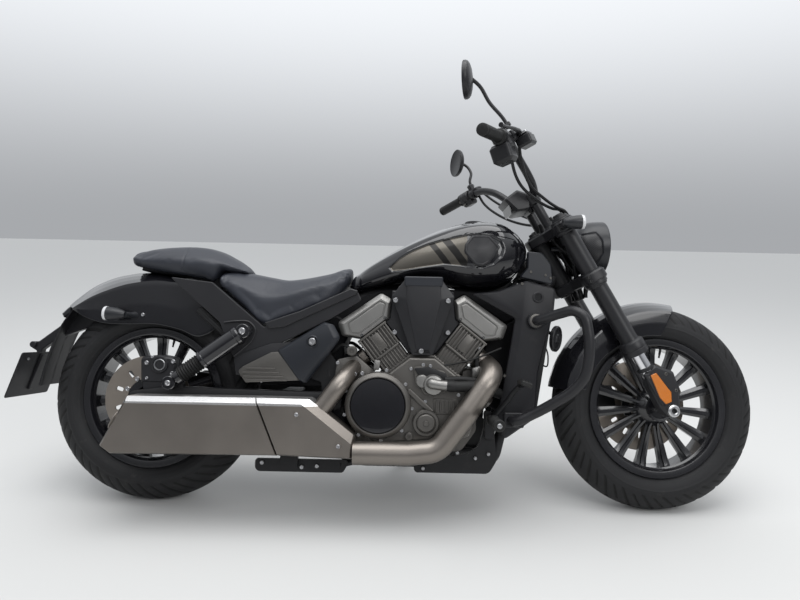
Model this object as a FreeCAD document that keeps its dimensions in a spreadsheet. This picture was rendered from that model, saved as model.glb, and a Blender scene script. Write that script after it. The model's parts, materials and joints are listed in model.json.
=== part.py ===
import FreeCAD, Part
import Sketcher
import math
import os
import re

# Cruiser motorcycle with a V engine, leaning on its side stand.
# Lengths are millimetres. The machine is first described upright in its own frame:
# X runs forward from the rear axle, Y to its left, Z up from the ground between the wheels.
# Fork pieces are described in a second frame that lies on the steering axis.
# At the end every piece gets the lean, the small steering angle and the shift to the ground.

# Driving dimensions: alias, value, what it measures
SIZES = [
    ("wheelbase", 1583, "rear axle to front axle"),
    ("lean_angle", 12, "lean to the left on the stand, degrees"),
    ("steer_rest", 3, "steering angle at rest, to the left, degrees"),
    ("rake_angle", 30, "steering axis from the vertical, degrees"),
    ("fork_offset", 56, "axle ahead of the steering axis"),
    ("front_crown", 63, "front tyre, radius of the tread across"),
    ("front_half", 61, "front tyre, half width of the tread"),
    ("rear_crown", 73, "rear tyre, radius of the tread across"),
    ("rear_half", 71, "rear tyre, half width of the tread"),
    ("bead_radius", 207, "rim bead seat radius"),
    ("front_section", 113, "front tyre, height above the bead seat"),
    ("rear_section", 116, "rear tyre, height above the bead seat"),
    ("front_radius", "=bead_radius + front_section", "front tyre, outside radius"),
    ("rear_radius", "=bead_radius + rear_section", "rear tyre, outside radius"),
    ("flange_height", 11, "rim flange above the bead seat"),
    ("front_rim_half", 48, "front rim, half width inside the flanges"),
    ("rear_rim_half", 56, "rear rim, half width inside the flanges"),
    ("rim_wall", 5, "thickness of the rim well and flanges"),
    ("tyre_seat_gap", 0.4, "tyre to rim"),
    ("spoke_count", 15, "spokes in each wheel"),
    ("spoke_hub_width", 19, "spoke web width at the hub"),
    ("spoke_rim_width", 33, "spoke web width at the rim"),
    ("spoke_web", 16, "spoke web depth along the axle"),
    ("ridge_hub_width", 8, "spoke ridge width at the hub"),
    ("ridge_rim_width", 13, "spoke ridge width at the rim"),
    ("spoke_depth", 34, "spoke depth along the axle over both ridges"),
    ("hub_radius", 58, "wheel hub radius"),
    ("front_hub_half", 62, "front hub, half length"),
    ("rear_hub_half", 76, "rear hub, half length"),
    ("axle_radius", 11, "wheel axle radius"),
    ("axle_bore", 6.5, "radius of the bore through each axle"),
    ("axle_gap", 0.4, "axle to hub bore"),
    ("disc_wall", 5, "brake disc thickness"),
    ("front_disc_radius", 150, "front brake disc radius"),
    ("rear_disc_radius", 130, "rear brake disc radius"),
    ("disc_centre_radius", 62, "inner edge of a disc carrier"),
    ("disc_side", 78, "front disc, distance from the wheel's middle"),
    ("rear_disc_side", 96, "rear disc, distance from the wheel's middle"),
    ("leg_side", 125, "fork leg, distance from the middle"),
    ("tube_radius", 27, "fork outer tube radius"),
    ("tube_low", 236, "fork outer tube, lower end along the axis"),
    ("tube_top", 668, "fork outer tube, top along the axis"),
    ("collar_radius", 38, "fork seal collar radius"),
    ("collar_low", 194, "fork seal collar, lower end along the axis"),
    ("stanchion_radius", 20.5, "fork stanchion radius"),
    ("stanchion_low", 122, "fork stanchion, lower end along the axis"),
    ("clamp_low", 446, "lower fork clamp, underside along the axis"),
    ("clamp_high", 626, "upper fork clamp, underside along the axis"),
    ("clamp_depth", 32, "fork clamp depth"),
    ("clamp_gap", 0.3, "fork clamp to tube"),
    ("stem_radius", 14, "steering stem radius"),
    ("head_radius", 33, "steering head tube, outside radius"),
    ("head_bore", 14.3, "steering head tube, bore radius"),
    ("head_gap", 0.3, "steering head tube to each clamp"),
    ("seat_gap", 0.3, "piece to the piece that carries it"),
    ("bar_radius", 12.7, "handlebar tube radius"),
    ("bar_half", 430, "handlebar, half width over the ends"),
    ("bar_rise", 943, "grip height along the axis"),
    ("bar_back", 119, "grip end behind the steering axis"),
    ("bar_middle", 775, "handlebar middle along the axis"),
    ("bar_forward", 44, "handlebar middle ahead of the steering axis"),
    ("grip_radius", 18, "grip radius"),
    ("grip_length", 125, "grip length"),
    ("mirror_radius", 52, "mirror head radius"),
    ("mirror_lead", 34, "left mirror, set forward of the right one"),
    ("crank_x", 838, "point where the cylinder axes cross, ahead of the rear axle"),
    ("crank_z", 368, "point where the cylinder axes cross, above the ground"),
    ("bank_angle", 38, "cylinder bank from the vertical, degrees"),
    ("bank_foot", 110, "cylinder foot along its axis"),
    ("bank_top", 233, "cylinder top along its axis"),
    ("bank_half", 140, "cylinder bank, half width"),
    ("bank_inner", 34, "cylinder side towards the V, from its axis"),
    ("bank_outer", 62, "cylinder side away from the V, from its axis"),
    ("fin_depth", 8, "cylinder rib height"),
    ("fin_wall", 5, "cylinder rib thickness"),
    ("fin_count", 6, "ribs on each cylinder side"),
    ("head_half", 148, "head cover, half width"),
    ("case_half", 116, "crankcase, half width"),
    ("cover_depth", 54, "side cover, from the crankcase outwards"),
    ("clutch_x", 710, "clutch cover centre, ahead of the rear axle"),
    ("clutch_z", 327, "clutch cover centre, above the ground"),
    ("clutch_radius", 97, "clutch cover ring radius"),
    ("clutch_glass", 80, "clutch window radius"),
    ("clutch_depth", 38, "clutch ring, out from the side cover"),
    ("pipe_radius", 33, "front exhaust pipe radius"),
    ("rear_pipe_radius", 27, "rear exhaust pipe radius"),
    ("cross_pipe_radius", 19, "crossing exhaust pipe radius"),
    ("pipe_gap", 9, "side cover to the front exhaust pipe"),
    ("pipe_side", "=case_half + cover_depth + pipe_gap + pipe_radius", "exhaust pipe, distance from the middle"),
    ("silencer_width", 85, "silencer, across the machine"),
    ("silencer_far", "=pipe_side + 31", "silencer, outer face from the middle"),
    ("silencer_near", "=silencer_far - silencer_width", "silencer, inner face from the middle"),
    ("silencer_bevel", 20, "silencer, bevel along the outer edges"),
    ("arm_near", 118, "swingarm side, inner face from the middle"),
    ("arm_far", 148, "swingarm side, outer face from the middle"),
    ("pivot_x", 568, "swingarm pivot, ahead of the rear axle"),
    ("pivot_z", 330, "swingarm pivot, above the ground"),
    ("shock_side", 168, "shock absorber, distance from the middle"),
    ("shock_radius", 29, "shock absorber body radius"),
    ("panel_near", 121, "seat panel, inner face from the middle"),
    ("panel_far", 139, "seat panel, outer face from the middle"),
    ("fender_half", 98, "rear fender, half width"),
    ("fender_wall", 4, "fender sheet thickness"),
    ("fender_radius", 412, "rear fender, outside radius"),
    ("front_fender_half", 82, "front fender, half width"),
    ("front_fender_radius", 338, "front fender, outside radius"),
    ("front_fender_inner", 230, "front fender, lower edge radius"),
    ("pulley_radius", 96, "rear pulley radius"),
    ("small_pulley", 42, "front pulley radius"),
    ("small_pulley_x", 664, "front pulley, ahead of the rear axle"),
    ("belt_near", 86, "belt, inner edge from the middle"),
    ("belt_width", 24, "belt width"),
    ("belt_wall", 5, "belt thickness"),
    ("guard_radius", 15, "engine guard tube radius"),
    ("rail_radius", 16, "frame tube radius"),
    ("spine_radius", 27, "frame backbone radius"),
    ("tunnel_half", 32, "slot under the tank, half width"),
    ("stand_x", 742, "side stand pivot, ahead of the rear axle"),
    ("stand_y", 150, "side stand pivot, from the middle"),
    ("stand_z", 128, "side stand pivot, above the ground"),
    ("foot_x", 800, "side stand foot, ahead of the rear axle"),
    ("foot_y", 312, "side stand foot, from the middle"),
    ("stand_radius", 11, "side stand leg radius"),
    ("peg_radius", 14, "foot peg radius"),
    ("nose_back", 437, "radiator's rear face, behind the front axle"),
    ("lamp_radius", 88, "headlamp housing radius"),
    ("lamp_depth", 104, "headlamp housing, front to back"),
    ("panel_depth", 6.5, "sunk panel in the tank's side"),
    ("filter_radius", 39, "oil filter cover radius"),
    ("rib_count", 5, "ribs on the right side cover"),
    ("gusset_half", 5, "frame gusset, half thickness"),
    ("box_half", 110.7, "battery box, half width"),
]

doc = FreeCAD.newDocument("cruiser_motorcycle")
sheet = doc.addObject("Spreadsheet::Sheet", "Sizes")
for row, (alias, value, note) in enumerate(SIZES, start=1):
    sheet.set("A%d" % row, note)
    sheet.set("B%d" % row, str(value))
    sheet.setAlias("B%d" % row, alias)
doc.recompute()

ALIASES = {alias for alias, value, note in SIZES}
V = FreeCAD.Vector
ACROSS = FreeCAD.Rotation(V(1, 0, 0), 90)
UPRIGHT = FreeCAD.Rotation()


def mm(alias):
    """The number in the sheet's cell."""
    return float(sheet.get(alias))


def formula(text):
    """The same formula with each alias led by the sheet's name."""
    return re.sub(r"[a-z][a-z0-9_]*", lambda word: "Sizes." + word.group() if word.group() in ALIASES
                  else word.group(), text)


# Makers: each returns a document object whose sizes follow the sheet


def primitive(kind, name, place, turn=UPRIGHT, **sizes):
    """A Part primitive; its place and sizes are formulas on the sheet."""
    thing = doc.addObject("Part::" + kind, name)
    thing.Placement = FreeCAD.Placement(V(0, 0, 0), turn)
    for axis, text in zip("xyz", place):
        thing.setExpression("Placement.Base." + axis, formula(text))
    for prop, text in sizes.items():
        thing.setExpression(prop, formula(text))
    return thing


def fused(name, parts):
    thing = doc.addObject("Part::MultiFuse", name)
    thing.Shapes = parts
    return thing


def cut(name, base, tool):
    thing = doc.addObject("Part::Cut", name)
    thing.Base = base
    thing.Tool = tool
    return thing


def common(name, parts):
    thing = doc.addObject("Part::MultiCommon", name)
    thing.Shapes = parts
    return thing


def mirrored(name, source):
    """The left-hand copy of a right-hand piece."""
    thing = doc.addObject("Part::Mirroring", name)
    thing.Source = source
    thing.Base = V(0, 0, 0)
    thing.Normal = V(0, 1, 0)
    return thing


def together(name, parts):
    thing = doc.addObject("Part::Compound", name)
    thing.Links = parts
    return thing


def pair(name, source):
    return together(name, [source, mirrored(name + "_left", source)])


def feature(name, shape):
    thing = doc.addObject("Part::Feature", name)
    thing.Shape = shape
    return thing


def rounded(points):
    """Lines and arcs of a closed outline; each row is across, up, corner radius."""
    flat = [V(row[0], row[1], 0) for row in points]
    runs = []
    count = len(flat)
    for i, corner in enumerate(flat):
        radius = points[i][2] if len(points[i]) > 2 else 0
        back = (flat[i - 1] - corner).normalize()
        ahead = (flat[(i + 1) % count] - corner).normalize()
        half = back.getAngle(ahead) / 2
        if radius == 0 or abs(half - math.pi / 2) < 1e-6:
            runs.append((corner, None, corner))
            continue
        reach = radius / math.tan(half)
        middle = (back + ahead).normalize() * (radius / math.sin(half) - radius)
        runs.append((corner + back * reach, corner + middle, corner + ahead * reach))
    edges = []
    for i, (start, middle, end) in enumerate(runs):
        if middle is not None:
            edges.append(Part.Arc(start, middle, end))
        follower = runs[(i + 1) % count][0]
        if end.distanceToPoint(follower) > 1e-6:
            edges.append(Part.LineSegment(end, follower))
    return edges


def new_body(name):
    return doc.addObject("PartDesign::Body", name)


def sketch(body, name, role, outlines, offset="0"):
    """Closed outlines on one of the body's own planes, at a distance along its normal."""
    thing = body.newObject("Sketcher::SketchObject", name)
    plane = [p for p in body.Origin.OriginFeatures if p.Role == role][0]
    thing.AttachmentSupport = [(plane, "")]
    thing.MapMode = "FlatFace"
    thing.setExpression("AttachmentOffset.Base.z", formula(offset))
    for outline in outlines:
        thing.addGeometry(outline, False)
    return thing


def circle_sketch(body, name, role, circles, offset="0"):
    """Circles whose radii are formulas: rows are across, up, radius."""
    thing = sketch(body, name, role, [], offset)
    for i, (across, up, radius) in enumerate(circles):
        thing.addGeometry(Part.Circle(V(across, up, 0), V(0, 0, 1), 10.0 + 5 * i), False)
        thing.addConstraint(Sketcher.Constraint("Radius", i, 10.0 + 5 * i))
        thing.setExpression("Constraints[%d]" % i, formula(radius))
    return thing


def pad(body, profile, length, midplane=False, name=None):
    thing = body.newObject("PartDesign::Pad", name or profile.Name + "_pad")
    thing.Profile = profile
    thing.setExpression("Length", formula(length))
    thing.Midplane = midplane
    return thing


def pocket(body, profile, length, midplane=True):
    thing = body.newObject("PartDesign::Pocket", profile.Name + "_cut")
    thing.Profile = profile
    thing.setExpression("Length", formula(length))
    thing.Midplane = midplane
    return thing


def plate(name, points, near, far):
    """A right-hand plate: its outline in X and Z, from near to far out to the right."""
    body = new_body(name)
    profile = sketch(body, name + "_outline", "XZ_Plane", [rounded(points)], near)
    pad(body, profile, "(%s) - (%s)" % (far, near))
    return body


def block(name, points, half):
    """A piece with the same outline right through, as far to the left as to the right."""
    body = new_body(name)
    profile = sketch(body, name + "_outline", "XZ_Plane", [rounded(points)])
    pad(body, profile, "2 * (%s)" % half, midplane=True)
    return body


def turned(name, points, angle="360"):
    """A piece turned about the Y axis; points are along the axis and out from it."""
    body = new_body(name)
    profile = sketch(body, name + "_section", "YZ_Plane", [rounded(points)])
    ring = body.newObject("PartDesign::Revolution", name + "_ring")
    ring.Profile = profile
    ring.ReferenceAxis = (profile, ["H_Axis"])
    ring.setExpression("Angle", formula(angle))
    return body


def tube_shape(points, radius, bend):
    """A round bar along straight runs joined by arcs; bend is the arcs' radius."""
    stations = [V(*p) for p in points]
    edges = []
    start = stations[0]
    for before, corner, after in zip(stations, stations[1:], stations[2:]):
        back = (before - corner).normalize()
        ahead = (after - corner).normalize()
        half = back.getAngle(ahead) / 2
        arc = min(bend, 0.45 * min(before.distanceToPoint(corner), after.distanceToPoint(corner))
                  * math.tan(half))
        reach = arc / math.tan(half)
        middle = corner + (back + ahead).normalize() * (arc / math.sin(half) - arc)
        edges.append(Part.LineSegment(start, corner + back * reach).toShape())
        edges.append(Part.Arc(corner + back * reach, middle, corner + ahead * reach).toShape())
        start = corner + ahead * reach
    edges.append(Part.LineSegment(start, stations[-1]).toShape())
    path = Part.Wire(edges)
    ring = Part.Wire(Part.Circle(stations[0], stations[1] - stations[0], radius).toShape())
    return path.makePipeShell([ring], True, True)


def tube(name, points, radius, bend=60):
    return feature(name, tube_shape(points, mm(radius), bend))


def rod_shape(start, end, radius):
    """A straight round bar between two points."""
    start, end = V(*start), V(*end)
    return Part.makeCylinder(radius, start.distanceToPoint(end), start, end - start)


def loft(name, wires, ruled=False):
    """A solid through closed sections."""
    thing = doc.addObject("Part::Loft", name)
    thing.Sections = [feature("%s_section_%d" % (name, i), wire) for i, wire in enumerate(wires)]
    thing.Solid = True
    thing.Ruled = ruled
    return thing


def shell_section(x, low, wide, top, half_low, half_wide, half_top):
    """One section across a tank or seat: flat foot, two bulging sides and a crowned top."""
    def bulge(y0, z0, y1, z1, out):
        """The middle of a side's arc, pushed out from its chord."""
        length = math.hypot(y1 - y0, z1 - z0)
        return V(x, (y0 + y1) / 2 + out * abs(z1 - z0) / length, (z0 + z1) / 2)
    crown = top + 0.12 * half_top
    lower = 0.12 * math.hypot(half_wide - half_low, wide - low)
    upper = 0.22 * math.hypot(half_wide - half_top, top - wide)
    right_low, left_low = V(x, -half_low, low), V(x, half_low, low)
    right_mid, left_mid = V(x, -half_wide, wide), V(x, half_wide, wide)
    right_top, left_top = V(x, -half_top, top), V(x, half_top, top)
    arcs = [
        Part.LineSegment(left_low, right_low),
        Part.Arc(right_low, bulge(-half_low, low, -half_wide, wide, -lower), right_mid),
        Part.Arc(right_mid, bulge(-half_wide, wide, -half_top, top, -upper), right_top),
        Part.Arc(right_top, V(x, 0, crown), left_top),
        Part.Arc(left_top, bulge(half_top, top, half_wide, wide, upper), left_mid),
        Part.Arc(left_mid, bulge(half_wide, wide, half_low, low, lower), left_low),
    ]
    return Part.Wire([arc.toShape() for arc in arcs])


# Places worked out from the driving dimensions

RAKE = math.radians(mm("rake_angle"))
BANK = math.radians(mm("bank_angle"))
UP_AXIS = V(-math.sin(RAKE), 0, math.cos(RAKE))
FORE_AXIS = V(math.cos(RAKE), 0, math.sin(RAKE))
REAR_AXLE = V(0, 0, mm("rear_radius"))
FRONT_AXLE = V(mm("wheelbase"), 0, mm("front_radius"))
STEER_FOOT = FRONT_AXLE - FORE_AXIS * mm("fork_offset")
nose = mm("wheelbase") - mm("nose_back")


def on_fork(fore, side, up):
    """A place given in the fork's frame, as a tuple in the machine's frame."""
    place = STEER_FOOT + FORE_AXIS * fore + V(0, side, 0) + UP_AXIS * up
    return (place.x, place.y, place.z)


def on_bank(sign, along, inward):
    """X and Z of a place on a cylinder bank; sign is 1 for the front bank and -1 for the rear."""
    x = mm("crank_x") + sign * (along * math.sin(BANK) - inward * math.cos(BANK))
    z = mm("crank_z") + along * math.cos(BANK) + inward * math.sin(BANK)
    return (x, z)


# Wheels, each about its own axle


def tyre(name, which):
    outer, crown, half = mm(which + "_radius"), mm(which + "_crown"), mm(which + "_half")
    seat = mm("bead_radius") + mm("tyre_seat_gap")
    inside = mm(which + "_rim_half") - mm("tyre_seat_gap")
    lip = mm("bead_radius") + mm("flange_height") + mm("tyre_seat_gap")
    shoulder = outer - crown + math.sqrt(crown ** 2 - half ** 2)
    waist = (shoulder + lip) / 2
    body = new_body(name)
    arcs = [
        Part.LineSegment(V(-inside, seat, 0), V(inside, seat, 0)),
        Part.LineSegment(V(inside, seat, 0), V(inside, lip, 0)),
        Part.Arc(V(inside, lip, 0), V(half + 3, waist + 8, 0), V(half, shoulder, 0)),
        Part.Arc(V(half, shoulder, 0), V(0, outer, 0), V(-half, shoulder, 0)),
        Part.Arc(V(-half, shoulder, 0), V(-half - 3, waist + 8, 0), V(-inside, lip, 0)),
        Part.LineSegment(V(-inside, lip, 0), V(-inside, seat, 0)),
    ]
    profile = sketch(body, name + "_section", "YZ_Plane", [arcs])
    ring = body.newObject("PartDesign::Revolution", name + "_ring")
    ring.Profile = profile
    ring.ReferenceAxis = (profile, ["H_Axis"])
    ring.Angle = 360
    return body


def rim(name, which):
    """Cast wheel: rim, blade spokes and hub."""
    seat, wall, half = mm("bead_radius"), mm("rim_wall"), mm(which + "_rim_half")
    lip = seat + mm("flange_height")
    well = seat - 14
    body = turned(name, [
        (-half - wall, lip), (-half, lip), (-half, seat), (half, seat), (half, lip), (half + wall, lip),
        (half + wall, well, 3), (half - 14, well - wall), (14 - half, well - wall), (-half - wall, well, 3)])
    outside = well - 1
    inside = mm("hub_radius") - 4
    blades = []
    for part, depth in (("spoke", "spoke_web"), ("ridge", "spoke_depth")):
        root, tip = mm(part + "_hub_width") / 2, mm(part + "_rim_width") / 2
        blade = sketch(body, name + "_" + part, "XZ_Plane", [rounded([
            (-root, inside), (root, inside), (tip, outside), (-tip, outside)])])
        blades.append(pad(body, blade, depth, midplane=True))
    ring = body.newObject("PartDesign::PolarPattern", name + "_spokes")
    ring.Originals = blades
    ring.Axis = (blade, ["N_Axis"])
    ring.Angle = 360
    ring.setExpression("Occurrences", formula("spoke_count"))
    body.Tip = ring
    bore = mm("axle_radius") + mm("axle_gap")
    width = mm(which + "_hub_half")
    hub = sketch(body, name + "_hub", "YZ_Plane", [rounded([
        (-width, bore), (width, bore), (width, 34), (width - 22, 40, 6), (30, mm("hub_radius"), 6),
        (-30, mm("hub_radius"), 6), (22 - width, 40, 6), (-width, 34)])])
    centre = body.newObject("PartDesign::Revolution", name + "_centre")
    centre.Profile = hub
    centre.ReferenceAxis = (hub, ["H_Axis"])
    centre.Angle = 360
    return body


def disc(name, radius, side, sign, slots):
    """Brake disc with a ring of slots, on one side of the wheel."""
    body = new_body(name)
    level = "%s - disc_wall / 2" % side if sign < 0 else "-(%s) - disc_wall / 2" % side
    face = circle_sketch(body, name + "_face", "XZ_Plane", [(0, 0, radius), (0, 0, "disc_centre_radius")],
                         level)
    pad(body, face, "disc_wall")
    middle = (mm(radius) + mm("disc_centre_radius")) / 2
    slot = sketch(body, name + "_slot", "XZ_Plane", [rounded([
        (-6, middle - 16, 5), (6, middle - 16, 5), (6, middle + 6, 5), (-6, middle + 6, 5)])], level)
    hole = pocket(body, slot, "2 * disc_wall")
    ring = body.newObject("PartDesign::PolarPattern", name + "_slots")
    ring.Originals = [hole]
    ring.Axis = (slot, ["N_Axis"])
    ring.Angle = 360
    ring.Occurrences = slots
    body.Tip = ring
    return body


front_tyre = tyre("front_tyre", "front")
front_wheel = rim("front_wheel", "front")
front_disc = disc("front_disc", "front_disc_radius", "disc_side", 1, 12)
rear_tyre = tyre("rear_tyre", "rear")
rear_disc = disc("rear_disc", "rear_disc_radius", "rear_disc_side", -1, 10)
rear_wheel = rim("rear_wheel", "rear")
pulley_end = mm("belt_near") + mm("belt_width")
pulley = turned("rear_pulley", [
    (mm("rear_hub_half") - 2, 30), (pulley_end - 4, 30), (pulley_end - 4, 60), (pulley_end, 62),
    (pulley_end, mm("pulley_radius")), (mm("belt_near"), mm("pulley_radius")), (mm("belt_near"), 60),
    (mm("rear_hub_half") - 2, 44)])
rear_carrier = turned("rear_carrier", [
    (-mm("rear_disc_side") - mm("disc_wall") / 2, 40), (2 - mm("rear_hub_half"), 32),
    (2 - mm("rear_hub_half"), 52), (-mm("rear_disc_side") - mm("disc_wall") / 2, 61.6)])
rear_rim = fused("rear_rim", [rear_wheel, pulley, rear_carrier])
front_carrier = turned("front_carrier", [
    (mm("front_hub_half") - 2, 30), (mm("disc_side") - 2.5, 40), (mm("disc_side") + 2.5, 40),
    (mm("disc_side") + 2.5, mm("disc_centre_radius") - mm("seat_gap")),
    (mm("disc_side") - 2.5, mm("disc_centre_radius") - mm("seat_gap")), (mm("front_hub_half") - 2, 44)])
front_rim = fused("front_rim", [front_wheel, front_carrier])


def axle(name, half_length, head):
    """Hollow axle with a head at each end."""
    bar = primitive("Cylinder", name + "_bar", ("0", half_length, "0"), ACROSS,
                    Radius="axle_radius", Height="2 * (%s)" % half_length)
    right = primitive("Cylinder", name + "_nut", ("0", "8 - (%s)" % half_length, "0"), ACROSS,
                      Radius=head, Height="8")
    left = primitive("Cylinder", name + "_head", ("0", half_length, "0"), ACROSS,
                     Radius=head, Height="8")
    bore = primitive("Cylinder", name + "_bore", ("0", "(%s) + 5" % half_length, "0"), ACROSS,
                     Radius="axle_bore", Height="2 * (%s) + 10" % half_length)
    return cut(name, fused(name + "_whole", [bar, right, left]), bore)


front_axle = axle("front_axle", "leg_side + 28 + seat_gap", "17")
rear_axle = axle("rear_axle", "arm_far + 8.3", "17")

# Fork, in the frame of the steering axis: X ahead of the axis, Z along it

fork_tube = primitive("Cylinder", "fork_tube_right", ("fork_offset", "-leg_side", "tube_low"),
                      Radius="tube_radius", Height="tube_top - tube_low")
fork_collar = primitive("Cylinder", "fork_collar", ("fork_offset", "-leg_side", "collar_low"),
                        Radius="collar_radius", Height="tube_low - collar_low")
fork_tubes = pair("fork_tubes", fused("fork_tube_and_collar", [fork_tube, fork_collar]))

stanchion = primitive("Cylinder", "stanchion_right", ("fork_offset", "-leg_side", "stanchion_low"),
                      Radius="stanchion_radius", Height="collar_low - stanchion_low")
fork_stanchions = pair("fork_stanchions", stanchion)

leg_near = "leg_side - 20"
leg_far = "leg_side + 20"
offset = mm("fork_offset")
lug = plate("leg_lug", [
    (offset - 22, mm("stanchion_low"), 6), (offset + 26, mm("stanchion_low"), 6), (offset + 46, 100, 10),
    (offset + 40, 40, 10), (offset + 24, -20, 20), (offset - 22, -20, 18), (offset - 30, 30, 12)],
    leg_near, leg_far)
lug_bore = primitive("Cylinder", "leg_bore", ("fork_offset", "-leg_side + 30", "0"), ACROSS,
                     Radius="axle_radius + axle_gap", Height="60")
fork_lowers = pair("fork_lowers", cut("leg_lug_bored", lug, lug_bore))


def clamp(name, level, rear):
    """One fork clamp: a plate bored for both tubes, carried on the stem."""
    side = mm("leg_side")
    body = new_body(name)
    points = [(rear, -24, 14), (8, -60, 20), (offset - 34, -side + 22, 20), (offset - 36, -side - 38, 30),
              (offset + 40, -side - 38, 34), (offset + 36, -side + 40, 20), (offset + 10, 0),
              (offset + 36, side - 40, 20), (offset + 40, side + 38, 34), (offset - 36, side + 38, 30),
              (offset - 34, side - 22, 20), (8, 60, 20), (rear, 24, 14)]
    profile = sketch(body, name + "_outline", "XY_Plane", [rounded(points)], level)
    pad(body, profile, "clamp_depth")
    holes = circle_sketch(body, name + "_bores", "XY_Plane", [
        (offset, -side, "tube_radius + clamp_gap"), (offset, side, "tube_radius + clamp_gap")], level)
    bores = pocket(body, holes, "3 * clamp_depth")
    body.Tip = bores
    return body


lower_clamp = clamp("lower_clamp", "clamp_low", -34)
upper_clamp = clamp("upper_clamp", "clamp_high", -34)
stem = primitive("Cylinder", "steering_stem", ("0", "0", "clamp_low + 4"),
                 Radius="stem_radius", Height="clamp_high - clamp_low + clamp_depth")
risers = [primitive("Cylinder", "bar_riser_%d" % i, ("bar_forward", side, "clamp_high + clamp_depth - 1"),
                    Radius="15", Height="bar_middle - clamp_high - clamp_depth + 1 - bar_radius - seat_gap")
          for i, side in enumerate(("-46", "46"))]
lamp_bracket = primitive("Box", "lamp_bracket", ("fork_offset", "-36", "clamp_low + 10"),
                         Length="8", Width="72", Height="clamp_high - clamp_low + 10")
triple_clamps = fused("triple_clamps", [lower_clamp, upper_clamp, stem, lamp_bracket] + risers)

middle, rise = mm("bar_middle"), mm("bar_rise")
fore, back, half = mm("bar_forward"), -mm("bar_back"), mm("bar_half")
knee_side = half - 140
grip_start = V(back, -half, rise) + (V(-23, -knee_side, rise - 6) - V(back, -half,
    rise)).normalize() * mm("grip_length")
bar_points = [(fore, 0, middle), (fore, -72, middle), (fore - 30, 90 - knee_side, middle + 130),
              (-23, -knee_side, rise - 6), (back, -half, rise)]


def bar_half_shape(sign):
    """Half of the handlebar with its grip, to the right for -1 and to the left for 1."""
    points = [(x, -sign * y, z) for x, y, z in bar_points]
    grip = rod_shape((grip_start.x, -sign * grip_start.y, grip_start.z),
                     (back, sign * half, rise), mm("grip_radius"))
    return tube_shape(points, mm("bar_radius"), 70).fuse(grip)


handlebar = fused("handlebar", [feature("bar_right", bar_half_shape(-1)), feature("bar_left", bar_half_shape(1))])


def between(start, end, share):
    return tuple(a + (b - a) * share for a, b in zip(start, end))


box_top = between((0, 0, grip_start.z), (0, 0, rise - 6), 0.6)[2] + 26


def controls_shape(sign):
    """Switch housing, reservoir and lever on one side of the bar."""
    grip = (grip_start.x, -sign * grip_start.y, grip_start.z)
    knee = (-23, sign * knee_side, rise - 6)
    start, end = between(grip, knee, 0.04), between(grip, knee, 0.98)
    housing = rod_shape(start, end, 22)
    inner = between(grip, knee, 0.6)
    box = Part.makeBox(44, 56, 30, V(inner[0] + 8, inner[1] - 28, inner[2] - 4))
    lever = tube_shape([(inner[0] + 30, inner[1], inner[2] + 4), (inner[0] + 46, inner[1] + sign * 34, inner[2]),
                        (back + 64, sign * (half - 14), rise - 12)], 6, 20)
    clear = tube_shape([(x, -sign * y, z) for x, y, z in bar_points], mm("bar_radius") + 0.3, 70)
    return housing.fuse([box, lever]).cut(clear)


bar_controls = together("bar_controls", [feature("controls_right", controls_shape(-1)),
                                         feature("controls_left", controls_shape(1))])


def mirror_shape(sign, lead):
    """Round mirror head on a bent stalk, its head set forward by a lead."""
    root = sign * (knee_side + 14)
    base = (-10, root, box_top + mm("seat_gap"))
    head = (lead - 30, root + sign * 31, rise + 196)
    stalk = tube_shape([base, (-10, root, box_top + 26), (lead - 28, root + sign * 10, rise + 72), head], 5, 30)
    facing = V(-1, sign * -0.18, -0.42).normalize()
    centre = V(*head) + V(-14, 0, -20)
    glass = Part.makeCylinder(mm("mirror_radius"), 16, centre, facing)
    return stalk.fuse(glass)


mirrors = together("mirrors", [feature("mirror_right", mirror_shape(-1, 0)),
                               feature("mirror_left", mirror_shape(1, mm("mirror_lead")))])

instrument_case = block("instrument_case", [(fore - 66, middle - 6, 10), (fore - 40, middle + 42, 8),
                                            (fore - 16, middle + 26, 6), (fore - 16, middle - 34, 8)], "56")
instrument_foot = primitive("Box", "instrument_foot", ("bar_forward - 20", "-20", "bar_middle - 7"),
                            Length="20 - bar_radius - seat_gap", Width="40", Height="14")
instrument = fused("instrument", [instrument_case, instrument_foot])

# Front fender about the front axle, with its stays to the legs


def arch(name, radius, half, inner, slope_depth, slope_in, start, sweep):
    """Sheet arch over a wheel: crown, sloped shoulders and flat sides, turned about the axle.
    It starts at an angle from straight ahead and sweeps up and over to the rear."""
    wall = mm("fender_wall")
    section = [
        (-half, inner), (-half, radius - slope_depth, 8), (-half + slope_in, radius - 3, 12),
        (half - slope_in, radius - 3, 12), (half, radius - slope_depth, 8), (half, inner),
        (half - wall, inner), (half - wall, radius - slope_depth - 2, 6),
        (half - slope_in - 2, radius - 3 - wall, 10), (-half + slope_in + 2, radius - 3 - wall, 10),
        (wall - half, radius - slope_depth - 2, 6), (wall - half, inner)]
    outward = V(math.cos(math.radians(start)), 0, math.sin(math.radians(start)))
    side = V(0, 1, 0)
    turn = FreeCAD.Rotation(side, outward, side.cross(outward), "XYZ")
    wire = Part.Wire([edge.toShape() for edge in rounded(section)])
    wire.Placement = FreeCAD.Placement(V(0, 0, 0), turn)
    return feature(name, Part.Face(wire).revolve(V(0, 0, 0), V(0, -1, 0), sweep))


front_arch = arch("front_arch", mm("front_fender_radius"), mm("front_fender_half"), mm("front_fender_inner"),
                  34, 40, 78, 92)
boss_place = UP_AXIS * 256
boss = feature("front_fender_boss", Part.makeCylinder(
    16, mm("leg_side") - mm("tube_radius") - mm("seat_gap") - mm("front_fender_half") + 3,
    V(boss_place.x, 3 - mm("front_fender_half"), boss_place.z), V(0, -1, 0)))
front_fender = fused("front_fender", [front_arch, boss, mirrored("front_fender_boss_left", boss)])

# Headlamp and front signals, in the machine's frame

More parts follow.
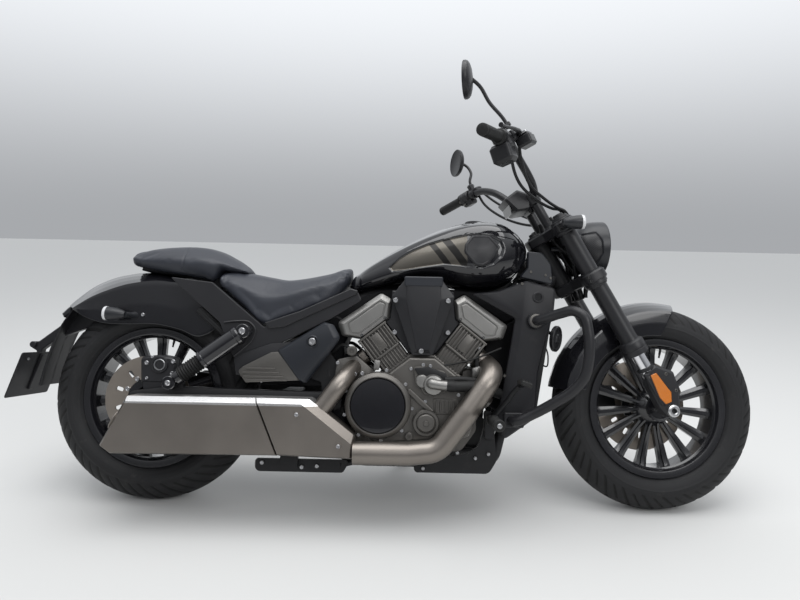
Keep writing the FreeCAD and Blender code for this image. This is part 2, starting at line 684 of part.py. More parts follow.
LAMP = V(mm("wheelbase") - 261, 0, mm("front_radius") + 512)
bowl, reach = mm("lamp_radius"), mm("lamp_depth")
headlamp_bucket = turned("headlamp_bucket", [
    (0, 0), (0, 34), (-24, bowl - 14, 20), (24 - reach, bowl, 10), (-reach, bowl), (-reach, bowl - 8),
    (8 - reach, bowl - 8), (8 - reach, 0)])
signal_body = turned("signal_body", [(0, 0), (0, 12), (-24, 20, 8), (-58, 20), (-58, 17), (-54, 17), (-54, 0)])


def aimed(name, source, place, ahead=True):
    """A lamp turned to look forward, or to the rear, and set in its place."""
    thing = doc.addObject("Part::Compound", name)
    thing.Links = [source]
    thing.Placement = FreeCAD.Placement(V(*place), FreeCAD.Rotation(V(0, 0, 1), 90 if ahead else -90))
    return thing


clamp_side = -mm("leg_side") - 38
clamp_middle = mm("clamp_high") + mm("clamp_depth") / 2
stalk_foot = on_fork(mm("fork_offset"), clamp_side - mm("seat_gap"), clamp_middle)
front_stalk = feature("front_stalk", rod_shape(stalk_foot, (stalk_foot[0], clamp_side - 22, stalk_foot[2]), 7))
front_signal = fused("front_signal", [
    aimed("front_signal_body", signal_body, (stalk_foot[0] - 23, clamp_side - 27,
        stalk_foot[2] - 5)), front_stalk])
lamp_feet = [feature("lamp_foot_%d" % i, rod_shape(
    on_fork(mm("fork_offset") + 8 + mm("seat_gap"), across, 556), on_fork(mm("fork_offset") + 50, across,
        556), 9))
    for i, across in enumerate((-22, 22))]
headlamp = fused("headlamp", [aimed("headlamp_placed", headlamp_bucket, LAMP)] + lamp_feet)
front_lamps = together("front_lamps", [headlamp, front_signal, mirrored("front_signal_left", front_signal)])



def cable_shape(sign):
    """A held cable from the lever's box down to the upper clamp."""
    box_side = -between(grip_start, (0, -290, 0), 0.6)[1] - 28 - mm("seat_gap")
    floor = mm("clamp_high") + mm("clamp_depth") + mm("seat_gap")
    return tube_shape([on_fork(10, sign * box_side, 950), on_fork(10, sign * 252, 950),
                       on_fork(52, sign * 226, 926), on_fork(84, sign * 160, 840), on_fork(96, sign * 104, 740),
                       on_fork(82, sign * 84, 700), on_fork(82, sign * 84, floor)], 4.5, 60)


control_cables = together("control_cables", [feature("brake_hose", cable_shape(-1)), feature("clutch_cable",
    cable_shape(1))])

caliper_reach = mm("front_disc_radius") - 34
caliper_body = block("front_caliper_body", [
    (-caliper_reach - 44, -20, 14), (-caliper_reach - 44, 52, 14), (-caliper_reach + 22, 66, 14),
    (-caliper_reach + 34, -14, 14)], "21")
caliper_body.Placement.Base = V(0, mm("disc_side") + 5, 0)
caliper_bracket = feature("front_caliper_bracket", Part.makeBox(
    108, mm("leg_side") - 20 - mm("seat_gap") - mm("disc_side") - 8, 40, V(-122, mm("disc_side") + 8, 6)))
front_slot = primitive("Cylinder", "front_caliper_slot", ("0", "disc_side + disc_wall", "0"), ACROSS,
                       Radius="front_disc_radius + 4", Height="2 * disc_wall")
front_caliper = cut("front_caliper", fused("front_caliper_whole", [caliper_body, caliper_bracket]), front_slot)

# Frames of the moving groups, from the machine's frame to the ground

ORIGIN = V(0, 0, 0)


def moved(base, turn=UPRIGHT):
    return FreeCAD.Placement(base, turn)


steered = FreeCAD.Placement(V(0, 0, 0), FreeCAD.Rotation(UP_AXIS, mm("steer_rest")), STEER_FOOT)
fork_frame = steered * moved(STEER_FOOT, FreeCAD.Rotation(V(0, 1, 0), -mm("rake_angle")))


def tread_depth(centre, axis, which):
    """How far below the origin a leaning wheel's tread reaches."""
    big = mm(which + "_radius") - mm(which + "_crown")
    return centre.z - big * math.sqrt(1 - axis.z ** 2) - mm(which + "_crown")


lean = FreeCAD.Rotation(V(1, 0, 0), -mm("lean_angle"))
pitch = 0.0
for step in range(3):
    tilt = FreeCAD.Rotation(V(0, 1, 0), math.degrees(pitch)) * lean
    front = tread_depth(tilt.multVec(steered.multVec(FRONT_AXLE)),
                        tilt.multVec(steered.Rotation.multVec(V(0, 1, 0))), "front")
    rear = tread_depth(tilt.multVec(REAR_AXLE), tilt.multVec(V(0, 1, 0)), "rear")
    pitch += (front - rear) / mm("wheelbase")
ground = (front + rear) / 2
leaning = moved(V(0, 0, -ground), tilt)

# Side stand: its foot lies on the ground, so its height comes from the lean
level = leaning.inverse()
foot_x, foot_y = mm("foot_x"), mm("foot_y")
above = leaning.multVec(V(foot_x, foot_y, 0))
up = level.Rotation.multVec(V(0, 0, 1))
foot = V(foot_x, foot_y, 0) - V(0, 0, 1) * (above.z / leaning.Rotation.multVec(V(0, 0, 1)).z)
stand_pivot = V(mm("stand_x"), mm("stand_y"), mm("stand_z"))
stand_leg = (foot + up * 14 - stand_pivot).normalize()
stand_axis = stand_leg.cross(V(-0.985, 0.12, 0.12)).normalize()

# Frame, in the machine's frame

inwards = (V(0, -1, 0) + stand_axis * stand_axis.y).normalize()
stand_plate = Part.makeBox(44, 74, 14, V(-22, -18, 12 + mm("seat_gap")))
stand_plate.Placement = FreeCAD.Placement(stand_pivot, FreeCAD.Rotation(
    inwards.cross(stand_axis), inwards, stand_axis, "XYZ"))
stand_lug = feature("stand_lug", stand_plate)

head_low = mm("clamp_low") + mm("clamp_depth") + mm("head_gap")
head_high = mm("clamp_high") - mm("head_gap")
head_tube = rod_shape(on_fork(0, 0, head_low), on_fork(0, 0, head_high), mm("head_radius"))
head_bore = rod_shape(on_fork(0, 0, head_low - 10), on_fork(0, 0, head_high + 10), mm("head_bore"))
spine = tube_shape([on_fork(-12, 0, 560), (nose - 16, 0, 745), (900, 0, 722), (770, 0, 720), (690, 0, 682),
    (560, 0, 600)],
                   mm("spine_radius"), 90)
rail = mm("rail_radius")
shroud_reach = 130 - mm("seat_gap")
frame_pieces = [head_tube, spine]
for sign in (-1, 1):
    frame_pieces.append(tube_shape([
        on_fork(-10, sign * 14, head_low + 36), (nose + 4, sign * 60, 600), (nose - 46, sign * 82, 300),
        (nose - 84, sign * 92, 150), (980, sign * 95, 150), (640, sign * 95, 150), (585, sign * 102,
            240)], rail, 60))
    frame_pieces.append(tube_shape([
        (566, 0, 602), (500, sign * 60, 560), (370, sign * 109.5, 508), (262, sign * 109.5, 500),
        (150, sign * 109.5, 600)], 11.2, 60))
    frame_pieces.append(tube_shape([(500, sign * 60, 560), (548, sign * 104, 470), (556, sign * 107, 402)],
        12, 40))
    frame_pieces.append(rod_shape((nose + 4, sign * 60, 600), (nose + 4, sign * shroud_reach, 600), 10))
    frame_pieces.append(rod_shape((nose - 42, sign * 82, 286), (nose - 42, sign * shroud_reach, 286), 10))
    frame_pieces.append(rod_shape(on_fork(-32, 0, 560), on_fork(-32, sign * (60 - mm("seat_gap")), 560), 8))
frame_pieces.append(rod_shape((850, 0, 722), (850, 0, 752 - mm("seat_gap")), 16))
front_gusset = block("front_gusset", [(900, 715), (960, 677), (nose - 42, 579), (nose - 14, 600), (nose - 6,
    640), (nose - 18, 742)],
                     "gusset_half")
rear_gusset = block("rear_gusset", [(776, 715), (716, 677), (572, 581), (548, 592), (566, 608), (690, 684)],
                    "gusset_half")
pivot_plate = plate("pivot_plate", [
    (545, 240, 14), (612, 142, 8), (646, 142, 6), (610, 250, 14), (590, 430, 12),
    (552, 486, 12), (506, 470, 10), (500, 396, 12), (534, 386, 8)],
    "111", "arm_near - seat_gap")
pivot_hole = primitive("Cylinder", "pivot_hole", ("pivot_x", "arm_near + 40", "pivot_z"), ACROSS,
                       Radius="16 + seat_gap", Height="2 * arm_near + 80")
lower_plate = plate("lower_plate", [
    (820, 122, 12), (nose - 101, 122, 24), (nose - 78, 160, 20), (nose - 86, 262, 10), (nose - 116, 262,
        10), (nose - 134, 188, 60),
    (820, 150, 10)], "104", "120")
rear_bracket = plate("rear_bracket", [
    (348, 122, 16), (610, 122, 14), (630, 160, 10), (348, 160, 10)], "138", "146")
bracket_arm = feature("bracket_arm", rod_shape((655, -95, 150), (596, -141, 145), 10))
hanger = plate("silencer_hanger", [(424, 130, 10), (476, 130, 10), (476, 222, 12), (424, 222, 12)], "140",
               "silencer_near - seat_gap")
case_floor = [(632, 190), (960, 186)]


def case_foot(x):
    """Level of the crankcase's floor at a place along the machine."""
    (x0, z0), (x1, z1) = case_floor
    return z0 + (z1 - z0) * (x - x0) / (x1 - x0)


engine_mount = plate("engine_mount", [
    (840, 150), (880, 150), (880, case_foot(880) - mm("seat_gap")), (840,
        case_foot(840) - mm("seat_gap"))], "82", "108")
head_with_bore = cut("head_and_tubes", fused("frame_tubes", [
    feature("frame_tube_%d" % i,
        shape) for i, shape in enumerate(frame_pieces)]), feature("head_bore", head_bore))
frame_whole = fused("main_frame_whole", [
    head_with_bore, front_gusset, rear_gusset, pivot_plate, mirrored("pivot_plate_left",
        pivot_plate), lower_plate,
    mirrored("lower_plate_left", lower_plate), rear_bracket, bracket_arm, hanger, engine_mount,
    mirrored("engine_mount_left", engine_mount), stand_lug])
frame_whole.Refine = False
main_frame = cut("main_frame", frame_whole, pivot_hole)
main_frame.Refine = False

# Engine

crankcase_body = block("crankcase_body", [
    case_floor[0] + (30,), (622, 385, 20), on_bank(-1, 110, -75), on_bank(-1, 110, 46), on_bank(1, 110, 46),
    on_bank(1, 110, -75), (1000, 395, 20), (1006, 250, 30), case_floor[1] + (30,)], "case_half")
belt_room = primitive("Box", "belt_room", ("580", "belt_near - seat_gap", "pivot_z - 56"),
                      Length="small_pulley_x - 580 + 54", Width="60", Height="112")
crankcase = cut("crankcase", crankcase_body, belt_room)


def bank(sign, name):
    """One cylinder bank with its ribs; sign is 1 for the front bank and -1 for the rear."""
    foot, top = mm("bank_foot"), mm("bank_top")
    inner, outer = mm("bank_inner"), -mm("bank_outer")
    depth, wall, count = mm("fin_depth"), mm("fin_wall"), int(mm("fin_count"))

    def prism(low, high, left, right, near, far):
        corners = [on_bank(sign, *corner) for corner in ((low, left), (high, left), (high, right), (low, right))]
        wire = Part.makePolygon([V(x, near, z) for x, z in corners + corners[:1]])
        return Part.Face(wire).extrude(V(0, far - near, 0))
    core = prism(foot, top, outer, inner, -mm("bank_half") + depth, mm("bank_half") - depth)
    step = (inner - outer - wall) / (count - 1)
    ribs = [prism(foot + 12, top - 6, outer + i * step, outer + i * step + wall, side * (mm("bank_half") - depth),
                  side * mm("bank_half")) for side in (-1, 1) for i in range(count)]
    ribs += [prism(level, level + wall, outer, inner, side * (mm("bank_half") - depth), side * mm("bank_half"))
             for side in (-1, 1) for level in (foot + 30, top - 16)]
    ribs += [prism(level, level + wall, outer - 9, outer, -mm("bank_half") + 20, mm("bank_half") - 20)
             for level in (foot + 40, foot + 58, foot + 76)]
    return feature(name, core.fuse(ribs).removeSplitter())


cylinder_banks = together("cylinder_banks", [bank(1, "front_bank"), bank(-1, "rear_bank")])


def head_cover(sign, name):
    """Cast cover over one bank, with a raised panel on each side."""
    top = mm("bank_top")
    outline = [(top, -55, 4), (top + 42, -93, 8), (top + 82, -80, 10), (top + 75, 79, 12),
               (top + 42, 93, 8), (top, 53, 4)]
    corners = [on_bank(sign, along, inward) + (radius,) for along, inward, radius in outline]
    face = [(top + 18, -46, 4), (top + 33, -62, 4), (top + 57, -56, 6), (top + 55, 60, 6), (top + 42, 68, 6),
            (top + 18, 40, 4)]
    panel = [on_bank(sign, along, inward) + (radius,) for along, inward, radius in face]
    body = block(name, corners, "head_half")
    recess = sketch(body, name + "_panel", "XZ_Plane", [rounded(panel)], "head_half - 4")
    hollow = body.newObject("PartDesign::Pocket", name + "_recess")
    hollow.Profile = recess
    hollow.Length = 10
    hollow.Reversed = True
    body.Tip = hollow
    return body


head_covers = together("head_covers", [head_cover(1, "front_head_cover"), head_cover(-1, "rear_head_cover")])

crank_x = mm("crank_x")
v_outline = [(-48, 700, 10), (48, 700, 10), (92, 648, 8), (30, 475.7, 10), (-30, 475.7, 10), (-92, 648, 8)]
v_plate = plate("v_plate", [(crank_x + x, z, radius) for x, z, radius in v_outline], "head_half + 4",
                "head_half + 16")
v_centre = plate("v_centre", [(crank_x + x, z, radius) for x, z, radius in [
    (-48, 686, 6), (48, 686, 6), (18, 490, 6), (-18, 490, 6)]], "head_half + 16", "head_half + 26")
v_lip = plate("v_lip", [(crank_x + x, z, radius) for x, z, radius in [
    (-57, 704, 6), (57, 704, 6), (60, 680, 6), (-60, 680, 6)]], "head_half + 16", "head_half + 22")
v_side = fused("v_side", [v_plate, v_centre, v_lip])
v_gap = 0.5
top_x, top_z = on_bank(1, mm("bank_top"), mm("bank_inner") + v_gap)
foot_x0, foot_z = on_bank(1, mm("bank_foot"), 46)
slope_in = math.tan(BANK)
face_x = on_bank(1, mm("bank_foot"), mm("bank_inner"))
box_low = foot_z + mm("seat_gap")
low_x = face_x[0] + (box_low - face_x[1]) * slope_in - v_gap / math.cos(BANK)
right_side = [(94, 668), (94, on_bank(1, mm("bank_top") + 42, 93)[1])]
right_side += [(on_bank(1, mm("bank_top"), 53)[0] - crank_x - v_gap, on_bank(1, mm("bank_top"), 53)[1])]
right_side += [(top_x - crank_x - 2 * v_gap, top_z - 2 * v_gap), (low_x - crank_x, box_low)]
airbox = block("airbox", [(crank_x + x, z) for x, z in right_side] + [(crank_x - x, z) for x,
    z in right_side[::-1]],
               "bank_half - 6")
airbox_lid = block("airbox_lid", [(crank_x + x, z, radius) for x, z, radius in [
    (-76, 682, 8), (76, 682, 8), (76, 644, 8), (24, 500, 4), (-24, 500, 4), (-76, 644, 8)]], "head_half + 4")
v_covers = fused("v_covers", [airbox, airbox_lid, v_side, mirrored("v_side_left", v_side)])

case_outline = [(624, 300, 30), (654, 376, 30), on_bank(-1, 109.6, -66) + (6,), on_bank(-1, 109.6, 34) + (6,),
                on_bank(1, 109.6, 34) + (6,), on_bank(1, 109.6, -66) + (6,), (985, 385, 20),
                (1004, 300, 20), (985, 228, 24), (700, 204, 24), (652, 240, 30)]
right_case = plate("right_case", case_outline, "case_half", "case_half + cover_depth")
left_case = plate("left_case", case_outline, "case_half", "case_half + cover_depth")
face_y = "-(case_half + cover_depth)"


def button(name, x, z, radius, height, start=face_y):
    """A round boss standing out from the right side cover."""
    return primitive("Cylinder", name, (x, start, z), ACROSS, Radius=radius, Height=height)


rib_field = plate("cover_rib_field", [(873, 346, 4), (936, 344, 4), (953, 336, 4), (946, 308, 4), (880, 306, 4)],
                  "case_half + cover_depth", "case_half + cover_depth + 2")
rib_step = 72 / mm("rib_count")
cover_ribs = [plate("cover_rib_%d" % i, [(877 + i * rib_step, 310), (883 + i * rib_step, 310),
    (883 + i * rib_step, 342),
                                         (877 + i * rib_step, 342)],
                    "case_half + cover_depth + 2", "case_half + cover_depth + 6") for i in range(int(mm("rib_count")))]
cover_ridge = plate("cover_ridge", [(799, 371), (869, 314), (864, 306), (794, 363)], "case_half + cover_depth",
                    "case_half + cover_depth + 8")
pump_flange = plate("pump_flange", [(812, 440, 8), (836, 440, 8), (902, 428, 10), (916, 404, 10), (906, 366, 14),
                                    (846, 360, 14), (818, 408, 14)], "case_half + cover_depth",
                    "case_half + cover_depth + 9")
right_cover = fused("right_cover", [
    rib_field, *cover_ribs, cover_ridge, pump_flange,
    button("filter_core", "851", "278", "filter_radius - 12", "34"),
    right_case, button("clutch_ring", "clutch_x", "clutch_z", "clutch_radius", "clutch_depth"),
    button("clutch_window", "clutch_x", "clutch_z", "clutch_glass", "clutch_depth + 6"),
    button("filter_cap", "851", "278", "filter_radius", "30"), button("small_boss", "802", "238", "12", "26"),
    button("pump_body", "871", "389", "31", "36"),
    feature("pump_outlet", rod_shape((871, -188, 389), (948, -188, 387), 12))])
left_cover = fused("left_cover", [
    left_case, button("generator_ring", "crank_x + 10", "340", "104", "22"),
    button("sprocket_cover", "small_pulley_x", "pivot_z", "58", "14")])
engine_side_covers = together("engine_side_covers", [right_cover, mirrored("left_cover_placed", left_cover)])

# Exhaust

side = -mm("pipe_side")
port_out = mm("bank_outer") + 9 + mm("seat_gap")
silencer_front = 642


def port(sign, across, away):
    """A place ahead of a bank's port, or behind it for the rear bank."""
    x, z = on_bank(sign, 184, -port_out - away)
    return (x, across, z)


front_pipe = tube("front_pipe", [
    port(1, -92, 0), port(1, -92, 40), (1046, side + 14, 424), (968, side, 315),
    (884, side, 203), (800, side, 194), (silencer_front + mm("seat_gap"), side, 193)], "pipe_radius", 70)
slope = V(74, 0, 104).normalize()
landing = V(548, -200, 316) + slope * 0.45
rear_pipe = tube("rear_pipe", [
    port(-1, -92, 0), port(-1, -92, 30), tuple(landing + slope * 92), tuple(landing)], "rear_pipe_radius", 60)
cross_front = tube("cross_front", [
    port(1, 96, 0), port(1, 96, 26), (1036, 92, 380), (1036, 40, 330), (1036, -60, 330), (1034, -140, 350),
    (998, -206, 358)], "cross_pipe_radius", 60)
cross_rear = tube("cross_rear", [
    port(-1, 96, 0), port(-1, 96, 26), (612, 50, 440), (612, -40, 440), port(-1, -92, 30)],
    "cross_pipe_radius", 60)
exhaust_pipes = fused("exhaust_pipes", [front_pipe, rear_pipe, cross_front, cross_rear])

silencer_body = new_body("silencer")
profile = sketch(silencer_body, "silencer_outline", "XZ_Plane", [rounded([
    (-78, 203), (-6, 344), (507, 345), (611, 271), (silencer_front, 245), (silencer_front, 178), (440, 184),
    (-45, 180)])], "silencer_near")
shell = pad(silencer_body, profile, "silencer_far - silencer_near")
doc.recompute()
outer = [e for e in range(len(shell.Shape.Edges)) if all(
    abs(p.Point.y + mm("silencer_far")) < 0.01 for p in shell.Shape.Edges[e].Vertexes)]
bevel = silencer_body.newObject("PartDesign::Chamfer", "silencer_bevel_edge")
bevel.Base = (shell, ["Edge%d" % (e + 1) for e in outer])
bevel.setExpression("Size", formula("silencer_bevel"))
silencer = silencer_body

# Tank and seats

tank_rows = [
    # ahead, foot, widest level, top, half widths at foot, widest level and top
    (612, 664, 686, 702, 30, 56, 26),
    (700, 678, 718, 768, 62, 98, 40),
    (820, 706, 752, 838, 84, 132, 52),
    (940, 692, 778, 884, 96, 152, 60),
    (1050, 684, 790, 900, 88, 148, 58),
    (nose - 16, 724, 792, 868, 60, 106, 46),
    (nose + 26, 762, 796, 828, 30, 50, 26),
]
tank_body = loft("tank_body", [shell_section(*row) for row in tank_rows])
tunnel = block("tank_tunnel", [
    (600, 560), (600, 662), (690, 717), (770, 752), (900, 752), (nose - 16, 778), (nose + 54,
        794), (nose + 54, 560)],
    "tunnel_half")
sunk_rows = [row[:4] + tuple(half - mm("panel_depth") for half in row[4:]) for row in tank_rows]
sunk_core = loft("sunk_core", [shell_section(*row) for row in sunk_rows])
panel_outline = [(734, 734, 8), (764, 773, 20), (850, 815, 60), (975, 846, 60), (1050, 842, 26), (1082, 800, 26),
                 (1050, 752, 20), (1018, 741, 20), (899, 749, 60), (778, 731, 30)]
sunk_panel = plate("sunk_panel", panel_outline, "60", "200")
sunk_cut = cut("sunk_cut", sunk_panel, sunk_core)
filler = primitive("Cylinder", "filler_cap", ("1010", "0", "890"), Radius="34", Height="28")
tank_sunk = cut("tank_sunk", tank_body, together("both_sunk_cuts", [sunk_cut, mirrored("sunk_cut_left",
    sunk_cut)]))
fuel_tank = fused("fuel_tank", [cut("tank_over_spine", tank_sunk, tunnel), filler])

rider_rows = [
    (202, 677.6, 698, 716, 88, 104, 50),
    (280, 613.6, 672, 710, 116, 128, 60),
    (358, 549.4, 640, 694, 126, 134, 66),
    (450, 588.9, 660, 694, 128, 136, 66),
    (553, 633.2, 690, 714, 106, 118, 50),
    (606, 700, 724, 742, 62, 78, 34),
]
rider_seat = loft("rider_seat", [shell_section(*row) for row in rider_rows], ruled=True)
pillion_rows = [
    (-98, 752, 760, 768, 30, 42, 20),
    (-50, 730, 754, 784, 60, 84, 36),
    (50, 712.3, 752, 794, 84, 110, 48),
    (150, 698, 752, 794, 88, 114, 50),
    (188, 694, 748, 784, 80, 106, 46),
    (198, 722.5, 746, 780, 78, 104, 46),
    (226, 721.2, 742, 768, 74, 98, 44),
    (283, 717.6, 724, 734, 48, 66, 30),
]
passenger_seat = loft("passenger_seat", [shell_section(*row) for row in pillion_rows], ruled=True)

# Rear fender, panels and covers

FENDER = V(-14, 0, 308)
rear_arch = arch("rear_arch", mm("fender_radius"), mm("fender_half"), 218, 44, 50, 40, 108)
rear_arch.Placement.Base = FENDER
fender_trim = block("fender_trim", [
    (-303, 596), (-303, 800), (40, 800), (72, 692), (216, 562), (176, 500, 20), (120, 540, 60), (8, 556, 60),
    (-80, 560, 60), (-240, 584)], "fender_half + 20")
rear_fender = common("rear_fender", [rear_arch, fender_trim])

seat_panel = plate("seat_panel", [
    (66, 696, 4), (196, 682, 6), (358, 549), (556, 634, 10), (640, 660, 6), (652, 634, 6), (556, 575, 20),
    (382, 486, 12), (282, 442, 10), (262, 470, 10), (224, 560, 20)], "panel_near", "panel_far")
panel_rail = plate("panel_rail", [(240, 576, 4), (352, 565, 4), (366, 558, 4), (556, 626, 6), (556, 610, 6),
    (372, 541, 4),
                                  (350, 548, 4), (262, 556, 4)], "panel_far", "panel_far + 5")
seat_panels = pair("seat_panels", fused("seat_panel_right", [seat_panel, panel_rail]))

side_cover_plate = plate("side_cover_plate", [
    (414, 486, 10), (540, 570, 12), (562, 552, 12), (512, 388, 12), (484, 382, 10)], "panel_far + seat_gap",
    "arm_far + 8")
cover_boss = primitive("Cylinder", "side_cover_boss", ("512", "-arm_near", "440"), ACROSS,
                       Radius="9", Height="30")
side_cover = fused("side_cover", [side_cover_plate, cover_boss])
regulator = plate("regulator", [
    (300, 430, 6), (388, 474, 6), (440, 480), (500, 392), (316, 392, 6)], "panel_far + 5", "arm_far + 5")
regulator_fins = [plate("regulator_fin_%d" % i, [(316 + i * 16, 397), (321 + i * 16, 397), (321 + i * 16,
    430 + i * 4),
                                                (316 + i * 16, 430 + i * 4)], "arm_far + 5", "arm_far + 11")
                  for i in range(7)]
battery_box = block("battery_box", [(345, 412, 8), (345, 494, 8), (518, 494, 8), (518, 412, 8)], "box_half")
side_covers = together("side_covers", [fused("side_cover_right", [side_cover, regulator, *regulator_fins]),
                                       mirrored("side_cover_left", side_cover), battery_box])

# Radiator and its shroud

radiator_core = primitive("Box", "radiator_core", ("wheelbase - nose_back", "seat_gap - 130", "300"),
    FreeCAD.Rotation(V(0, 1, 0), 9),
                          Length="34", Width="260 - 2 * seat_gap", Height="296")
radiator = together("radiator", [radiator_core])
shroud_side = plate("shroud_side", [
    (nose - 161, 662, 8), (nose - 83, 672, 20), (nose + 4, 704, 8), (nose + 92, 684, 14), (nose + 86, 610,
        20), (nose + 58, 503, 10), (nose + 40, 430, 10),
    (nose + 30, 292, 20), (nose - 62, 226, 10), (nose - 80, 300, 10), (nose - 50, 455, 30), (nose - 28, 596,
        14)], "130", "150")
neck_panel = plate("neck_panel", [
    (nose + 36, 712, 6), (nose + 45, 786, 8), (nose + 68, 802, 8), (nose + 94, 764, 6), (nose + 100, 700,
        8)], "60", "74")
radiator_shroud = together("radiator_shroud", [pair("shroud_pair", shroud_side), pair("neck_pair", neck_panel)])

# Swingarm, shocks and rear brake

hub_z = mm("rear_radius")
arm_top = [(90, hub_z + 43), (-36, hub_z + 27)]
arm = plate("swingarm_side", [
    (mm("pivot_x") + 34, mm("pivot_z") - 26, 20), (mm("pivot_x") + 34, mm("pivot_z") + 26, 20),
    arm_top[0] + (20,), arm_top[1] + (20,), (-48, hub_z, 10), (-36, hub_z - 27, 20), (90, hub_z - 27, 20)],
    "arm_near", "arm_far")


def arm_level(x):
    """Level of the swingarm's upper edge behind the shock."""
    (x0, z0), (x1, z1) = arm_top
    return z0 + (z1 - z0) * (x - x0) / (x1 - x0)


pivot_bar = primitive("Cylinder", "pivot_bar", ("pivot_x", "arm_near + 1", "pivot_z"), ACROSS,
                      Radius="16", Height="2 * arm_near + 2")
arm_bridge = primitive("Box", "arm_bridge", ("392", "-arm_near - 1", "rear_radius - 17"),
                       Length="60", Width="2 * arm_near + 2", Height="46")
arm_hole = primitive("Cylinder", "arm_axle_hole", ("0", "arm_far + 20", "rear_radius"), ACROSS,
                     Radius="axle_radius + axle_gap", Height="2 * arm_far + 40")
shock_lug = plate("shock_lug", [
    (62, hub_z + 17), (128, hub_z + 17), (118, hub_z + 69, 14), (74, hub_z + 73, 14)], "arm_near", "arm_far")
swingarm = cut("swingarm", fused("swingarm_whole", [
    arm, mirrored("swingarm_left", arm), shock_lug, mirrored("shock_lug_left",
        shock_lug), pivot_bar, arm_bridge]),
    arm_hole)

shock_top, shock_foot = V(306, -mm("shock_side"), 535), V(94, -mm("shock_side"), hub_z + 56)
along = (shock_foot - shock_top).normalize()


def shock_shape():
    """Shock absorber: body, ribbed boot, rod and the two eyes with their pins."""
    def span(start, end, radius):
        return rod_shape(tuple(shock_top + along * start), tuple(shock_top + along * end), radius)
    body = span(16, 150, mm("shock_radius")).fuse([span(150, 222, 22)] + [
        span(154 + 12 * i, 160 + 12 * i, 25) for i in range(6)])
    eyes = [Part.makeCylinder(20, 34, eye + V(0, 17, 0), V(0, -1, 0)) for eye in (shock_top, shock_foot)]
    pins = [Part.makeCylinder(9, mm("shock_side") - inner, V(eye.x, -inner, eye.z), V(0, -1, 0))
            for eye, inner in ((shock_top, mm("panel_far") + 0.3), (shock_foot, mm("arm_far") + 0.3))]
    return body.fuse(eyes + pins + [span(222, 262, 12)])


rear_shocks = pair("rear_shocks", feature("shock_right", shock_shape()))

caliper_block = plate("rear_caliper_block", [
    (-12, hub_z + 79, 12), (-10, hub_z + 129, 14), (86, hub_z + 125, 14), (88, hub_z + 79, 12)],
                      "rear_disc_side - 16", "arm_near + 14")
caliper_slot = primitive("Cylinder", "caliper_slot", ("0", "-rear_disc_side + disc_wall", "rear_radius"), ACROSS,
                         Radius="rear_disc_radius + 4", Height="2 * disc_wall")
caliper_foot = plate("rear_caliper_foot", [
    (-6, arm_level(-6) + mm("seat_gap")), (54, arm_level(54) + mm("seat_gap")), (54, hub_z + 97), (-6,
        hub_z + 97)], "arm_near + 2", "arm_near + 14")
rear_caliper = cut("rear_caliper", fused("rear_caliper_whole", [caliper_block, caliper_foot]), caliper_slot)

# Belt


def belt_outline(extra):
    """Both straight runs and the two arcs of the belt's path, grown outwards."""
    big, small = mm("pulley_radius") + extra, mm("small_pulley") + extra
    start, end = V(0, mm("rear_radius"), 0), V(mm("small_pulley_x"), mm("pivot_z"), 0)
    line = end - start
    tilt = math.atan2(line.y, line.x)
    lean = math.acos((big - small) / line.Length)

    def at(centre, radius, angle):
        return centre + V(math.cos(angle), math.sin(angle), 0) * radius
    high, low = tilt + lean, tilt - lean
    return [
        Part.LineSegment(at(start, big, high), at(end, small, high)),
        Part.Arc(at(end, small, high), at(end, small, tilt), at(end, small, low)),
        Part.LineSegment(at(end, small, low), at(start, big, low)),
        Part.Arc(at(start, big, low), at(start, big, tilt + math.pi), at(start, big, high)),
    ]


belt = new_body("belt")
loop = sketch(belt, "belt_loop", "XZ_Plane", [belt_outline(0.4 + mm("belt_wall")), belt_outline(0.4)],
              "-belt_near - belt_width")
pad(belt, loop, "belt_width")
small_pulley = primitive("Cylinder", "front_pulley", ("small_pulley_x", "belt_near + belt_width", "pivot_z"),
    ACROSS,
                         Radius="small_pulley", Height="belt_width")
drive_belt = together("drive_belt", [belt, small_pulley])

# Tail: plate holder, lamps

holder = block("plate_arm", [
    (-232, 648.9), (-262, 627.7), (-266, 588, 20), (-400, 484, 4), (-404, 470, 4), (-404, 430, 2),
    (-392, 430, 2), (-384, 466, 4), (-236, 578, 8)], "24")
plate_sheet = feature("plate_sheet", Part.makeBox(4, 220, 148, V(-2, -110, -74)))
plate_sheet.Placement = FreeCAD.Placement(V(-411, 0, 386), FreeCAD.Rotation(V(0, 1, 0), 19))
flap = feature("mud_flap", Part.makeBox(4, 120, 120, V(0, -60, -120)))
flap.Placement = FreeCAD.Placement(V(-294, 0, 548), FreeCAD.Rotation(V(0, 1, 0), 20))
plate_holder = fused("plate_holder", [holder, plate_sheet, flap])

rear_stalk = feature("rear_stalk", rod_shape((-70, -mm("fender_half") - mm("seat_gap"), 578), (-70, -130,
    578), 7))
rear_signal = fused("rear_signal", [aimed("rear_signal_body", signal_body, (-66, -134, 578), ahead=False),
    rear_stalk])
tail_lamp = block("tail_lamp", [(-282, 610), (-300, 593), (-312, 578, 4), (-302, 566, 4), (-278, 584, 4)], "46")
rear_lamps = together("rear_lamps", [rear_signal, mirrored("rear_signal_left", rear_signal), tail_lamp])

# Engine guards, foot controls and side stand

shroud_far = 150 + mm("seat_gap")
guard = tube("guard_right", [
    (nose + 4, -shroud_far, 590), (nose + 4, -176, 590), (nose + 44, -206, 584), (nose + 100, -262,
        604), (nose + 142, -278, 562),
    (nose + 140, -278, 450), (nose + 98, -258, 384), (nose + 26, -222, 336), (nose - 42, -186,
        286), (nose - 42, -shroud_far, 286)],
    "guard_radius", 50)
engine_guards = pair("engine_guards", guard)

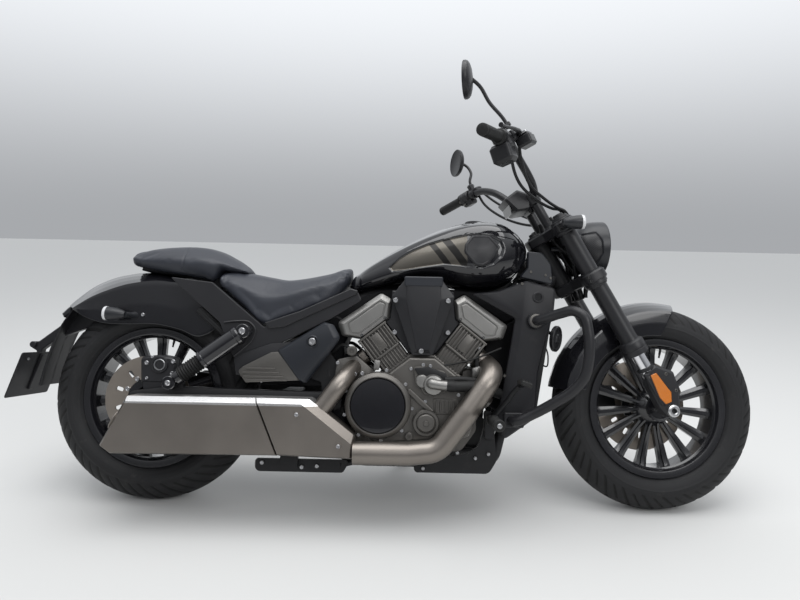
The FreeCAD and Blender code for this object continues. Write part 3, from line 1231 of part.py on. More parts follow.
peg_arm = plate("peg_arm", [(nose - 116, 226, 10), (nose - 88, 226, 8), (nose - 84, 300, 14), (nose - 120,
    318, 12)], "120 + seat_gap",
                "134")
peg_bar = primitive("Cylinder", "peg_bar", ("wheelbase - nose_back - 102", "-134", "292"), ACROSS,
    Radius="10", Height="70")
peg = primitive("Cylinder", "peg", ("wheelbase - nose_back - 102", "-204", "292"), ACROSS,
    Radius="peg_radius", Height="110")
pedal = feature("pedal", tube_shape([(nose - 102, -150, 292), (nose - 76, -170, 330), (nose - 28, -196, 392),
    (nose - 26, -290, 396)], 7, 30))
foot_controls = pair("foot_controls", fused("foot_control", [peg_arm, peg_bar, peg, pedal]))

# Side stand

leg = rod_shape(tuple(stand_pivot), tuple(foot + up * 14), mm("stand_radius"))
knuckle = Part.makeCylinder(20, 24, stand_pivot - stand_axis * 12, stand_axis)
pad_foot = Part.makeCylinder(34, 8, foot, up)
ankle = Part.makeCylinder(16, 22, foot, up)
side_stand = feature("side_stand", leg.fuse([knuckle, pad_foot, ankle]))

NODES = {
    "chassis": [main_frame, crankcase, cylinder_banks, head_covers, v_covers, engine_side_covers, radiator,
                radiator_shroud, exhaust_pipes, silencer, fuel_tank, rider_seat, passenger_seat, rear_fender,
                seat_panels, side_covers, swingarm, rear_shocks, rear_caliper, drive_belt, plate_holder, rear_lamps,
                engine_guards, foot_controls, side_stand],
    "rear_wheel": [rear_tyre, rear_rim, rear_disc, rear_axle],
    "steered": [front_lamps, control_cables],
    "fork": [triple_clamps, fork_tubes, fork_stanchions, fork_lowers, handlebar, bar_controls, mirrors,
        instrument],
    "front_wheel": [front_tyre, front_rim, front_disc, front_axle],
    "front_parts": [front_fender, front_caliper],
}
LABELS = {silencer_body: "silencer"}
FRAMES = {
    "chassis": moved(ORIGIN),
    "rear_wheel": moved(REAR_AXLE),
    "steered": steered,
    "fork": fork_frame,
    "front_wheel": steered * moved(FRONT_AXLE),
    "front_parts": steered * moved(FRONT_AXLE),
}

doc.recompute()
bounds = FreeCAD.BoundBox()
for group, things in NODES.items():
    for thing in things:
        own = thing.Placement
        thing.Placement = leaning * FRAMES[group] * own
doc.recompute()
for things in NODES.values():
    for thing in things:
        bounds.add(thing.Shape.optimalBoundingBox(False, False))
shift = V(-bounds.Center.x, -bounds.Center.y, -bounds.ZMin)
for things in NODES.values():
    for thing in things:
        thing.Placement = moved(shift) * thing.Placement
        thing.Label = LABELS.get(thing, thing.Name)
doc.recompute()

for thing in doc.Objects:
    if "Invalid" in thing.State or "Error" in thing.State:
        raise RuntimeError("%s is in state %s" % (thing.Label, thing.State))
os.makedirs("parts", exist_ok=True)
final = moved(shift) * leaning
for things in NODES.values():
    for thing in things:
        shape = thing.Shape
        if shape.isNull() or not shape.isValid():
            raise RuntimeError("%s has no valid shape" % thing.Label)
        print("%-20s solids %2d  volume %9.0f" % (thing.Label, len(shape.Solids), shape.Volume))
        shape.exportStep("parts/%s.step" % thing.Label)
print("bounds", bounds)
for name, place, direction in (
        ("steering", STEER_FOOT, UP_AXIS), ("front_wheel_spin", steered.multVec(FRONT_AXLE),
                                            steered.Rotation.multVec(V(0, 1, 0))),
        ("rear_wheel_spin", REAR_AXLE, V(0, 1, 0)), ("side_stand", stand_pivot, stand_axis)):
    print(name, final.multVec(place) * 0.001, final.Rotation.multVec(direction))
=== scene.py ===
# %% [markdown]
# # Cruiser motorcycle: looks for a finished set of solids
#
# The solids of this motorcycle are already modelled. This lesson gives them their finishes and swaps the
# plain ones for surfaces worked out with numpy. Units are metres. X runs forward, Y to the machine's left
# and Z up, and the machine leans on its side stand, so most pieces are described upright and then leaned.

import bpy
import bmesh
import json
import math
import numpy as np
from mathutils import Matrix, Vector


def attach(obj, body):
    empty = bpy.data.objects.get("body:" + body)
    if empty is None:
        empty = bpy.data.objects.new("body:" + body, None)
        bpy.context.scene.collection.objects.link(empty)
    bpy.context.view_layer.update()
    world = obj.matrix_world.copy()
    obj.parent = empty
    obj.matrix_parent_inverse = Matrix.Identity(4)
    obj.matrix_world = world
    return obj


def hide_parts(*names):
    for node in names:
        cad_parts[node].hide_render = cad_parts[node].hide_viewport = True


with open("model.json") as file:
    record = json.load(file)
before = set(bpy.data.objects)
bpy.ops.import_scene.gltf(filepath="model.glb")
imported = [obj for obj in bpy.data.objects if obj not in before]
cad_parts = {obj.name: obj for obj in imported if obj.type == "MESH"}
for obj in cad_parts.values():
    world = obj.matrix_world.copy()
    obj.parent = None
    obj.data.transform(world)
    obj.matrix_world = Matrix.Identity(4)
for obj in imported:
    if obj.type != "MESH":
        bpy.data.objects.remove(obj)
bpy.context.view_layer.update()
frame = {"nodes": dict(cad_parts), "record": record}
BODY_OF = {node: body for body, nodes in frame["record"]["behaviour"]["bodies"].items() for node in nodes}
SLOT_OF = {row["node"]: row["material_slot"] for row in frame["record"]["subparts"]}
JOINTS = {row["name"]: row for row in frame["record"]["behaviour"]["joints"]}

# %% [markdown]
# ## Frames
#
# A motorcycle is drawn upright, from its rear axle forward. Here one matrix takes that upright frame to
# the ground, lean included, and a second one adds the small turn of the bars. Both come from the joints
# of the finished solids, so a piece that is drawn upright lands where its solid is.

# %% The upright frame and the steered frame
RAKE = math.radians(30)
WHEELBASE = 1.583
REAR_AXLE_UP = Vector((0, 0, 0.323))
FRONT_AXLE_UP = Vector((WHEELBASE, 0, 0.320))
FORK_OFFSET = 0.056
STEER_UP = Vector((-math.sin(RAKE), 0, math.cos(RAKE)))
STEER_FORE = Vector((math.cos(RAKE), 0, math.sin(RAKE)))
STEER_FOOT = FRONT_AXLE_UP - STEER_FORE * FORK_OFFSET


def turn_that_takes(first, second, first_to, second_to):
    """The rotation matrix that takes one pair of directions to another: both pairs are made
    square by crossing, stacked as columns, and one stack is multiplied by the other's transpose."""
    def stack(a, b):
        a = a.normalized()
        c = a.cross(b).normalized()
        return Matrix((a, c.cross(a), c)).transposed()
    return stack(first_to, second_to) @ stack(first, second).transposed()


across_to = Vector(JOINTS["rear_wheel_spin"]["axis"])
steer_to = Vector(JOINTS["steering"]["axis"])
tilt = turn_that_takes(Vector((0, 1, 0)), STEER_UP, across_to, steer_to)
UPRIGHT = Matrix.Translation(Vector(JOINTS["rear_wheel_spin"]["pos_m"])) @ tilt.to_4x4() \
    @ Matrix.Translation(-REAR_AXLE_UP)
STEERED = UPRIGHT @ Matrix.Translation(STEER_FOOT) @ Matrix.Rotation(math.radians(3), 4, STEER_UP) \
    @ Matrix.Translation(-STEER_FOOT)
FORK = STEERED @ Matrix.Translation(STEER_FOOT) @ Matrix.Rotation(-RAKE, 4, "Y")
REAR_WHEEL = UPRIGHT @ Matrix.Translation(REAR_AXLE_UP)
FRONT_WHEEL = STEERED @ Matrix.Translation(FRONT_AXLE_UP)
print("front axle lands",
      (STEERED @ FRONT_AXLE_UP - Vector(JOINTS["front_wheel_spin"]["pos_m"])).length * 1000,
      "mm from its joint")

# %% [markdown]
# ## Camera
#
# The photograph was taken from chest height beside the engine with a wide lens. Its place, aim and slight
# roll were worked out from both wheels and are written here as numbers. A camera looks along its own -Z.

# %% The camera
FOCAL_PIXELS = 589.67
YAW, PITCH, ROLL = (math.radians(angle) for angle in (-0.18, 8.12, -1.11))
rear_place = Vector(JOINTS["rear_wheel_spin"]["pos_m"])
eye = Vector((rear_place.x + 0.77382, rear_place.y - 1.84043, 0.90772))
ahead = Vector((math.sin(YAW) * math.cos(PITCH), math.cos(YAW) * math.cos(PITCH), -math.sin(PITCH)))
right = Vector((math.cos(YAW), -math.sin(YAW), 0))
down = ahead.cross(right)
rolled_right = right * math.cos(ROLL) + down * math.sin(ROLL)
rolled_down = down * math.cos(ROLL) - right * math.sin(ROLL)
camera_data = bpy.data.cameras.new("camera")
camera_data.sensor_width = 36
camera_data.lens = 36 * FOCAL_PIXELS / 800
camera = bpy.data.objects.new("camera", camera_data)
bpy.context.collection.objects.link(camera)
camera.matrix_world = Matrix.Translation(eye) @ Matrix(
    (rolled_right, -rolled_down, -ahead)).transposed().to_4x4()
bpy.context.scene.camera = camera
print("lens", round(camera_data.lens, 2), "mm at", tuple(round(v, 3) for v in eye))

# %% [markdown]
# ## Shader expressions
#
# Procedural finishes are sums and products of noises and masks. The small class below wraps a node's
# output so that such a formula can be written as plain arithmetic, and each operation adds its node to
# the tree.

# %% A socket that understands arithmetic


class Sock:
    """One output of a shader tree, with arithmetic."""

    def __init__(self, tree, link):
        self.tree, self.link = tree, link

    def node(self, kind, sockets=(), out=0, **settings):
        """Adds a node; settings are its properties and sockets are values or links by name or number."""
        made = self.tree.nodes.new("ShaderNode" + kind)
        for name, value in settings.items():
            setattr(made, name, value)
        for name, value in dict(sockets).items():
            if isinstance(value, Sock):
                self.tree.links.new(value.link, made.inputs[name])
            else:
                made.inputs[name].default_value = value
        return Sock(self.tree, made.outputs[out])

    def math(self, operation, *values):
        """One sum on numbers, this one first."""
        return self.node("Math", dict(enumerate(values)), operation=operation)

    def __add__(self, other):
        return self.math("ADD", self, other)

    def __sub__(self, other):
        return self.math("SUBTRACT", self, other)

    def __mul__(self, other):
        return self.math("MULTIPLY", self, other)

    def __lt__(self, other):
        return self.math("LESS_THAN", self, other)

    def step(self, low, high, from_value=0.0, to_value=1.0):
        """A smooth rise from from_value at low to to_value at high."""
        ends = {"From Min": low, "From Max": high, "To Min": from_value, "To Max": to_value}
        return self.node("MapRange", {"Value": self, **ends}, interpolation_type="SMOOTHSTEP")

    def mix(self, first, second):
        """Blends two colours by this mask."""
        def colour(value):
            return value if isinstance(value, Sock) else (*value, 1)
        sockets = {"Factor": self, 6: colour(first), 7: colour(second)}
        return self.node("Mix", sockets, out=2, data_type="RGBA")

    def mixed(self, mask, other):
        """This colour with another one over it where the mask is 1."""
        return mask.mix(self, other)

    def parts(self):
        """The three numbers of a vector."""
        made = self.node("SeparateXYZ", {0: self})
        return [Sock(self.tree, out) for out in made.link.node.outputs]

    def noise(self, scale, detail=3.0, rough=0.55):
        """Noise from -1 to 1 at this vector; scale is in cycles per metre."""
        return self.node("TexNoise", {"Vector": self, "Scale": scale, "Detail": detail,
                                      "Roughness": rough}) * 2 - 1


MATERIALS = {}


def finish(name, look, **constants):
    """A material: look(place) gives what varies over it, constants are sockets that are even all over."""
    material = bpy.data.materials.new(name)
    material.use_nodes = True
    tree = material.node_tree
    shader = tree.nodes["Principled BSDF"]
    for socket, value in constants.items():
        shader.inputs[socket.replace("_", " ")].default_value = value
    start = Sock(tree, None)
    place = start.node("TexCoord", out=3)
    for socket, value in look(place).items():
        if isinstance(value, Sock):
            tree.links.new(value.link, shader.inputs[socket])
        else:
            shader.inputs[socket].default_value = (*value, 1) if isinstance(value, tuple) else value
    MATERIALS[name] = material


def bump(height, depth):
    """The normal of a surface with this height, whose full range is depth metres."""
    return height.node("Bump", {"Height": height, "Distance": depth, "Strength": 1.0})


# %% [markdown]
# ## Paint, castings and rubber
#
# Most of the machine is black, so the finishes differ in gloss, grain and dust more than in colour.
# Gloss paint has a clear coat over a dark base, castings have a coarse grain and a soft sheen, and
# moulded plastic has a fine even texture.

# %% Finishes


def speckled(base, spread, grain, depth, rough, rough_spread, dust=(0.30, 0.28, 0.25), dusty=0.06):
    """A look made of a base colour that drifts slowly, a fine grain and thin dust. The colour drifts by
    the share spread, grain is in cycles per metre, depth is the grain's height in metres, and dusty is
    the most dust that shows."""
    def look(place):
        slow = place.noise(9, 3)
        fine = place.noise(grain, 2)
        cloud = place.noise(26, 5, 0.7).step(0.1, 0.9) * dusty
        darker, paler = (tuple(part * scale for part in base) for scale in (1 - spread, 1 + spread))
        tone = (slow * 0.5 + 0.5).mix(darker, paler)
        return {"Base Color": cloud.mix(tone, dust),
                "Roughness": slow * rough_spread + rough + cloud * 0.8, "Normal": bump(fine, depth)}
    return look


finish("gloss_black", speckled((0.008, 0.008, 0.010), 0.3, 900, 0.00001, 0.16, 0.03, dusty=0.03),
       Coat_Weight=0.8, Coat_Roughness=0.03, Specular_IOR_Level=0.25)
finish("frame_black", speckled((0.012, 0.012, 0.013), 0.25, 1500, 0.00004, 0.42, 0.06, dusty=0.04),
       Specular_IOR_Level=0.3)
finish("satin_black", speckled((0.017, 0.017, 0.019), 0.2, 1800, 0.00003, 0.36, 0.05, dusty=0.04),
       Specular_IOR_Level=0.35)
finish("shroud_black", speckled((0.012, 0.012, 0.014), 0.2, 1400, 0.00006, 0.42, 0.06, dusty=0.05),
       Specular_IOR_Level=0.3)
finish("engine_grey", speckled((0.120, 0.114, 0.106), 0.18, 1100, 0.00010, 0.40, 0.06), Metallic=0.75)
finish("cover_grey", speckled((0.25, 0.245, 0.235), 0.15, 1200, 0.00008, 0.34, 0.05), Metallic=0.8)
finish("exhaust_bronze", speckled((0.225, 0.203, 0.182), 0.12, 1600, 0.00004, 0.36, 0.06, dusty=0.06),
       Metallic=0.88)
finish("panel_slate", speckled((0.014, 0.016, 0.021), 0.2, 1500, 0.00005, 0.38, 0.05),
       Specular_IOR_Level=0.4)
finish("seat_cover", speckled((0.024, 0.027, 0.036), 0.2, 700, 0.00018, 0.46, 0.05, dusty=0.06))
# black_void is near-black: the inner mouldings, the lamp carrier and the outlet's disc wear it as painted
# shade in gaps and holes.
finish("black_void", speckled((0.006, 0.006, 0.007), 0.3, 600, 0.0001, 0.60, 0.06, dusty=0.03),
       Specular_IOR_Level=0.15)
finish("rim_black", speckled((0.010, 0.010, 0.012), 0.3, 1000, 0.00002, 0.22, 0.05, dusty=0.05),
       Coat_Weight=0.6, Coat_Roughness=0.1)
finish("disc_steel", speckled((0.42, 0.37, 0.32), 0.12, 2000, 0.00002, 0.30, 0.05), Metallic=1.0)
finish("bare_steel", speckled((0.55, 0.55, 0.56), 0.1, 2000, 0.00002, 0.28, 0.05), Metallic=1.0)
finish("chrome", speckled((0.72, 0.72, 0.74), 0.05, 2000, 0.000005, 0.08, 0.02, dusty=0.02), Metallic=1.0)
finish("black_rubber", speckled((0.012, 0.012, 0.012), 0.2, 1600, 0.00006, 0.55, 0.05, dusty=0.05),
       Specular_IOR_Level=0.3)
finish("lamp_glass", speckled((0.05, 0.055, 0.06), 0.2, 60, 0.0002, 0.06, 0.02, dusty=0.02),
       Coat_Weight=1.0, Coat_Roughness=0.02)
finish("lens_pale", speckled((0.62, 0.62, 0.63), 0.08, 260, 0.0004, 0.25, 0.05), Coat_Weight=0.5)
print("even finishes:", len(MATERIALS))

# %% [markdown]
# ## Finishes with a pattern
#
# Four finishes change over their piece. The tank's panel, the tyre's grooves and the lamp's windows are
# sunk into the mesh, which stores on each point how deep it lies, and the finish reads that number. So
# the paint ends just where the metal does. The silencer's pale bevel goes by height instead.

# %% Patterned finishes


def attribute(place, name):
    """A number that was stored on the mesh's points."""
    return place.node("Attribute", out=2, attribute_name=name)


def tank_paint(place):
    """Gloss black, with a satin bronze-grey panel where the side is sunk and two darker slashes over it."""
    sunk = attribute(place, "sunk").step(0.55, 0.85)
    slash = attribute(place, "stripe").step(0.3, 0.7)
    slow, fine = place.noise(7, 3), place.noise(1500, 2)
    panel = slash.mix((0.105, 0.096, 0.082), (0.020, 0.019, 0.018))
    return {"Base Color": sunk.mix((0.0075, 0.0075, 0.0095), panel), "Metallic": sunk * 0.8,
            "Roughness": sunk * (slow * 0.04 + 0.17) + slow * 0.02 + 0.15,
            "Coat Weight": sunk * -0.75 + 1.0, "Normal": bump(fine, 0.00001)}


def rubber_look_painted_groove_shade(place):
    """Black rubber, dusty on the tread's blocks, with painted shade: its grooves are painted near-black."""
    look = speckled((0.013, 0.013, 0.014), 0.25, 800, 0.00012, 0.62, 0.07, dusty=0.14)(place)
    # Painted shade: the grooves' mask paints them near-black.
    groove = attribute(place, "groove").step(0.1, 0.7)
    look["Base Color"] = look["Base Color"].mixed(groove, (0.004, 0.004, 0.004))
    return look


def lamp_look(place):
    """Dark housing whose sunk windows are covered by a woven mesh: two sets of slanted lines, with painted
    shade in the holes between them, which are painted near-black.
    """
    look = speckled((0.018, 0.019, 0.022), 0.2, 1500, 0.00003, 0.34, 0.05, dusty=0.04)(place)
    x, y, z = place.parts()
    wires = []
    for a, b in ((0.8, 0.6), (0.8, -0.6)):
        line = x * (260 * a) + z * (260 * b)
        off = line.math("FRACT", line) - 0.5
        wires.append(off * off < 0.035)
    wire = wires[0].math("MAXIMUM", *wires)
    # Painted shade: where the window is sunk, the holes between the wires are painted near-black.
    window = attribute(place, "sunk").step(0.6, 0.9)
    look["Base Color"] = look["Base Color"].mixed(window,
                                                  wire.mix((0.002, 0.002, 0.002), (0.035, 0.035, 0.038)))
    return look


UP_ROW = np.array(UPRIGHT.inverted())[2]


def can_look_painted_highlight(place):
    """Bronze satin metal with a painted highlight: above a set height, the wide bevel along the can's upper
    edge is painted pale and a little smoother, standing for the sky it reflects. Height is measured square
    to the leaning machine."""
    look = speckled((0.225, 0.203, 0.182), 0.12, 1600, 0.00004, 0.36, 0.06, dusty=0.06)(place)
    x, y, z = place.parts()
    height = x * float(UP_ROW[0]) + y * float(UP_ROW[1]) + z * float(UP_ROW[2]) + float(UP_ROW[3])
    # Painted highlight: above this height the can is painted pale and smoother, for the sky reflected in
    # its upper bevel.
    painted_highlight = height.step(0.3235, 0.3265)
    look["Base Color"] = look["Base Color"].mixed(painted_highlight, (0.80, 0.79, 0.78))
    look["Roughness"] = look["Roughness"] + painted_highlight * -0.14
    return look


finish("can_bronze", can_look_painted_highlight, Metallic=0.88)
finish("tank_black", tank_paint, Coat_Roughness=0.03, Specular_IOR_Level=0.2)
finish("tyre_rubber", rubber_look_painted_groove_shade, Specular_IOR_Level=0.3)
finish("lamp_dark", lamp_look, Specular_IOR_Level=0.4)

for node, slot in SLOT_OF.items():
    solid = frame["nodes"][node]
    solid.data.materials.clear()
    solid.data.materials.append(MATERIALS[slot])
print("finishes:", len(MATERIALS))

# %% [markdown]
# ## Surfaces from arrays
#
# Every new piece below is a grid of points worked out at once with numpy, in millimetres and in the
# frame it is easiest to draw in. These helpers number the faces of a grid, join grids to one mesh and
# take it to the machine's frame.

# %% Grids, meshes and smooth rows


def grid_faces(rows, cols, wrap_rows=False, wrap_cols=False):
    """Quads between neighbours of a grid that is numbered row by row; a wrapped side closes on itself."""
    r, c = np.meshgrid(np.arange(rows - (not wrap_rows)), np.arange(cols - (not wrap_cols)), indexing="ij")
    up, on = (r + 1) % rows, (c + 1) % cols
    return np.stack([r * cols + c, up * cols + c, up * cols + on, r * cols + on],
                    -1).reshape(-1, 4).tolist()


MM = 0.001


def piece(name, parts, look, body, frame_matrix=None, sharp=35, values=None):
    """Joins parts, each an array of points with its faces, turns them to the machine's frame, points the
    faces outwards and lets the mesh ride on a body. values has one number per point for each attribute."""
    base, points, faces = 0, [], []
    for some, its_faces in parts:
        some = np.asarray(some, float).reshape(-1, 3)
        points.append(some)
        faces.extend([[base + i for i in face] for face in its_faces])
        base += len(some)
    matrix = np.array(UPRIGHT if frame_matrix is None else frame_matrix)
    placed = np.concatenate(points) * MM @ matrix[:3, :3].T + matrix[:3, 3]
    mesh = bpy.data.meshes.new(name)
    mesh.from_pydata(placed.tolist(), [], faces)
    for key, numbers in (values or {}).items():
        stored = mesh.attributes.new(key, "FLOAT", "POINT")
        stored.data.foreach_set("value", np.asarray(numbers, float).ravel())
    work = bmesh.new()
    work.from_mesh(mesh)
    bmesh.ops.recalc_face_normals(work, faces=work.faces)
    work.to_mesh(mesh)
    work.free()
    mesh.polygons.foreach_set("use_smooth", [True] * len(mesh.polygons))
    mesh.set_sharp_from_angle(angle=math.radians(sharp))
    thing = bpy.data.objects.new(name, mesh)
    bpy.context.collection.objects.link(thing)
    mesh.materials.append(MATERIALS[look])
    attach(thing, body)
    print("%-18s %6d faces" % (name, len(mesh.polygons)))
    return thing


def smooth_rows(table, at):
    """Rows of numbers between the table's rows, by a cubic through them; the first column is the place."""
    table, at = np.asarray(table, float), np.asarray(at, float)
    x, y = table[:, 0], table[:, 1:]
    slope = np.gradient(y, x, axis=0)
    i = np.clip(np.searchsorted(x, at, "right") - 1, 0, len(x) - 2)
    width = (x[i + 1] - x[i])[:, None]
    t = ((at - x[i]) / (x[i + 1] - x[i]))[:, None]
    return (2 * t ** 3 - 3 * t ** 2 + 1) * y[i] + (t ** 3 - 2 * t ** 2 + t) * width * slope[i] \
        + (3 * t ** 2 - 2 * t ** 3) * y[i + 1] + (t ** 3 - t ** 2) * width * slope[i + 1]


def smooth_line(points, count):
    """A smooth line through points, at even steps of its number."""
    points = np.asarray(points, float)
    run = np.r_[0, np.cumsum(np.linalg.norm(np.diff(points, axis=0), axis=1))]
    return smooth_rows(np.c_[run, points], np.linspace(0, run[-1], count))


def rise(low, high, value):
    """A smooth step from 0 at low to 1 at high."""
    t = np.clip((value - low) / (high - low), 0, 1)
    return t * t * (3 - 2 * t)


def inside_by(outline, across, up):
    """Distance of points to a closed outline, positive inside it: the nearest of its edges, with the sign
    from how often a level line from the point crosses it."""
    a = np.asarray(outline, float)
    b = np.roll(a, -1, axis=0)
    p = np.stack([across.ravel(), up.ravel()], -1)[:, None]
    edge = b - a
    t = np.clip(((p - a) * edge).sum(-1) / (edge ** 2).sum(-1), 0, 1)
    near = np.linalg.norm(p - a - t[..., None] * edge, axis=-1).min(1)
    crosses = ((a[:, 1] > p[..., 1]) != (b[:, 1] > p[..., 1])) & (
        p[..., 0] < edge[:, 0] * (p[..., 1] - a[:, 1]) / (edge[:, 1] + 1e-12) + a[:, 0])
    return np.where(crosses.sum(1) % 2, near, -near).reshape(across.shape)


# %% [markdown]
# ## Fuel tank
#
# The tank is pressed from two sheets: a drop shape with a crease along each shoulder and a sunk panel
# on each side. Its surface is a stack of rounded sections, each with its own foot, widest level, top
# and half width. The shoulder crease is a small hat added outwards, and the sunk panel is pushed in
# where a point lies inside the panel's outline. The slot over the frame's backbone is left open below.

# %% The tank's surface
TANK_ROWS = [
    # ahead, foot, widest level, top, half width
    (604, 683, 686, 690, 6), (611, 668, 684, 706, 36), (640, 667, 694, 733, 66),
    (700, 679, 716, 775, 96), (760, 695, 734, 812, 118), (820, 706, 752, 844, 134),
    (880, 702, 766, 871, 145), (940, 690, 776, 892, 152), (1000, 680, 784, 904, 153),
    (1050, 682, 790, 906, 148)]


def front_rows(ahead):
    """The same four measures for the round front end, as curves that all close at its foremost point."""
    t = np.clip((ahead - 1040) / 136, 0, 1)
    return np.stack([np.minimum(801 - 121 * (1 - t ** 1.9) ** 0.6, 798), 790 + 12 * t,
                     np.maximum(801 + 106 * (1 - t ** 2) ** 0.62, 806),
                     np.maximum(149.5 * (1 - t ** 2.35) ** 0.5, 6)], -1)


FRONT_STEPS = np.array([1070, 1090, 1108, 1124])
TANK_ROWS += [(ahead, *row) for ahead, row in zip(FRONT_STEPS, front_rows(FRONT_STEPS))]
TANK_PANEL = [(732, 741), (763, 771), (802, 795), (850, 815), (898, 829), (975, 846), (1042, 844),
              (1072, 828), (1082, 803), (1075, 778), (1052, 753), (1018, 741), (966, 743), (899, 749),
              (827, 739), (778, 731), (742, 728)]
SQUARE_LOW, SQUARE_TOP = 2.5, 2.35
PANEL_DEPTH = 6.5
TANK_ALONG, TANK_ROUND = 300, 256


def tank_rows(ahead):
    """Foot, widest level, top and half width at a place along the tank."""
    share = rise(1056, 1100, ahead)[:, None]
    return smooth_rows(TANK_ROWS, ahead) * (1 - share) + front_rows(ahead) * share


def tank_side(x, z):
    """Half width of the tank at a place on its side: a rounded box through the row's half width."""
    foot, wide, top, half = tank_rows(x.ravel()).T.reshape((4,) + x.shape)
    power = np.where(z > wide, SQUARE_TOP, SQUARE_LOW)
    share = np.abs(z - wide) / np.where(z > wide, top - wide, wide - foot)
    return half * np.clip(1 - np.clip(share, 0, 1) ** power, 0, 1) ** (1 / power)


def tank_surface(count_x, count_round):
    """Points of the tank: rows along it, columns round each section from the middle of its foot."""
    along = 890 - 286 * np.cos(np.linspace(0, np.pi, count_x))
    foot, wide, top, half = [column[:, None] for column in tank_rows(along).T]
    angle = np.linspace(0, 2 * np.pi, count_round, endpoint=False)[None]
    out, up = np.sin(angle), -np.cos(angle)
    power = 2 / np.where(up > 0, SQUARE_TOP, SQUARE_LOW)
    y = half * np.sign(out) * np.abs(out) ** power
    z = wide + np.where(up > 0, top - wide, wide - foot) * np.sign(up) * np.abs(up) ** power
    x = np.broadcast_to(along[:, None], y.shape).copy()
    crease = np.clip(1 - np.abs(np.abs(np.pi - angle) - 0.80) / 0.34, 0, 1)
    crease = crease * rise(604, 700, x) * rise(1120, 1010, x)
    y = y + 5.0 * crease * out
    z = z + 5.0 * crease * up
    inside = inside_by(TANK_PANEL, x, z)
    side = rise(0.35, 0.5, np.abs(y) / half)
    sunk = rise(-2.0, 5.0, inside) * side
    y = y - np.sign(y) * PANEL_DEPTH * sunk
    slot = np.interp(x, [600, 690, 770, 900, 1130, 1180], [664, 719, 754, 754, 780, 796])
    in_slot = rise(40, 30, np.abs(y)) * (up < 0) * rise(1172, 1140, x)
    z = z + in_slot * (np.maximum(z, np.minimum(slot, wide + 6)) - z)
    stripe = sum(rise(1.5, -1.5, np.abs(x - (864 + shift) - (813 - z) * 0.76) - width)
                 for shift, width in ((0, 11), (52, 14)))
    bronze = sunk * rise(984, 962, x)
    return np.stack([x, y, z], -1), bronze, stripe * bronze


points, sunk, stripe = tank_surface(TANK_ALONG, TANK_ROUND)
caps = [list(range(TANK_ROUND))[::-1], list(range((TANK_ALONG - 1) * TANK_ROUND, TANK_ALONG * TANK_ROUND))]
faces = grid_faces(TANK_ALONG, TANK_ROUND, wrap_cols=True) + caps
tank = piece("tank_shell", [(points, faces)], "tank_black", "chassis", sharp=50,
             values={"sunk": sunk, "stripe": stripe})
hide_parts("fuel_tank")

# %% [markdown]
# ## Bare badge plate
#
# A many-sided plate with a raised rim sits in the front of each sunk panel. It is left blank. The plate is
# a set of rings round its middle: each ring is the outline drawn in by a share, and its height over the
# panel follows from that share, so the rim is a bead and the middle a flat field. It could be a flat plate
# laid on the tank, but rings that take their depth from the tank's own surface follow its curve.

# %% Badge plates
BADGE = [(962, 812), (984, 843), (1038, 844), (1070, 806), (1038, 757), (1016, 745), (994, 749), (960, 788)]


def rounded_loop(corners, radius, count):
    """A closed outline with rounded corners: the polygon at even steps, then averaged over a length."""
    loop = np.asarray(corners, float)
    loop = np.vstack([loop, loop[:1]])
    run = np.r_[0, np.cumsum(np.linalg.norm(np.diff(loop, axis=0), axis=1))]
    even = np.linspace(0, run[-1], count, endpoint=False)
    xy = np.stack([np.interp(even, run, loop[:, k]) for k in range(loop.shape[1])], -1)
    span = max(1, int(round(radius * count / run[-1])))
    return sum(np.roll(xy, shift, axis=0) for shift in range(-span, span + 1)) / (2 * span + 1)


def badge_points(side):
    """Rings from the middle outwards: share of the outline, and height over the sunk panel."""
    outline = rounded_loop(BADGE, 5, 96)
    middle = outline.mean(0)
    share = np.array([0.02, 0.4, 0.8, 0.83, 0.86, 0.88, 0.93, 0.97, 1.0, 1.0])
    height = np.array([3.0, 3.0, 3.0, 3.2, 4.9, 5.3, 5.3, 4.6, 3.2, -1.5])
    xz = middle + (outline - middle)[None] * share[:, None, None]
    y = side * (tank_side(xz[..., 0], xz[..., 1]) - PANEL_DEPTH + height[:, None])
    return np.stack([xz[..., 0], y, xz[..., 1]], -1)


piece("badge_plates", [(badge_points(side), grid_faces(10, 96, wrap_cols=True) + [list(range(96))])
                       for side in (-1, 1)], "satin_black", "chassis", sharp=25)

# %% [markdown]
# ## Filler cap
#
# The cap is a turned disc with a knurled edge. A profile of radius and height is carried round the
# axis, and the edge's radius gets a small ripple.

# %% Filler cap


def turned(profile, count, ripple=0.0, teeth=0, rows=()):
    """A profile of radius and height carried round its axis; rows of it may ripple like a knurled edge."""
    radius, height = np.asarray(profile, float).T
    angle = np.linspace(0, 2 * np.pi, count, endpoint=False)
    wave = np.zeros((len(radius), 1))
    wave[list(rows)] = ripple
    r = radius[:, None] * (1 + wave * np.cos(teeth * angle)[None])
    points = np.stack([r * np.cos(angle), r * np.sin(angle), height[:, None] + 0 * r], -1)
    faces = grid_faces(len(radius), count, wrap_cols=True)
    return points, faces + [list(range(count)), list(range((len(radius) - 1) * count, len(radius) * count))]


def facing(place, direction, ahead=(1, 0, 0)):
    """The matrix that puts a turned piece's axis along a direction at a place, in millimetres."""
    up = Vector(direction).normalized()
    across = up.cross(Vector(ahead)).normalized()
    return Matrix.Translation(Vector(place)) @ Matrix((across.cross(up), across, up)).transposed().to_4x4()


def put(matrix, points):
    """Points taken through a matrix."""
    m = np.array(matrix)
    points = np.asarray(points, float)
    return points @ m[:3, :3].T + m[:3, 3]


def turned_at(place, direction, profile, count, ahead=(1, 0, 0), **knurl):
    """A turned piece that stands at a place, its axis along a direction."""
    points, faces = turned(profile, count, **knurl)
    return put(facing(place, direction, ahead), points), faces


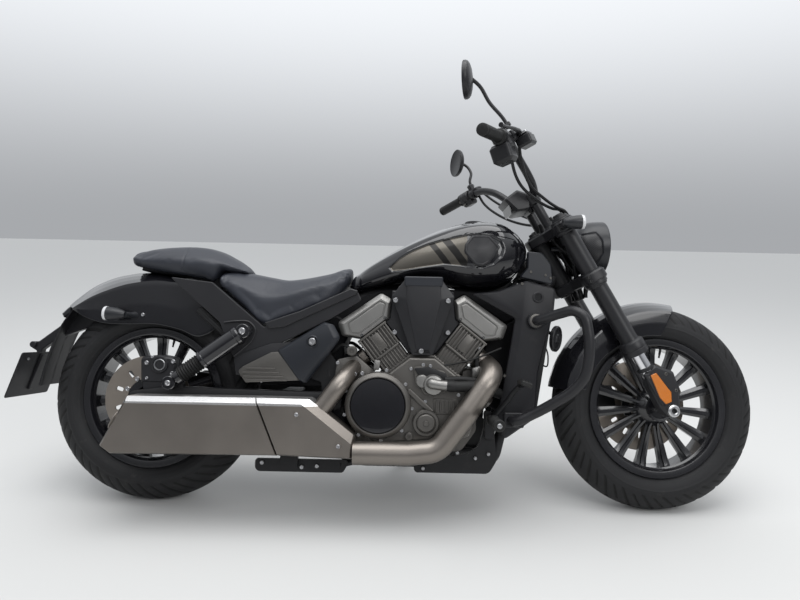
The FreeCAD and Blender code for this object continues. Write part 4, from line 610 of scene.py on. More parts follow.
lid = turned_at((1010, 0, 902), (0.04, 0, 1), [(1, 8), (22, 8), (24, 7), (25, 7.4), (31, 6.6), (33, 5),
                                               (33, 2), (37, 0.5), (38, -10)], 96, ripple=0.012, teeth=32,
                rows=(5, 6))
piece("filler_lid", [lid], "satin_black", "chassis")

# %% [markdown]
# ## Rear fender
#
# A pressed sheet with a flat crown, a crease along each side and a slanted front edge. Each crosswise
# section runs from the lower edge up the side, over the crease and across the crown, and the sections
# move from the front edge to the tail along three measured lines: lower edge, crease and crown. The
# sheet gets its thickness from Solidify.

# %% Rear fender sheet
FENDER_LOWER = [(216, 561), (182, 528), (150, 516), (90, 536), (8, 552), (-80, 550), (-160, 554),
                (-212, 572), (-246, 592)]
FENDER_CREASE = [(79, 683), (66, 683), (10, 687), (-40, 682), (-90, 672), (-140, 655), (-194, 631),
                 (-228, 610), (-248, 597)]
FENDER_CROWN = [(72, 698), (60, 707), (22, 717), (-28, 721), (-75, 720), (-118, 714), (-159, 704),
                (-230, 670), (-270, 638), (-303, 609)]


def fender_surface(lower, crease, crown, half, shoulder, count, edge=98.0):
    """Rows from front to tail; columns over the section, right lower edge to left lower edge."""
    low, mid, top = (smooth_line(line, count) for line in (lower, crease, crown))
    flat = mid + (top - mid) * 0.62
    ring = [(low, edge), (low + (mid - low) * 0.5, half + 1.5), (mid - (mid - low) * 0.06, half),
            (mid, half - 1), (mid + (flat - mid) * 0.5, (half + shoulder) / 2 + 1), (flat, shoulder),
            (flat + (top - flat) * 0.7, shoulder * 0.5), (top, 0)]
    sizes = (10, 10, 3, 3, 10, 6, 12)
    columns = []
    for (start, y0), (end, y1), steps in zip(ring, ring[1:], sizes):
        share = np.arange(steps) / steps
        xz = start[:, None] + (end - start)[:, None] * share[None, :, None]
        y = np.broadcast_to(y0 + (y1 - y0) * share, xz.shape[:2])
        columns.append(np.stack([xz[..., 0], -y, xz[..., 1]], -1))
    right = np.concatenate(columns, 1)
    ridge = np.stack([top[:, 0], 0 * top[:, 0], top[:, 1]], -1)[:, None]
    return np.concatenate([right, ridge, (right * (1, -1, 1))[:, ::-1]], 1)


def walled(thing, wall=0.003, bevel=0.0012):
    """Gives a sheet its thickness, inwards, and a rounded edge."""
    solid = thing.modifiers.new("wall", "SOLIDIFY")
    solid.thickness = wall
    solid.offset = -1
    edge = thing.modifiers.new("edge", "BEVEL")
    edge.width, edge.segments, edge.limit_method = bevel, 2, "ANGLE"
    edge.angle_limit = math.radians(50)


sheet_points = fender_surface(FENDER_LOWER, FENDER_CREASE, FENDER_CROWN, 98, 50, 120)
rear_sheet = piece("rear_fender_sheet", [(sheet_points, grid_faces(*sheet_points.shape[:2]))],
                   "gloss_black", "chassis", sharp=13)
walled(rear_sheet)
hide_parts("rear_fender")

# %% [markdown]
# ## Tyres
#
# A tyre is one cross section carried round the wheel: bead, sidewall, shoulder and crown. The tread is
# cut into it by lowering the points that lie in a groove, and a groove is a slanted line on the
# unrolled tread, repeated round the wheel. A raised line runs round each sidewall.

# %% Tyre surfaces


def tyre_points(outer, crown, half, rim_half, grooves, count, slant):
    """Rows across the section from bead to bead, columns round the wheel; grooves sink up to 4 mm."""
    lip, seat = 218.6, 208.0
    shoulder = outer - crown + math.sqrt(crown ** 2 - half ** 2)
    turn = np.arcsin(half / crown)
    arc = np.linspace(-turn, turn, 61)
    tread = np.stack([crown * np.sin(arc), outer - crown + crown * np.cos(arc)], -1)
    belly = (shoulder + lip) / 2 + 8
    side = smooth_line([(rim_half, lip), (rim_half + 8, lip + 8), (half + 4, belly - 6),
                        (half + 3.5, belly + 10),
                        (half, shoulder)], 26)[:-1]
    height = side[:, 1]
    side[:, 0] += (1.2 * np.exp(-((height - belly) / 2.2) ** 2)
                   + 0.8 * np.exp(-((height - lip - 9) / 1.6) ** 2))
    section = np.vstack([[(-rim_half, seat)], side * (-1, 1), tread, side[::-1], [(rim_half, seat)]])
    angle = np.linspace(0, 2 * np.pi, count, endpoint=False)
    across, radius = section[:, :1], section[:, 1:]
    bow = np.arctan2(across, radius - (outer - crown)) / turn
    lane = np.abs(bow)
    on_tread = rise(1.06, 0.98, lane)
    number = angle[None] / (2 * np.pi) * grooves
    cut = 0
    for shift, low, high, width in ((0.0, 0.16, 1.05, 0.075), (0.5, 0.42, 0.98, 0.06)):
        phase = (number + shift + slant * lane ** 1.4 + np.where(bow > 0, 0.5, 0.0)) % 1 - 0.5
        cut = np.maximum(cut, rise(width * 1.5, width * 0.6, np.abs(phase)) * rise(low, low + 0.05, lane)
                         * rise(high, high - 0.07, lane))
    cut = np.maximum(cut, rise(0.045, 0.02, lane)) * on_tread
    r = radius - 4.2 * cut
    return np.stack([r * np.cos(angle), across + 0 * r, r * np.sin(angle)], -1), cut


for name, sizes, matrix in (("front_tyre", (320, 63, 61, 47.6, 26, 720, 0.9), FRONT_WHEEL),
                            ("rear_tyre", (323, 73, 71, 55.6, 24, 720, 0.9), REAR_WHEEL)):
    points, cut = tyre_points(*sizes)
    rubber = piece(name + "_tread", [(points, grid_faces(points.shape[0], points.shape[1], True, True))],
                   "tyre_rubber", BODY_OF[name], matrix, values={"groove": cut})
    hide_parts(name)

# %% [markdown]
# ## Front fender
#
# The front fender is the same kind of sheet, but its three lines are arcs about the axle. The front edge
# slants, so the lower line starts further round than the crown.

# %% Front fender sheet


def arc_line(radius, start, end, count=24, radius_end=None):
    """Points of an arc about the axle between two angles from straight ahead; its radius may change."""
    angle = np.radians(np.linspace(start, end, count))
    radius = np.linspace(radius, radius_end or radius, count)
    return np.stack([radius * np.cos(angle), radius * np.sin(angle)], -1)


sheet_points = fender_surface(arc_line(226, 90, 167, radius_end=246), arc_line(305, 82.5, 170),
                              arc_line(337, 78.6, 170), 82, 44, 110, edge=81)
front_sheet = piece("front_fender_sheet", [(sheet_points, grid_faces(*sheet_points.shape[:2]))],
                    "gloss_black", "steering", FRONT_WHEEL, sharp=28)
walled(front_sheet)
LUG = [(3, 0), (15, 0), (16, 1), (16, 22), (9, 23), (9, 26)]
lugs = [turned_at((np.sin(-RAKE) * 256, side * 80, np.cos(RAKE) * 256), (0, side, 0), LUG, 40)
        for side in (-1, 1)]
piece("front_fender_lugs", lugs, "satin_black", "steering", FRONT_WHEEL)
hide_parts("front_fender")

# %% [markdown]
# ## Padded seats
#
# Both seats are foam under a stretched cover. Each starts a little small as a stack of soft sections,
# is remeshed to even cells and then blown up a few millimetres by Blender's cloth, with its foot held,
# so the cover pulls in between its corners. The sewn seams are pressed in afterwards, because they are
# narrower than the cells.

# %% A seat's surface and its cloth
RIDER_ROWS = [
    # ahead, foot, widest level, top, half widths at foot, widest level and top
    (198, 690, 700, 710, 60, 74, 34), (204, 679, 699, 717, 86, 100, 46),
    (226, 660, 692, 719, 98, 112, 52), (280, 615, 673, 711, 114, 124, 60),
    (358, 552, 643, 696, 122, 130, 70), (404, 571, 648, 689, 123, 131, 72),
    (450, 590, 661, 694, 122, 130, 70), (510, 616, 680, 707, 112, 122, 60),
    (553, 635, 692, 719, 102, 112, 52), (585, 668, 712, 735, 80, 92, 42),
    (602, 700, 726, 744, 56, 68, 30), (607, 715, 730, 740, 34, 42, 18)]
PILLION_ROWS = [
    (-100, 760, 764, 768, 8, 16, 8), (-94, 751, 762, 773, 28, 42, 20), (-50, 731, 755, 785, 58, 80, 40),
    (0, 721, 753, 793, 72, 94, 46), (50, 713, 752, 797, 82, 104, 50), (110, 705, 752, 799, 86, 108, 50),
    (150, 699, 751, 795, 86, 108, 50), (186, 696, 747, 786, 80, 102, 46), (200, 723, 745, 781, 76, 99, 46),
    (226, 722, 740, 768, 72, 93, 44), (262, 719, 730, 748, 58, 76, 36), (284, 718, 723, 730, 40, 54, 24),
    (288, 719, 722, 725, 20, 26, 12)]


def pad_surface(table, count_x, count_round, soft):
    """Rows of soft sections: foot, side, shoulder and crown as straight runs, averaged all round."""
    first, last = table[0][0], table[-1][0]
    along = (first + last) / 2 - (last - first) / 2 * np.cos(np.linspace(0, np.pi, count_x))
    low, wide, top, half_low, half_wide, half_top = [c[:, None] for c in smooth_rows(table, along).T]
    crown = top + 0.14 * half_top
    right = [(0 * low, low), (-half_low, low), (-half_wide, wide), (-half_top, top), (0 * low, crown)]
    left = [(-y, z) for y, z in right[::-1]]
    corners = right[:-1] + left[:-1]
    steps = count_round // len(corners)
    share = (np.arange(steps) / steps)[None]
    sides = list(zip(corners, corners[1:] + corners[:1]))
    y, z = (np.concatenate([a[k] + (b[k] - a[k]) * share for a, b in sides], 1) for k in (0, 1))
    for turn in range(soft):
        y = (np.roll(y, 1, 1) + y + np.roll(y, -1, 1)) / 3
        z = (np.roll(z, 1, 1) + z + np.roll(z, -1, 1)) / 3
    return np.stack([np.broadcast_to(along[:, None], y.shape), y, z], -1)


def mesh_points(thing):
    """All points of a mesh as rows."""
    flat = np.empty(len(thing.data.vertices) * 3)
    thing.data.vertices.foreach_get("co", flat)
    return flat.reshape(-1, 3)


def settled(thing):
    """Puts what the modifiers make into the mesh and takes the modifiers away."""
    bpy.context.view_layer.update()
    shown = bpy.data.meshes.new_from_object(thing.evaluated_get(bpy.context.evaluated_depsgraph_get()))
    thing.modifiers.clear()
    old, thing.data = thing.data, shown
    bpy.data.meshes.remove(old)


def swollen(thing, foot_share, cap, steps=20, cell=0.006):
    """Even cells, then air pressure under the cover for a few steps; no point moves beyond cap metres."""
    even = thing.modifiers.new("even", "REMESH")
    even.mode, even.voxel_size = "VOXEL", cell
    settled(thing)
    start = mesh_points(thing)
    held = thing.vertex_groups.new(name="foot")
    local = start @ np.array(UPRIGHT.to_3x3())
    depth = local[:, 2] - np.interp(local[:, 0], *foot_line(local))
    held.add(np.nonzero(depth < foot_share)[0].tolist(), 1.0, "REPLACE")
    air = thing.modifiers.new("air", "CLOTH")
    air.settings.use_pressure, air.settings.uniform_pressure_force = True, 4.0
    air.settings.quality = 5
    air.settings.effector_weights.gravity = 0
    air.settings.vertex_group_mass = "foot"
    air.settings.mass = 0.3
    air.settings.tension_stiffness = air.settings.compression_stiffness = 12
    for step in range(1, steps + 1):
        bpy.context.scene.frame_set(step)
    settled(thing)
    bpy.context.scene.frame_set(1)
    moved = mesh_points(thing) - start
    length = np.linalg.norm(moved, axis=1, keepdims=True)
    print(thing.name, "swells by", round(float(length.max()) * 1000, 1), "mm before the cap")
    kept = start + moved * np.minimum(1, cap / np.maximum(length, 1e-9))
    thing.data.vertices.foreach_set("co", kept.ravel())
    finer = thing.modifiers.new("finer", "SUBSURF")
    finer.levels = finer.render_levels = 1
    settled(thing)
    thing.data.polygons.foreach_set("use_smooth", [True] * len(thing.data.polygons))


def foot_line(local):
    """The lowest level of the points over steps along the seat."""
    steps = np.linspace(local[:, 0].min(), local[:, 0].max(), 40)
    near = np.abs(local[:, :1] - steps[None]) < 0.012
    return steps, np.where(near, local[:, 2:3], 9).min(0)


def upright_points(thing):
    """A mesh's points in the upright frame, in millimetres."""
    inverse = np.array(UPRIGHT.inverted())
    return (mesh_points(thing) @ inverse[:3, :3].T + inverse[:3, 3]) * 1000


def set_upright(thing, points):
    """Puts points of the upright frame, in millimetres, back into a mesh."""
    thing.data.vertices.foreach_set("co", put(UPRIGHT, points / 1000).ravel())
    thing.data.update()


PAD_ALONG, PAD_ROUND = 90, 128
caps = [list(range(PAD_ROUND)), list(range((PAD_ALONG - 1) * PAD_ROUND, PAD_ALONG * PAD_ROUND))]
seats = {}
for name, table, node in (("rider_pad", RIDER_ROWS, "rider_seat"),
                          ("pillion_pad", PILLION_ROWS, "passenger_seat")):
    points = pad_surface(table, PAD_ALONG, PAD_ROUND, 10)
    pad = piece(name, [(points, grid_faces(PAD_ALONG, PAD_ROUND, wrap_cols=True) + caps)], "seat_cover",
                "chassis")
    swollen(pad, 0.012, 0.007)
    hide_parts(node)
    seats[name] = pad

# %% [markdown]
# ### Sewn seam
#
# A seam runs over the pillion seat from side to side. A sewn seam is a narrow valley, so each point
# near its line is lowered by a bell curve of its distance. It fades out down the sides, where the cover
# is stretched.

# %% The pillion's sewn seam
SEAM_AT = 91
points = upright_points(seats["pillion_pad"])
off = np.abs(points[:, 0] - SEAM_AT - 0.06 * (points[:, 2] - 760))
upper = rise(708, 722, points[:, 2])
depth = 2.6 * np.exp(-(off / 2.2) ** 2) * upper
outwards = np.sign(points[:, 1]) * np.clip(np.abs(points[:, 1]) / 104, 0, 1)
points -= depth[:, None] * np.stack([0 * off, outwards, rise(740, 790, points[:, 2])], -1)
set_upright(seats["pillion_pad"], points)
print("seam pressed into", int((off < 3).sum()), "points")

# %% [markdown]
# ## Cast wheels
#
# Each wheel is one black casting: a rim with stepped edges, fifteen blade spokes and a hub. A spoke's
# cross section is a wide thin web with a ridge on each face, and it is carried outwards while it
# widens, then turned to its place by one rotation for each spoke.

# %% Skins and wheels


def skin(loops):
    """A stack of closed loops with the same count, joined by quads; one face closes each end."""
    loops = np.asarray(loops, float)
    count, around = loops.shape[:2]
    faces = grid_faces(count, around, wrap_cols=True)
    faces += [list(range(around)), list(range((count - 1) * around, count * around))]
    return loops.reshape(-1, 3), faces


def copies(part, matrices):
    """The same part at several places, as one part."""
    points, faces = np.asarray(part[0], float).reshape(-1, 3), part[1]
    return (np.concatenate([put(matrix, points) for matrix in matrices]),
            [[i + k * len(points) for i in face] for k in range(len(matrices)) for face in faces])


def spoke(half_width):
    """Loops from the hub to the rim: half width and ridge grow, the web stays thin."""
    radius = np.array([46, 60, 90, 130, 165, 184, 192])
    web = np.interp(radius, [46, 184], [9, 16.5])
    ridge = np.interp(radius, [46, 184], [3.5, 6.5])
    deep = np.interp(radius, [46, 70, 165, 192], [half_width * 0.55, 17, 15, 21])
    thin = np.interp(radius, [46, 165, 192], [11, 7, 12])
    corner = [(1, 0, 0.55), (1, 0, 1), (0.25, 0.75, 1.2), (0, 1, 1.3), (0, 0.8, 2)]
    right = [(web * a + ridge * b, thin * c if c < 1.5 else deep) for a, b, c in corner]
    around = [(x * a, y * b) for a, b, rows in ((1, 1, right), (-1, 1, right[::-1]), (-1, -1, right),
                                                (1, -1, right[::-1])) for x, y in rows]
    return np.stack([np.stack([x, y, radius], -1) for x, y in around], 1)


def rim_profile(half):
    """Half widths and radii of the rim's skin, from one edge over the tyre side, back below the spokes."""
    edge = half + 5
    return [(-edge, 196), (-edge - 1, 200), (-edge - 1, 216), (-edge + 1, 218), (-half, 218),
            (-half, 207), (half, 207), (half, 218), (edge - 1, 218), (edge + 1, 216), (edge + 1, 200),
            (edge, 196), (edge - 3, 194), (half - 4, 193), (half - 8, 190), (half - 12, 186),
            (12 - half, 186), (8 - half, 190), (4 - half, 193), (3 - edge, 194)]


def hub_profile(half):
    """The hub's skin from the axle's hole out to its flanges and back."""
    return [(-half, 12), (-half, 30), (-half + 3, 33), (-half + 16, 35), (-half + 22, 44), (-24, 56),
            (-20, 59), (20, 59), (24, 56), (half - 22, 44), (half - 16, 35), (half - 3, 33), (half, 30),
            (half, 12)]


def round_y(profile, count):
    """A closed profile of places along Y and radii, carried round the Y axis."""
    across, radius = np.asarray(profile, float).T[:, :, None]
    angle = np.linspace(0, 2 * np.pi, count, endpoint=False)[None]
    points = np.stack([radius * np.cos(angle), across + 0 * angle, radius * np.sin(angle)], -1)
    return points.reshape(-1, 3), grid_faces(len(across), count, True, True)


SPOKES = 15
angle = np.linspace(0, 5.5, 12)
valve = skin([np.c_[np.cos(angle) * r, np.sin(angle) * r, 0 * angle + z]
              for r, z in ((4, 188), (4, 172), (3, 170), (3, 160))])
turns = [Matrix.Rotation(2 * math.pi * i / SPOKES, 4, "Y") for i in range(SPOKES)]
for name, half, hub_half, matrix in (("front_rim", 48, 62, FRONT_WHEEL), ("rear_rim", 56, 76, REAR_WHEEL)):
    parts = [round_y(rim_profile(half), 180), round_y(hub_profile(hub_half), 72),
             copies(skin(spoke(hub_half)), turns), copies(valve, [Matrix.Rotation(0.2, 4, "Y")])]
    if name == "rear_rim":
        pulley = [(74, 30), (106, 30), (106, 58), (110, 60), (110, 93), (107, 96), (89, 96), (86, 93),
                  (86, 60), (74, 44)]
        carrier = [(-74, 30), (-98, 40), (-98.5, 61), (-93, 61.5), (-74, 50)]
    else:
        pulley = [(60, 30), (78, 34), (80.5, 40), (80.5, 61), (75.5, 61.5), (60, 44)]
        carrier = [(-60, 30), (-66, 32), (-67, 40), (-60, 42)]
    parts += [round_y(pulley, 96), round_y(carrier, 96)]
    casting = piece(name + "_casting", parts, "rim_black", BODY_OF[name], matrix, sharp=30)
    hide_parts(name)

# %% [markdown]
# ## Moulded plates
#
# Covers, panels and the silencer are plates whose edges are bevelled or stepped. Each is a stack of
# loops: the same outline at several depths, drawn in a little more towards the face.

# %% Plates from outlines


def outline(corners, inset=0.0, steps=5):
    """A closed outline from corners with their radii. Each edge is first moved inwards, by one inset or by
    its own, and crossed with the moved edge before it. Each crossing is then rounded by a parabola."""
    corners = np.asarray([tuple(c) + (3.0,) * (3 - len(c)) for c in corners], float)
    xy, radius = corners[:, :2], corners[:, 2]
    inset = np.broadcast_to(np.asarray(inset, float), len(xy))
    edge = np.roll(xy, -1, 0) - xy
    edge /= np.linalg.norm(edge, axis=1, keepdims=True)
    turn = np.sign(np.sum(xy[:, 0] * np.roll(xy[:, 1], -1) - np.roll(xy[:, 0], -1) * xy[:, 1]))
    start = xy + turn * np.stack([-edge[:, 1], edge[:, 0]], -1) * inset[:, None]
    last, back = np.roll(start, 1, 0), np.roll(edge, 1, 0)
    cross = back[:, 0] * edge[:, 1] - back[:, 1] * edge[:, 0]
    gap = start - last
    corner = last + back * ((gap[:, 0] * edge[:, 1] - gap[:, 1] * edge[:, 0]) / cross)[:, None]
    radius = np.maximum(radius - np.sign(cross) * turn * (inset + np.roll(inset, 1)) / 2, 0.5)
    reach = radius * np.tan(np.arctan2(np.abs(cross), (back * edge).sum(1)) / 2)
    length = np.linalg.norm(np.roll(corner, -1, 0) - corner, axis=1)
    reach = np.minimum(reach, 0.48 * np.minimum(length, np.roll(length, 1)))[:, None]
    t = np.linspace(0, 1, steps)[None, :, None]
    first, end = (corner - back * reach)[:, None], (corner + edge * reach)[:, None]
    return ((1 - t) ** 2 * first + 2 * t * (1 - t) * corner[:, None] + t ** 2 * end).reshape(-1, 2)


def plate(corners, levels, side=-1, steps=5):
    """A plate on one side: levels are distance from the middle and how far it is drawn in."""
    return skin([np.insert(outline(corners, by, steps), 1, side * far, axis=1) for far, by in levels])


def slab(corners, near, far, edge=2.0, side=-1, steps=5):
    """A plate with both edges bevelled."""
    return plate(corners, [(near, edge), (near + edge, 0), (far - edge, 0),
                           (far - edge * 0.3, edge * 0.3), (far, edge)], side, steps)


def mirrored(part):
    """The same part on the machine's other side."""
    return part[0] * (1, -1, 1), part[1]


def both(part):
    """A part and its mirror image across the machine's middle."""
    return [part, mirrored(part)]


# %% [markdown]
# ## Silencer
#
# The silencer is a flat-sided can in two shells that meet at a slanted seam. Its upper edge has a wide
# bevel that catches the sky. Both shells are plates with a three-step bevel, a hair apart at the seam.

# %% Silencer shells
CAN = [(-78, 203, 6), (-6, 344, 8), (361, 346, 1), (430, 184, 1), (-45, 180, 10)]
SHIELD = [(363.5, 346, 1), (516, 345, 16), (646, 246, 12), (642, 178, 6), (432.5, 184, 1)]


def shell_levels(bevel):
    """Inner edge, wall, bevel and face, the bevel with its own width along each edge."""
    bevel = np.asarray(bevel, float)
    return [(158, 5), (161, 0), (223, 0), (226, 0.05 * bevel), (240.5, 0.93 * bevel), (243, bevel + 1.2)]


can_parts = [plate(CAN, shell_levels([9, 13, 0.6, 5, 7])),
             plate(SHIELD, shell_levels([13, 22, 6, 6, 0.6]), -1, 9),
             slab([(-66, 204), (0, 334), (500, 334), (622, 236), (622, 188), (-40, 188)], 162, 222)]
can = piece("silencer_shells", can_parts, "can_bronze", "chassis", sharp=18)
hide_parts("silencer")

# %% [markdown]
# ## Headlamp and turn signals
#
# The lamp housing is turned about its own axis, with a sunk grille of small holes on each flank. The grille
# is pushed in like the tank's panel, and its holes are left to the finish, which paints them near-black as
# painted shade. The turn signals are small barrels with a pale lens at the open end.

# %% Headlamp and signals
LAMP_AT = (1322, 0, 832)


def lamp_housing(count_x, count_round):
    """The housing's skin, rows from back to front, with a sunk window on each flank."""
    profile = smooth_line([(0, 4), (0.5, 30), (8, 52), (26, 72), (52, 83), (80, 87), (101, 88)], count_x)
    rim = np.array([(104, 87), (105, 84), (104, 81), (98, 80), (92, 79)])
    profile = np.vstack([profile, rim])
    angle = np.linspace(0, 2 * np.pi, count_round, endpoint=False)[None]
    x, r = profile[:, :1], profile[:, 1:]
    height = np.sin(angle) * r
    window = np.array([(18, 34), (62, 40), (78, 12), (82, -30), (66, -62), (40, -58), (20, -20)])
    inside = inside_by(window, np.broadcast_to(x, height.shape), height)
    flank = rise(0.25, 0.4, np.abs(np.cos(angle)))
    sunk = rise(-1, 2.5, inside) * flank
    r = r - 4.0 * sunk
    return np.stack([x + 0 * angle, -np.cos(angle) * r, np.sin(angle) * r], -1), sunk


points, sunk = lamp_housing(90, 200)
housing = points + LAMP_AT, grid_faces(*points.shape[:2], wrap_cols=True) + [list(range(points.shape[1]))]
angle = np.linspace(0, 2 * np.pi, 20, endpoint=False)
pegs = [skin([np.c_[0 * angle + x, side * 22 + 8 * np.cos(angle), 822 + 8 * np.sin(angle)]
              for x in (1254, 1330)])
        for side in (-1, 1)]
not_sunk = np.zeros(sum(len(peg[0]) for peg in pegs))
piece("lamp_housing", [housing] + pegs, "lamp_dark", "steering", STEERED, sharp=45,
      values={"sunk": np.r_[sunk.ravel(), not_sunk]})
LENS = [(1, 12), (30, 11), (55, 8), (74, 2), (80, -3)]
lens = turned_at((LAMP_AT[0] + 92, 0, LAMP_AT[2]), (1, 0, 0), LENS, 96, (0, 0, 1))
lamp_lens = piece("lamp_lens", [lens], "lamp_glass", "steering", STEERED)
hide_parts("front_lamps")
SIGNAL = [(3, 0), (9, 0.5), (13, 6), (18, 22), (20.5, 40), (21, 54), (19.5, 56), (19, 50), (2, 48)]
RING = [(19.8, 53), (21.6, 53.5), (22, 58), (20.5, 62), (14, 65), (2, 66.5)]


def signal(place, ahead, tilt=0.0):
    """Barrel and lens of one turn signal, facing forwards or to the rear."""
    return [turned_at(place, (1 if ahead else -1, 0, tilt), profile, 40, (0, 0, 1))
            for profile in (SIGNAL, RING)]


FRONT_SIGNAL, REAR_SIGNAL = (1240, 190, 872), (-66, 134, 578)
for name, place, ahead, body, matrix in (("front", FRONT_SIGNAL, True, "steering", STEERED),
                                         ("rear", REAR_SIGNAL, False, "chassis", UPRIGHT)):
    sides = [signal((place[0], side * place[1], place[2]), ahead, 0.05) for side in (-1, 1)]
    piece(name + "_signal_barrels", [barrel for barrel, ring in sides], "lamp_dark", body, matrix)
    piece(name + "_signal_lenses", [ring for barrel, ring in sides], "lens_pale", body, matrix)

# %% [markdown]
# ## Socket-head bolts
#
# Dozens of the same bolt hold the covers. One low bolt is turned from its profile, its socket has six
# sides, and it is copied to every place by a matrix that also sets its size.

# %% Bolts


def bolt_part():
    """A round head with a chamfer and a six-sided socket, 10 mm across, standing on its seat."""
    profile = [(5.0, -2.5), (5.0, 3.4), (4.3, 4.2), (2.9, 4.2), (2.6, 1.6)]
    points, faces = turned(profile, 12, 0.09, 6, (3, 4))
    return points, faces[:-2] + [faces[-1]]


def bolts(name, places, look, body, frame_matrix=None):
    """Bolts at rows of x, y, z, head size and direction, which points away from the middle if left out."""
    rows = [tuple(row) + ((0, math.copysign(1, row[1]), 0),) * (5 - len(row)) for row in places]
    part = copies(bolt_part(), [facing(row[:3], row[4]) @ Matrix.Scale(row[3] / 10, 4) for row in rows])
    return piece(name, [part], look, body, frame_matrix, sharp=40)


# %% [markdown]
# ## Cover between the cylinder banks
#
# A moulded cover stands on each side between the banks. Its middle is a long flat facet, and the sides
# slope back from it to a thin flange. That form is a stack of six-cornered loops whose corners
# correspond, so the slopes come out flat. A lighter lip is clipped over its top. The cover is left
# bare.

# %% V covers
CRANK_X, CRANK_Z, BANK = 838, 368, math.radians(38)
BANK_TOP = 233  # along a bank, where its block ends and its head cover starts


def on_bank(sign, along, inward):
    """X and Z of a place on a cylinder bank: 1 is the front bank and -1 the rear."""
    return (CRANK_X + sign * (along * math.sin(BANK) - inward * math.cos(BANK)),
            CRANK_Z + along * math.cos(BANK) + inward * math.sin(BANK))


def about(table, x=CRANK_X):
    """Corners given from a line across the machine."""
    return [(x + row[0],) + tuple(row[1:]) for row in table]


V_RIM = about([(-54, 702, 7), (54, 702, 7), (94, 650, 7), (31, 474, 9), (-31, 474, 9), (-94, 650, 7)])
V_FACE = about([(-50, 694, 4), (50, 694, 4), (53, 640, 30), (19, 490, 5), (-19, 490, 5), (-53, 640, 30)])
V_LIP = about([(-58, 708, 6), (58, 708, 6), (57, 690, 4), (56, 679, 4), (-56, 679, 4), (-57, 690, 4)])


def stacked(levels, side=-1, steps=5):
    """A skin over outlines at several distances from the middle: distance, corners and inset."""
    return skin([np.insert(outline(corners, by, steps), 1, side * far, axis=1)
                 for far, corners, by in levels])


v_levels = [(150, V_RIM, 4), (153, V_RIM, 0), (160, V_RIM, 0), (161.5, V_RIM, 1.5), (163, V_RIM, 6),
            (171, V_FACE, 0), (172.5, V_FACE, 1), (173, V_FACE, 4)]
inner = about([(-76, 682, 8), (76, 682, 8), (76, 640, 8), (24, 500, 4), (-24, 500, 4), (-76, 640, 8)])
airbox = stacked([(-151, inner, 6), (-146, inner, 0), (146, inner, 0), (151, inner, 6)], 1)
along_head = [on_bank(1, *place)
              for place in ((BANK_TOP + 42, 93), (BANK_TOP, 53), (BANK_TOP, 35), (112, 35))]
right_edge = [(94, 668, 4)] + [(x - CRANK_X - 0.6, z, 2) for x, z in along_head]
throat = slab(about(right_edge + [(-row[0],) + row[1:] for row in right_edge[::-1]]), -133, 133, 4, 1)
v_cover = piece("v_cover_shells", both(stacked(v_levels)) + [airbox, throat], "satin_black", "chassis",
                sharp=16)
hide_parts("v_covers")
v_lip = stacked([(158, V_LIP, 2), (160, V_LIP, 0), (173, V_LIP, 0), (175.5, V_LIP, 3)])
piece("v_cover_lips", both(v_lip), "panel_slate", "chassis", sharp=25)
bolts("v_cover_bolts", [(x, side * out, z, 15) for side in (-1, 1) for x, z, out in (
    (755, 636, 166), (912, 637, 166), (834, 486, 171))], "bare_steel", "chassis")

# %% [markdown]
# ## Head covers
#
# The cast cover over each bank has broad bevels and, on both sides, a panel framed by a milled groove.
# Its skin runs across the machine from side to side. At each end it steps in over the bevel, down into
# the groove and up again to the panel.

# %% Head covers
HEAD = [(BANK_TOP, -55, 5), (BANK_TOP + 43, -94, 10), (BANK_TOP + 83, -80, 12), (BANK_TOP + 75, 80, 14),
        (BANK_TOP + 41, 94, 10), (BANK_TOP, 53, 5)]
PANEL = [(BANK_TOP + 17, -46, 4), (BANK_TOP + 33, -64, 5), (BANK_TOP + 58, -56, 7),
         (BANK_TOP + 55, 60, 7), (BANK_TOP + 41, 68, 5), (BANK_TOP + 17, 40, 4)]
BEVEL = np.array([7, 15, 13, 15, 7, 4.0])


def head_levels(half, sign):
    """From the middle of the cover to one end, in the bank's own frame turned to the machine's."""
    def placed(corners):
        return [on_bank(sign, row[0], row[1]) + (row[2],) for row in corners]
    head, panel = placed(HEAD), placed(PANEL)
    return [(half - 15, head, 0 * BEVEL), (half - 12, head, BEVEL * 0.12), (half - 2, head, BEVEL * 0.9),
            (half, head, BEVEL + 2), (half, panel, -3.5), (half - 1, panel, -3.0),
            (half - 4, panel, -2.4), (half - 4, panel, 0.8), (half - 1.2, panel, 1.4),
            (half - 0.6, panel, 2.6)]


def head_cover(sign):
    """The closed skin of one bank's cover: one end's loops backwards, then the other end's."""
    ends = head_levels(148, sign)
    return stacked([(-far, corners, by) for far, corners, by in ends[::-1]] + ends, 1)


heads = piece("head_cover_castings", [head_cover(1), head_cover(-1)], "cover_grey", "chassis", sharp=20)
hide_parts("head_covers")
head_bolts = [(x, side * 146, z, 9) for sign in (-1, 1) for side in (-1, 1)
              for x, z in (on_bank(sign, BANK_TOP + 7, inward) for inward in (-44, 43))]
bolts("head_cover_bolts", head_bolts, "lamp_dark", "chassis")

# %% [markdown]
# ## Engine side covers
#
# The right cover is a bevelled casting over the clutch. It carries a deep ring round a dark window, the
# oil filter's cap, a ribbed field, a ridge, the water pump and a row of bolts along its edge. The left
# one covers the generator and the small belt pulley. Flat parts are plates and slabs, and round parts
# are turned.

# %% Side cover castings
CASE = [(624, 300, 34), (652, 378, 30), on_bank(-1, 110, -66) + (8,), on_bank(-1, 110, 34) + (10,),
        on_bank(1, 110, 34) + (10,), on_bank(1, 110, -66) + (8,), (985, 385, 24), (1004, 300, 24),
        (985, 228, 28), (700, 204, 28), (652, 240, 34)]
FACE_Y = 170
# the middles of the round housings
CLUTCH, FILTER, GENERATOR, PULLEY_COVER = (710, 327), (851, 278), (848, 340), (588, 352)


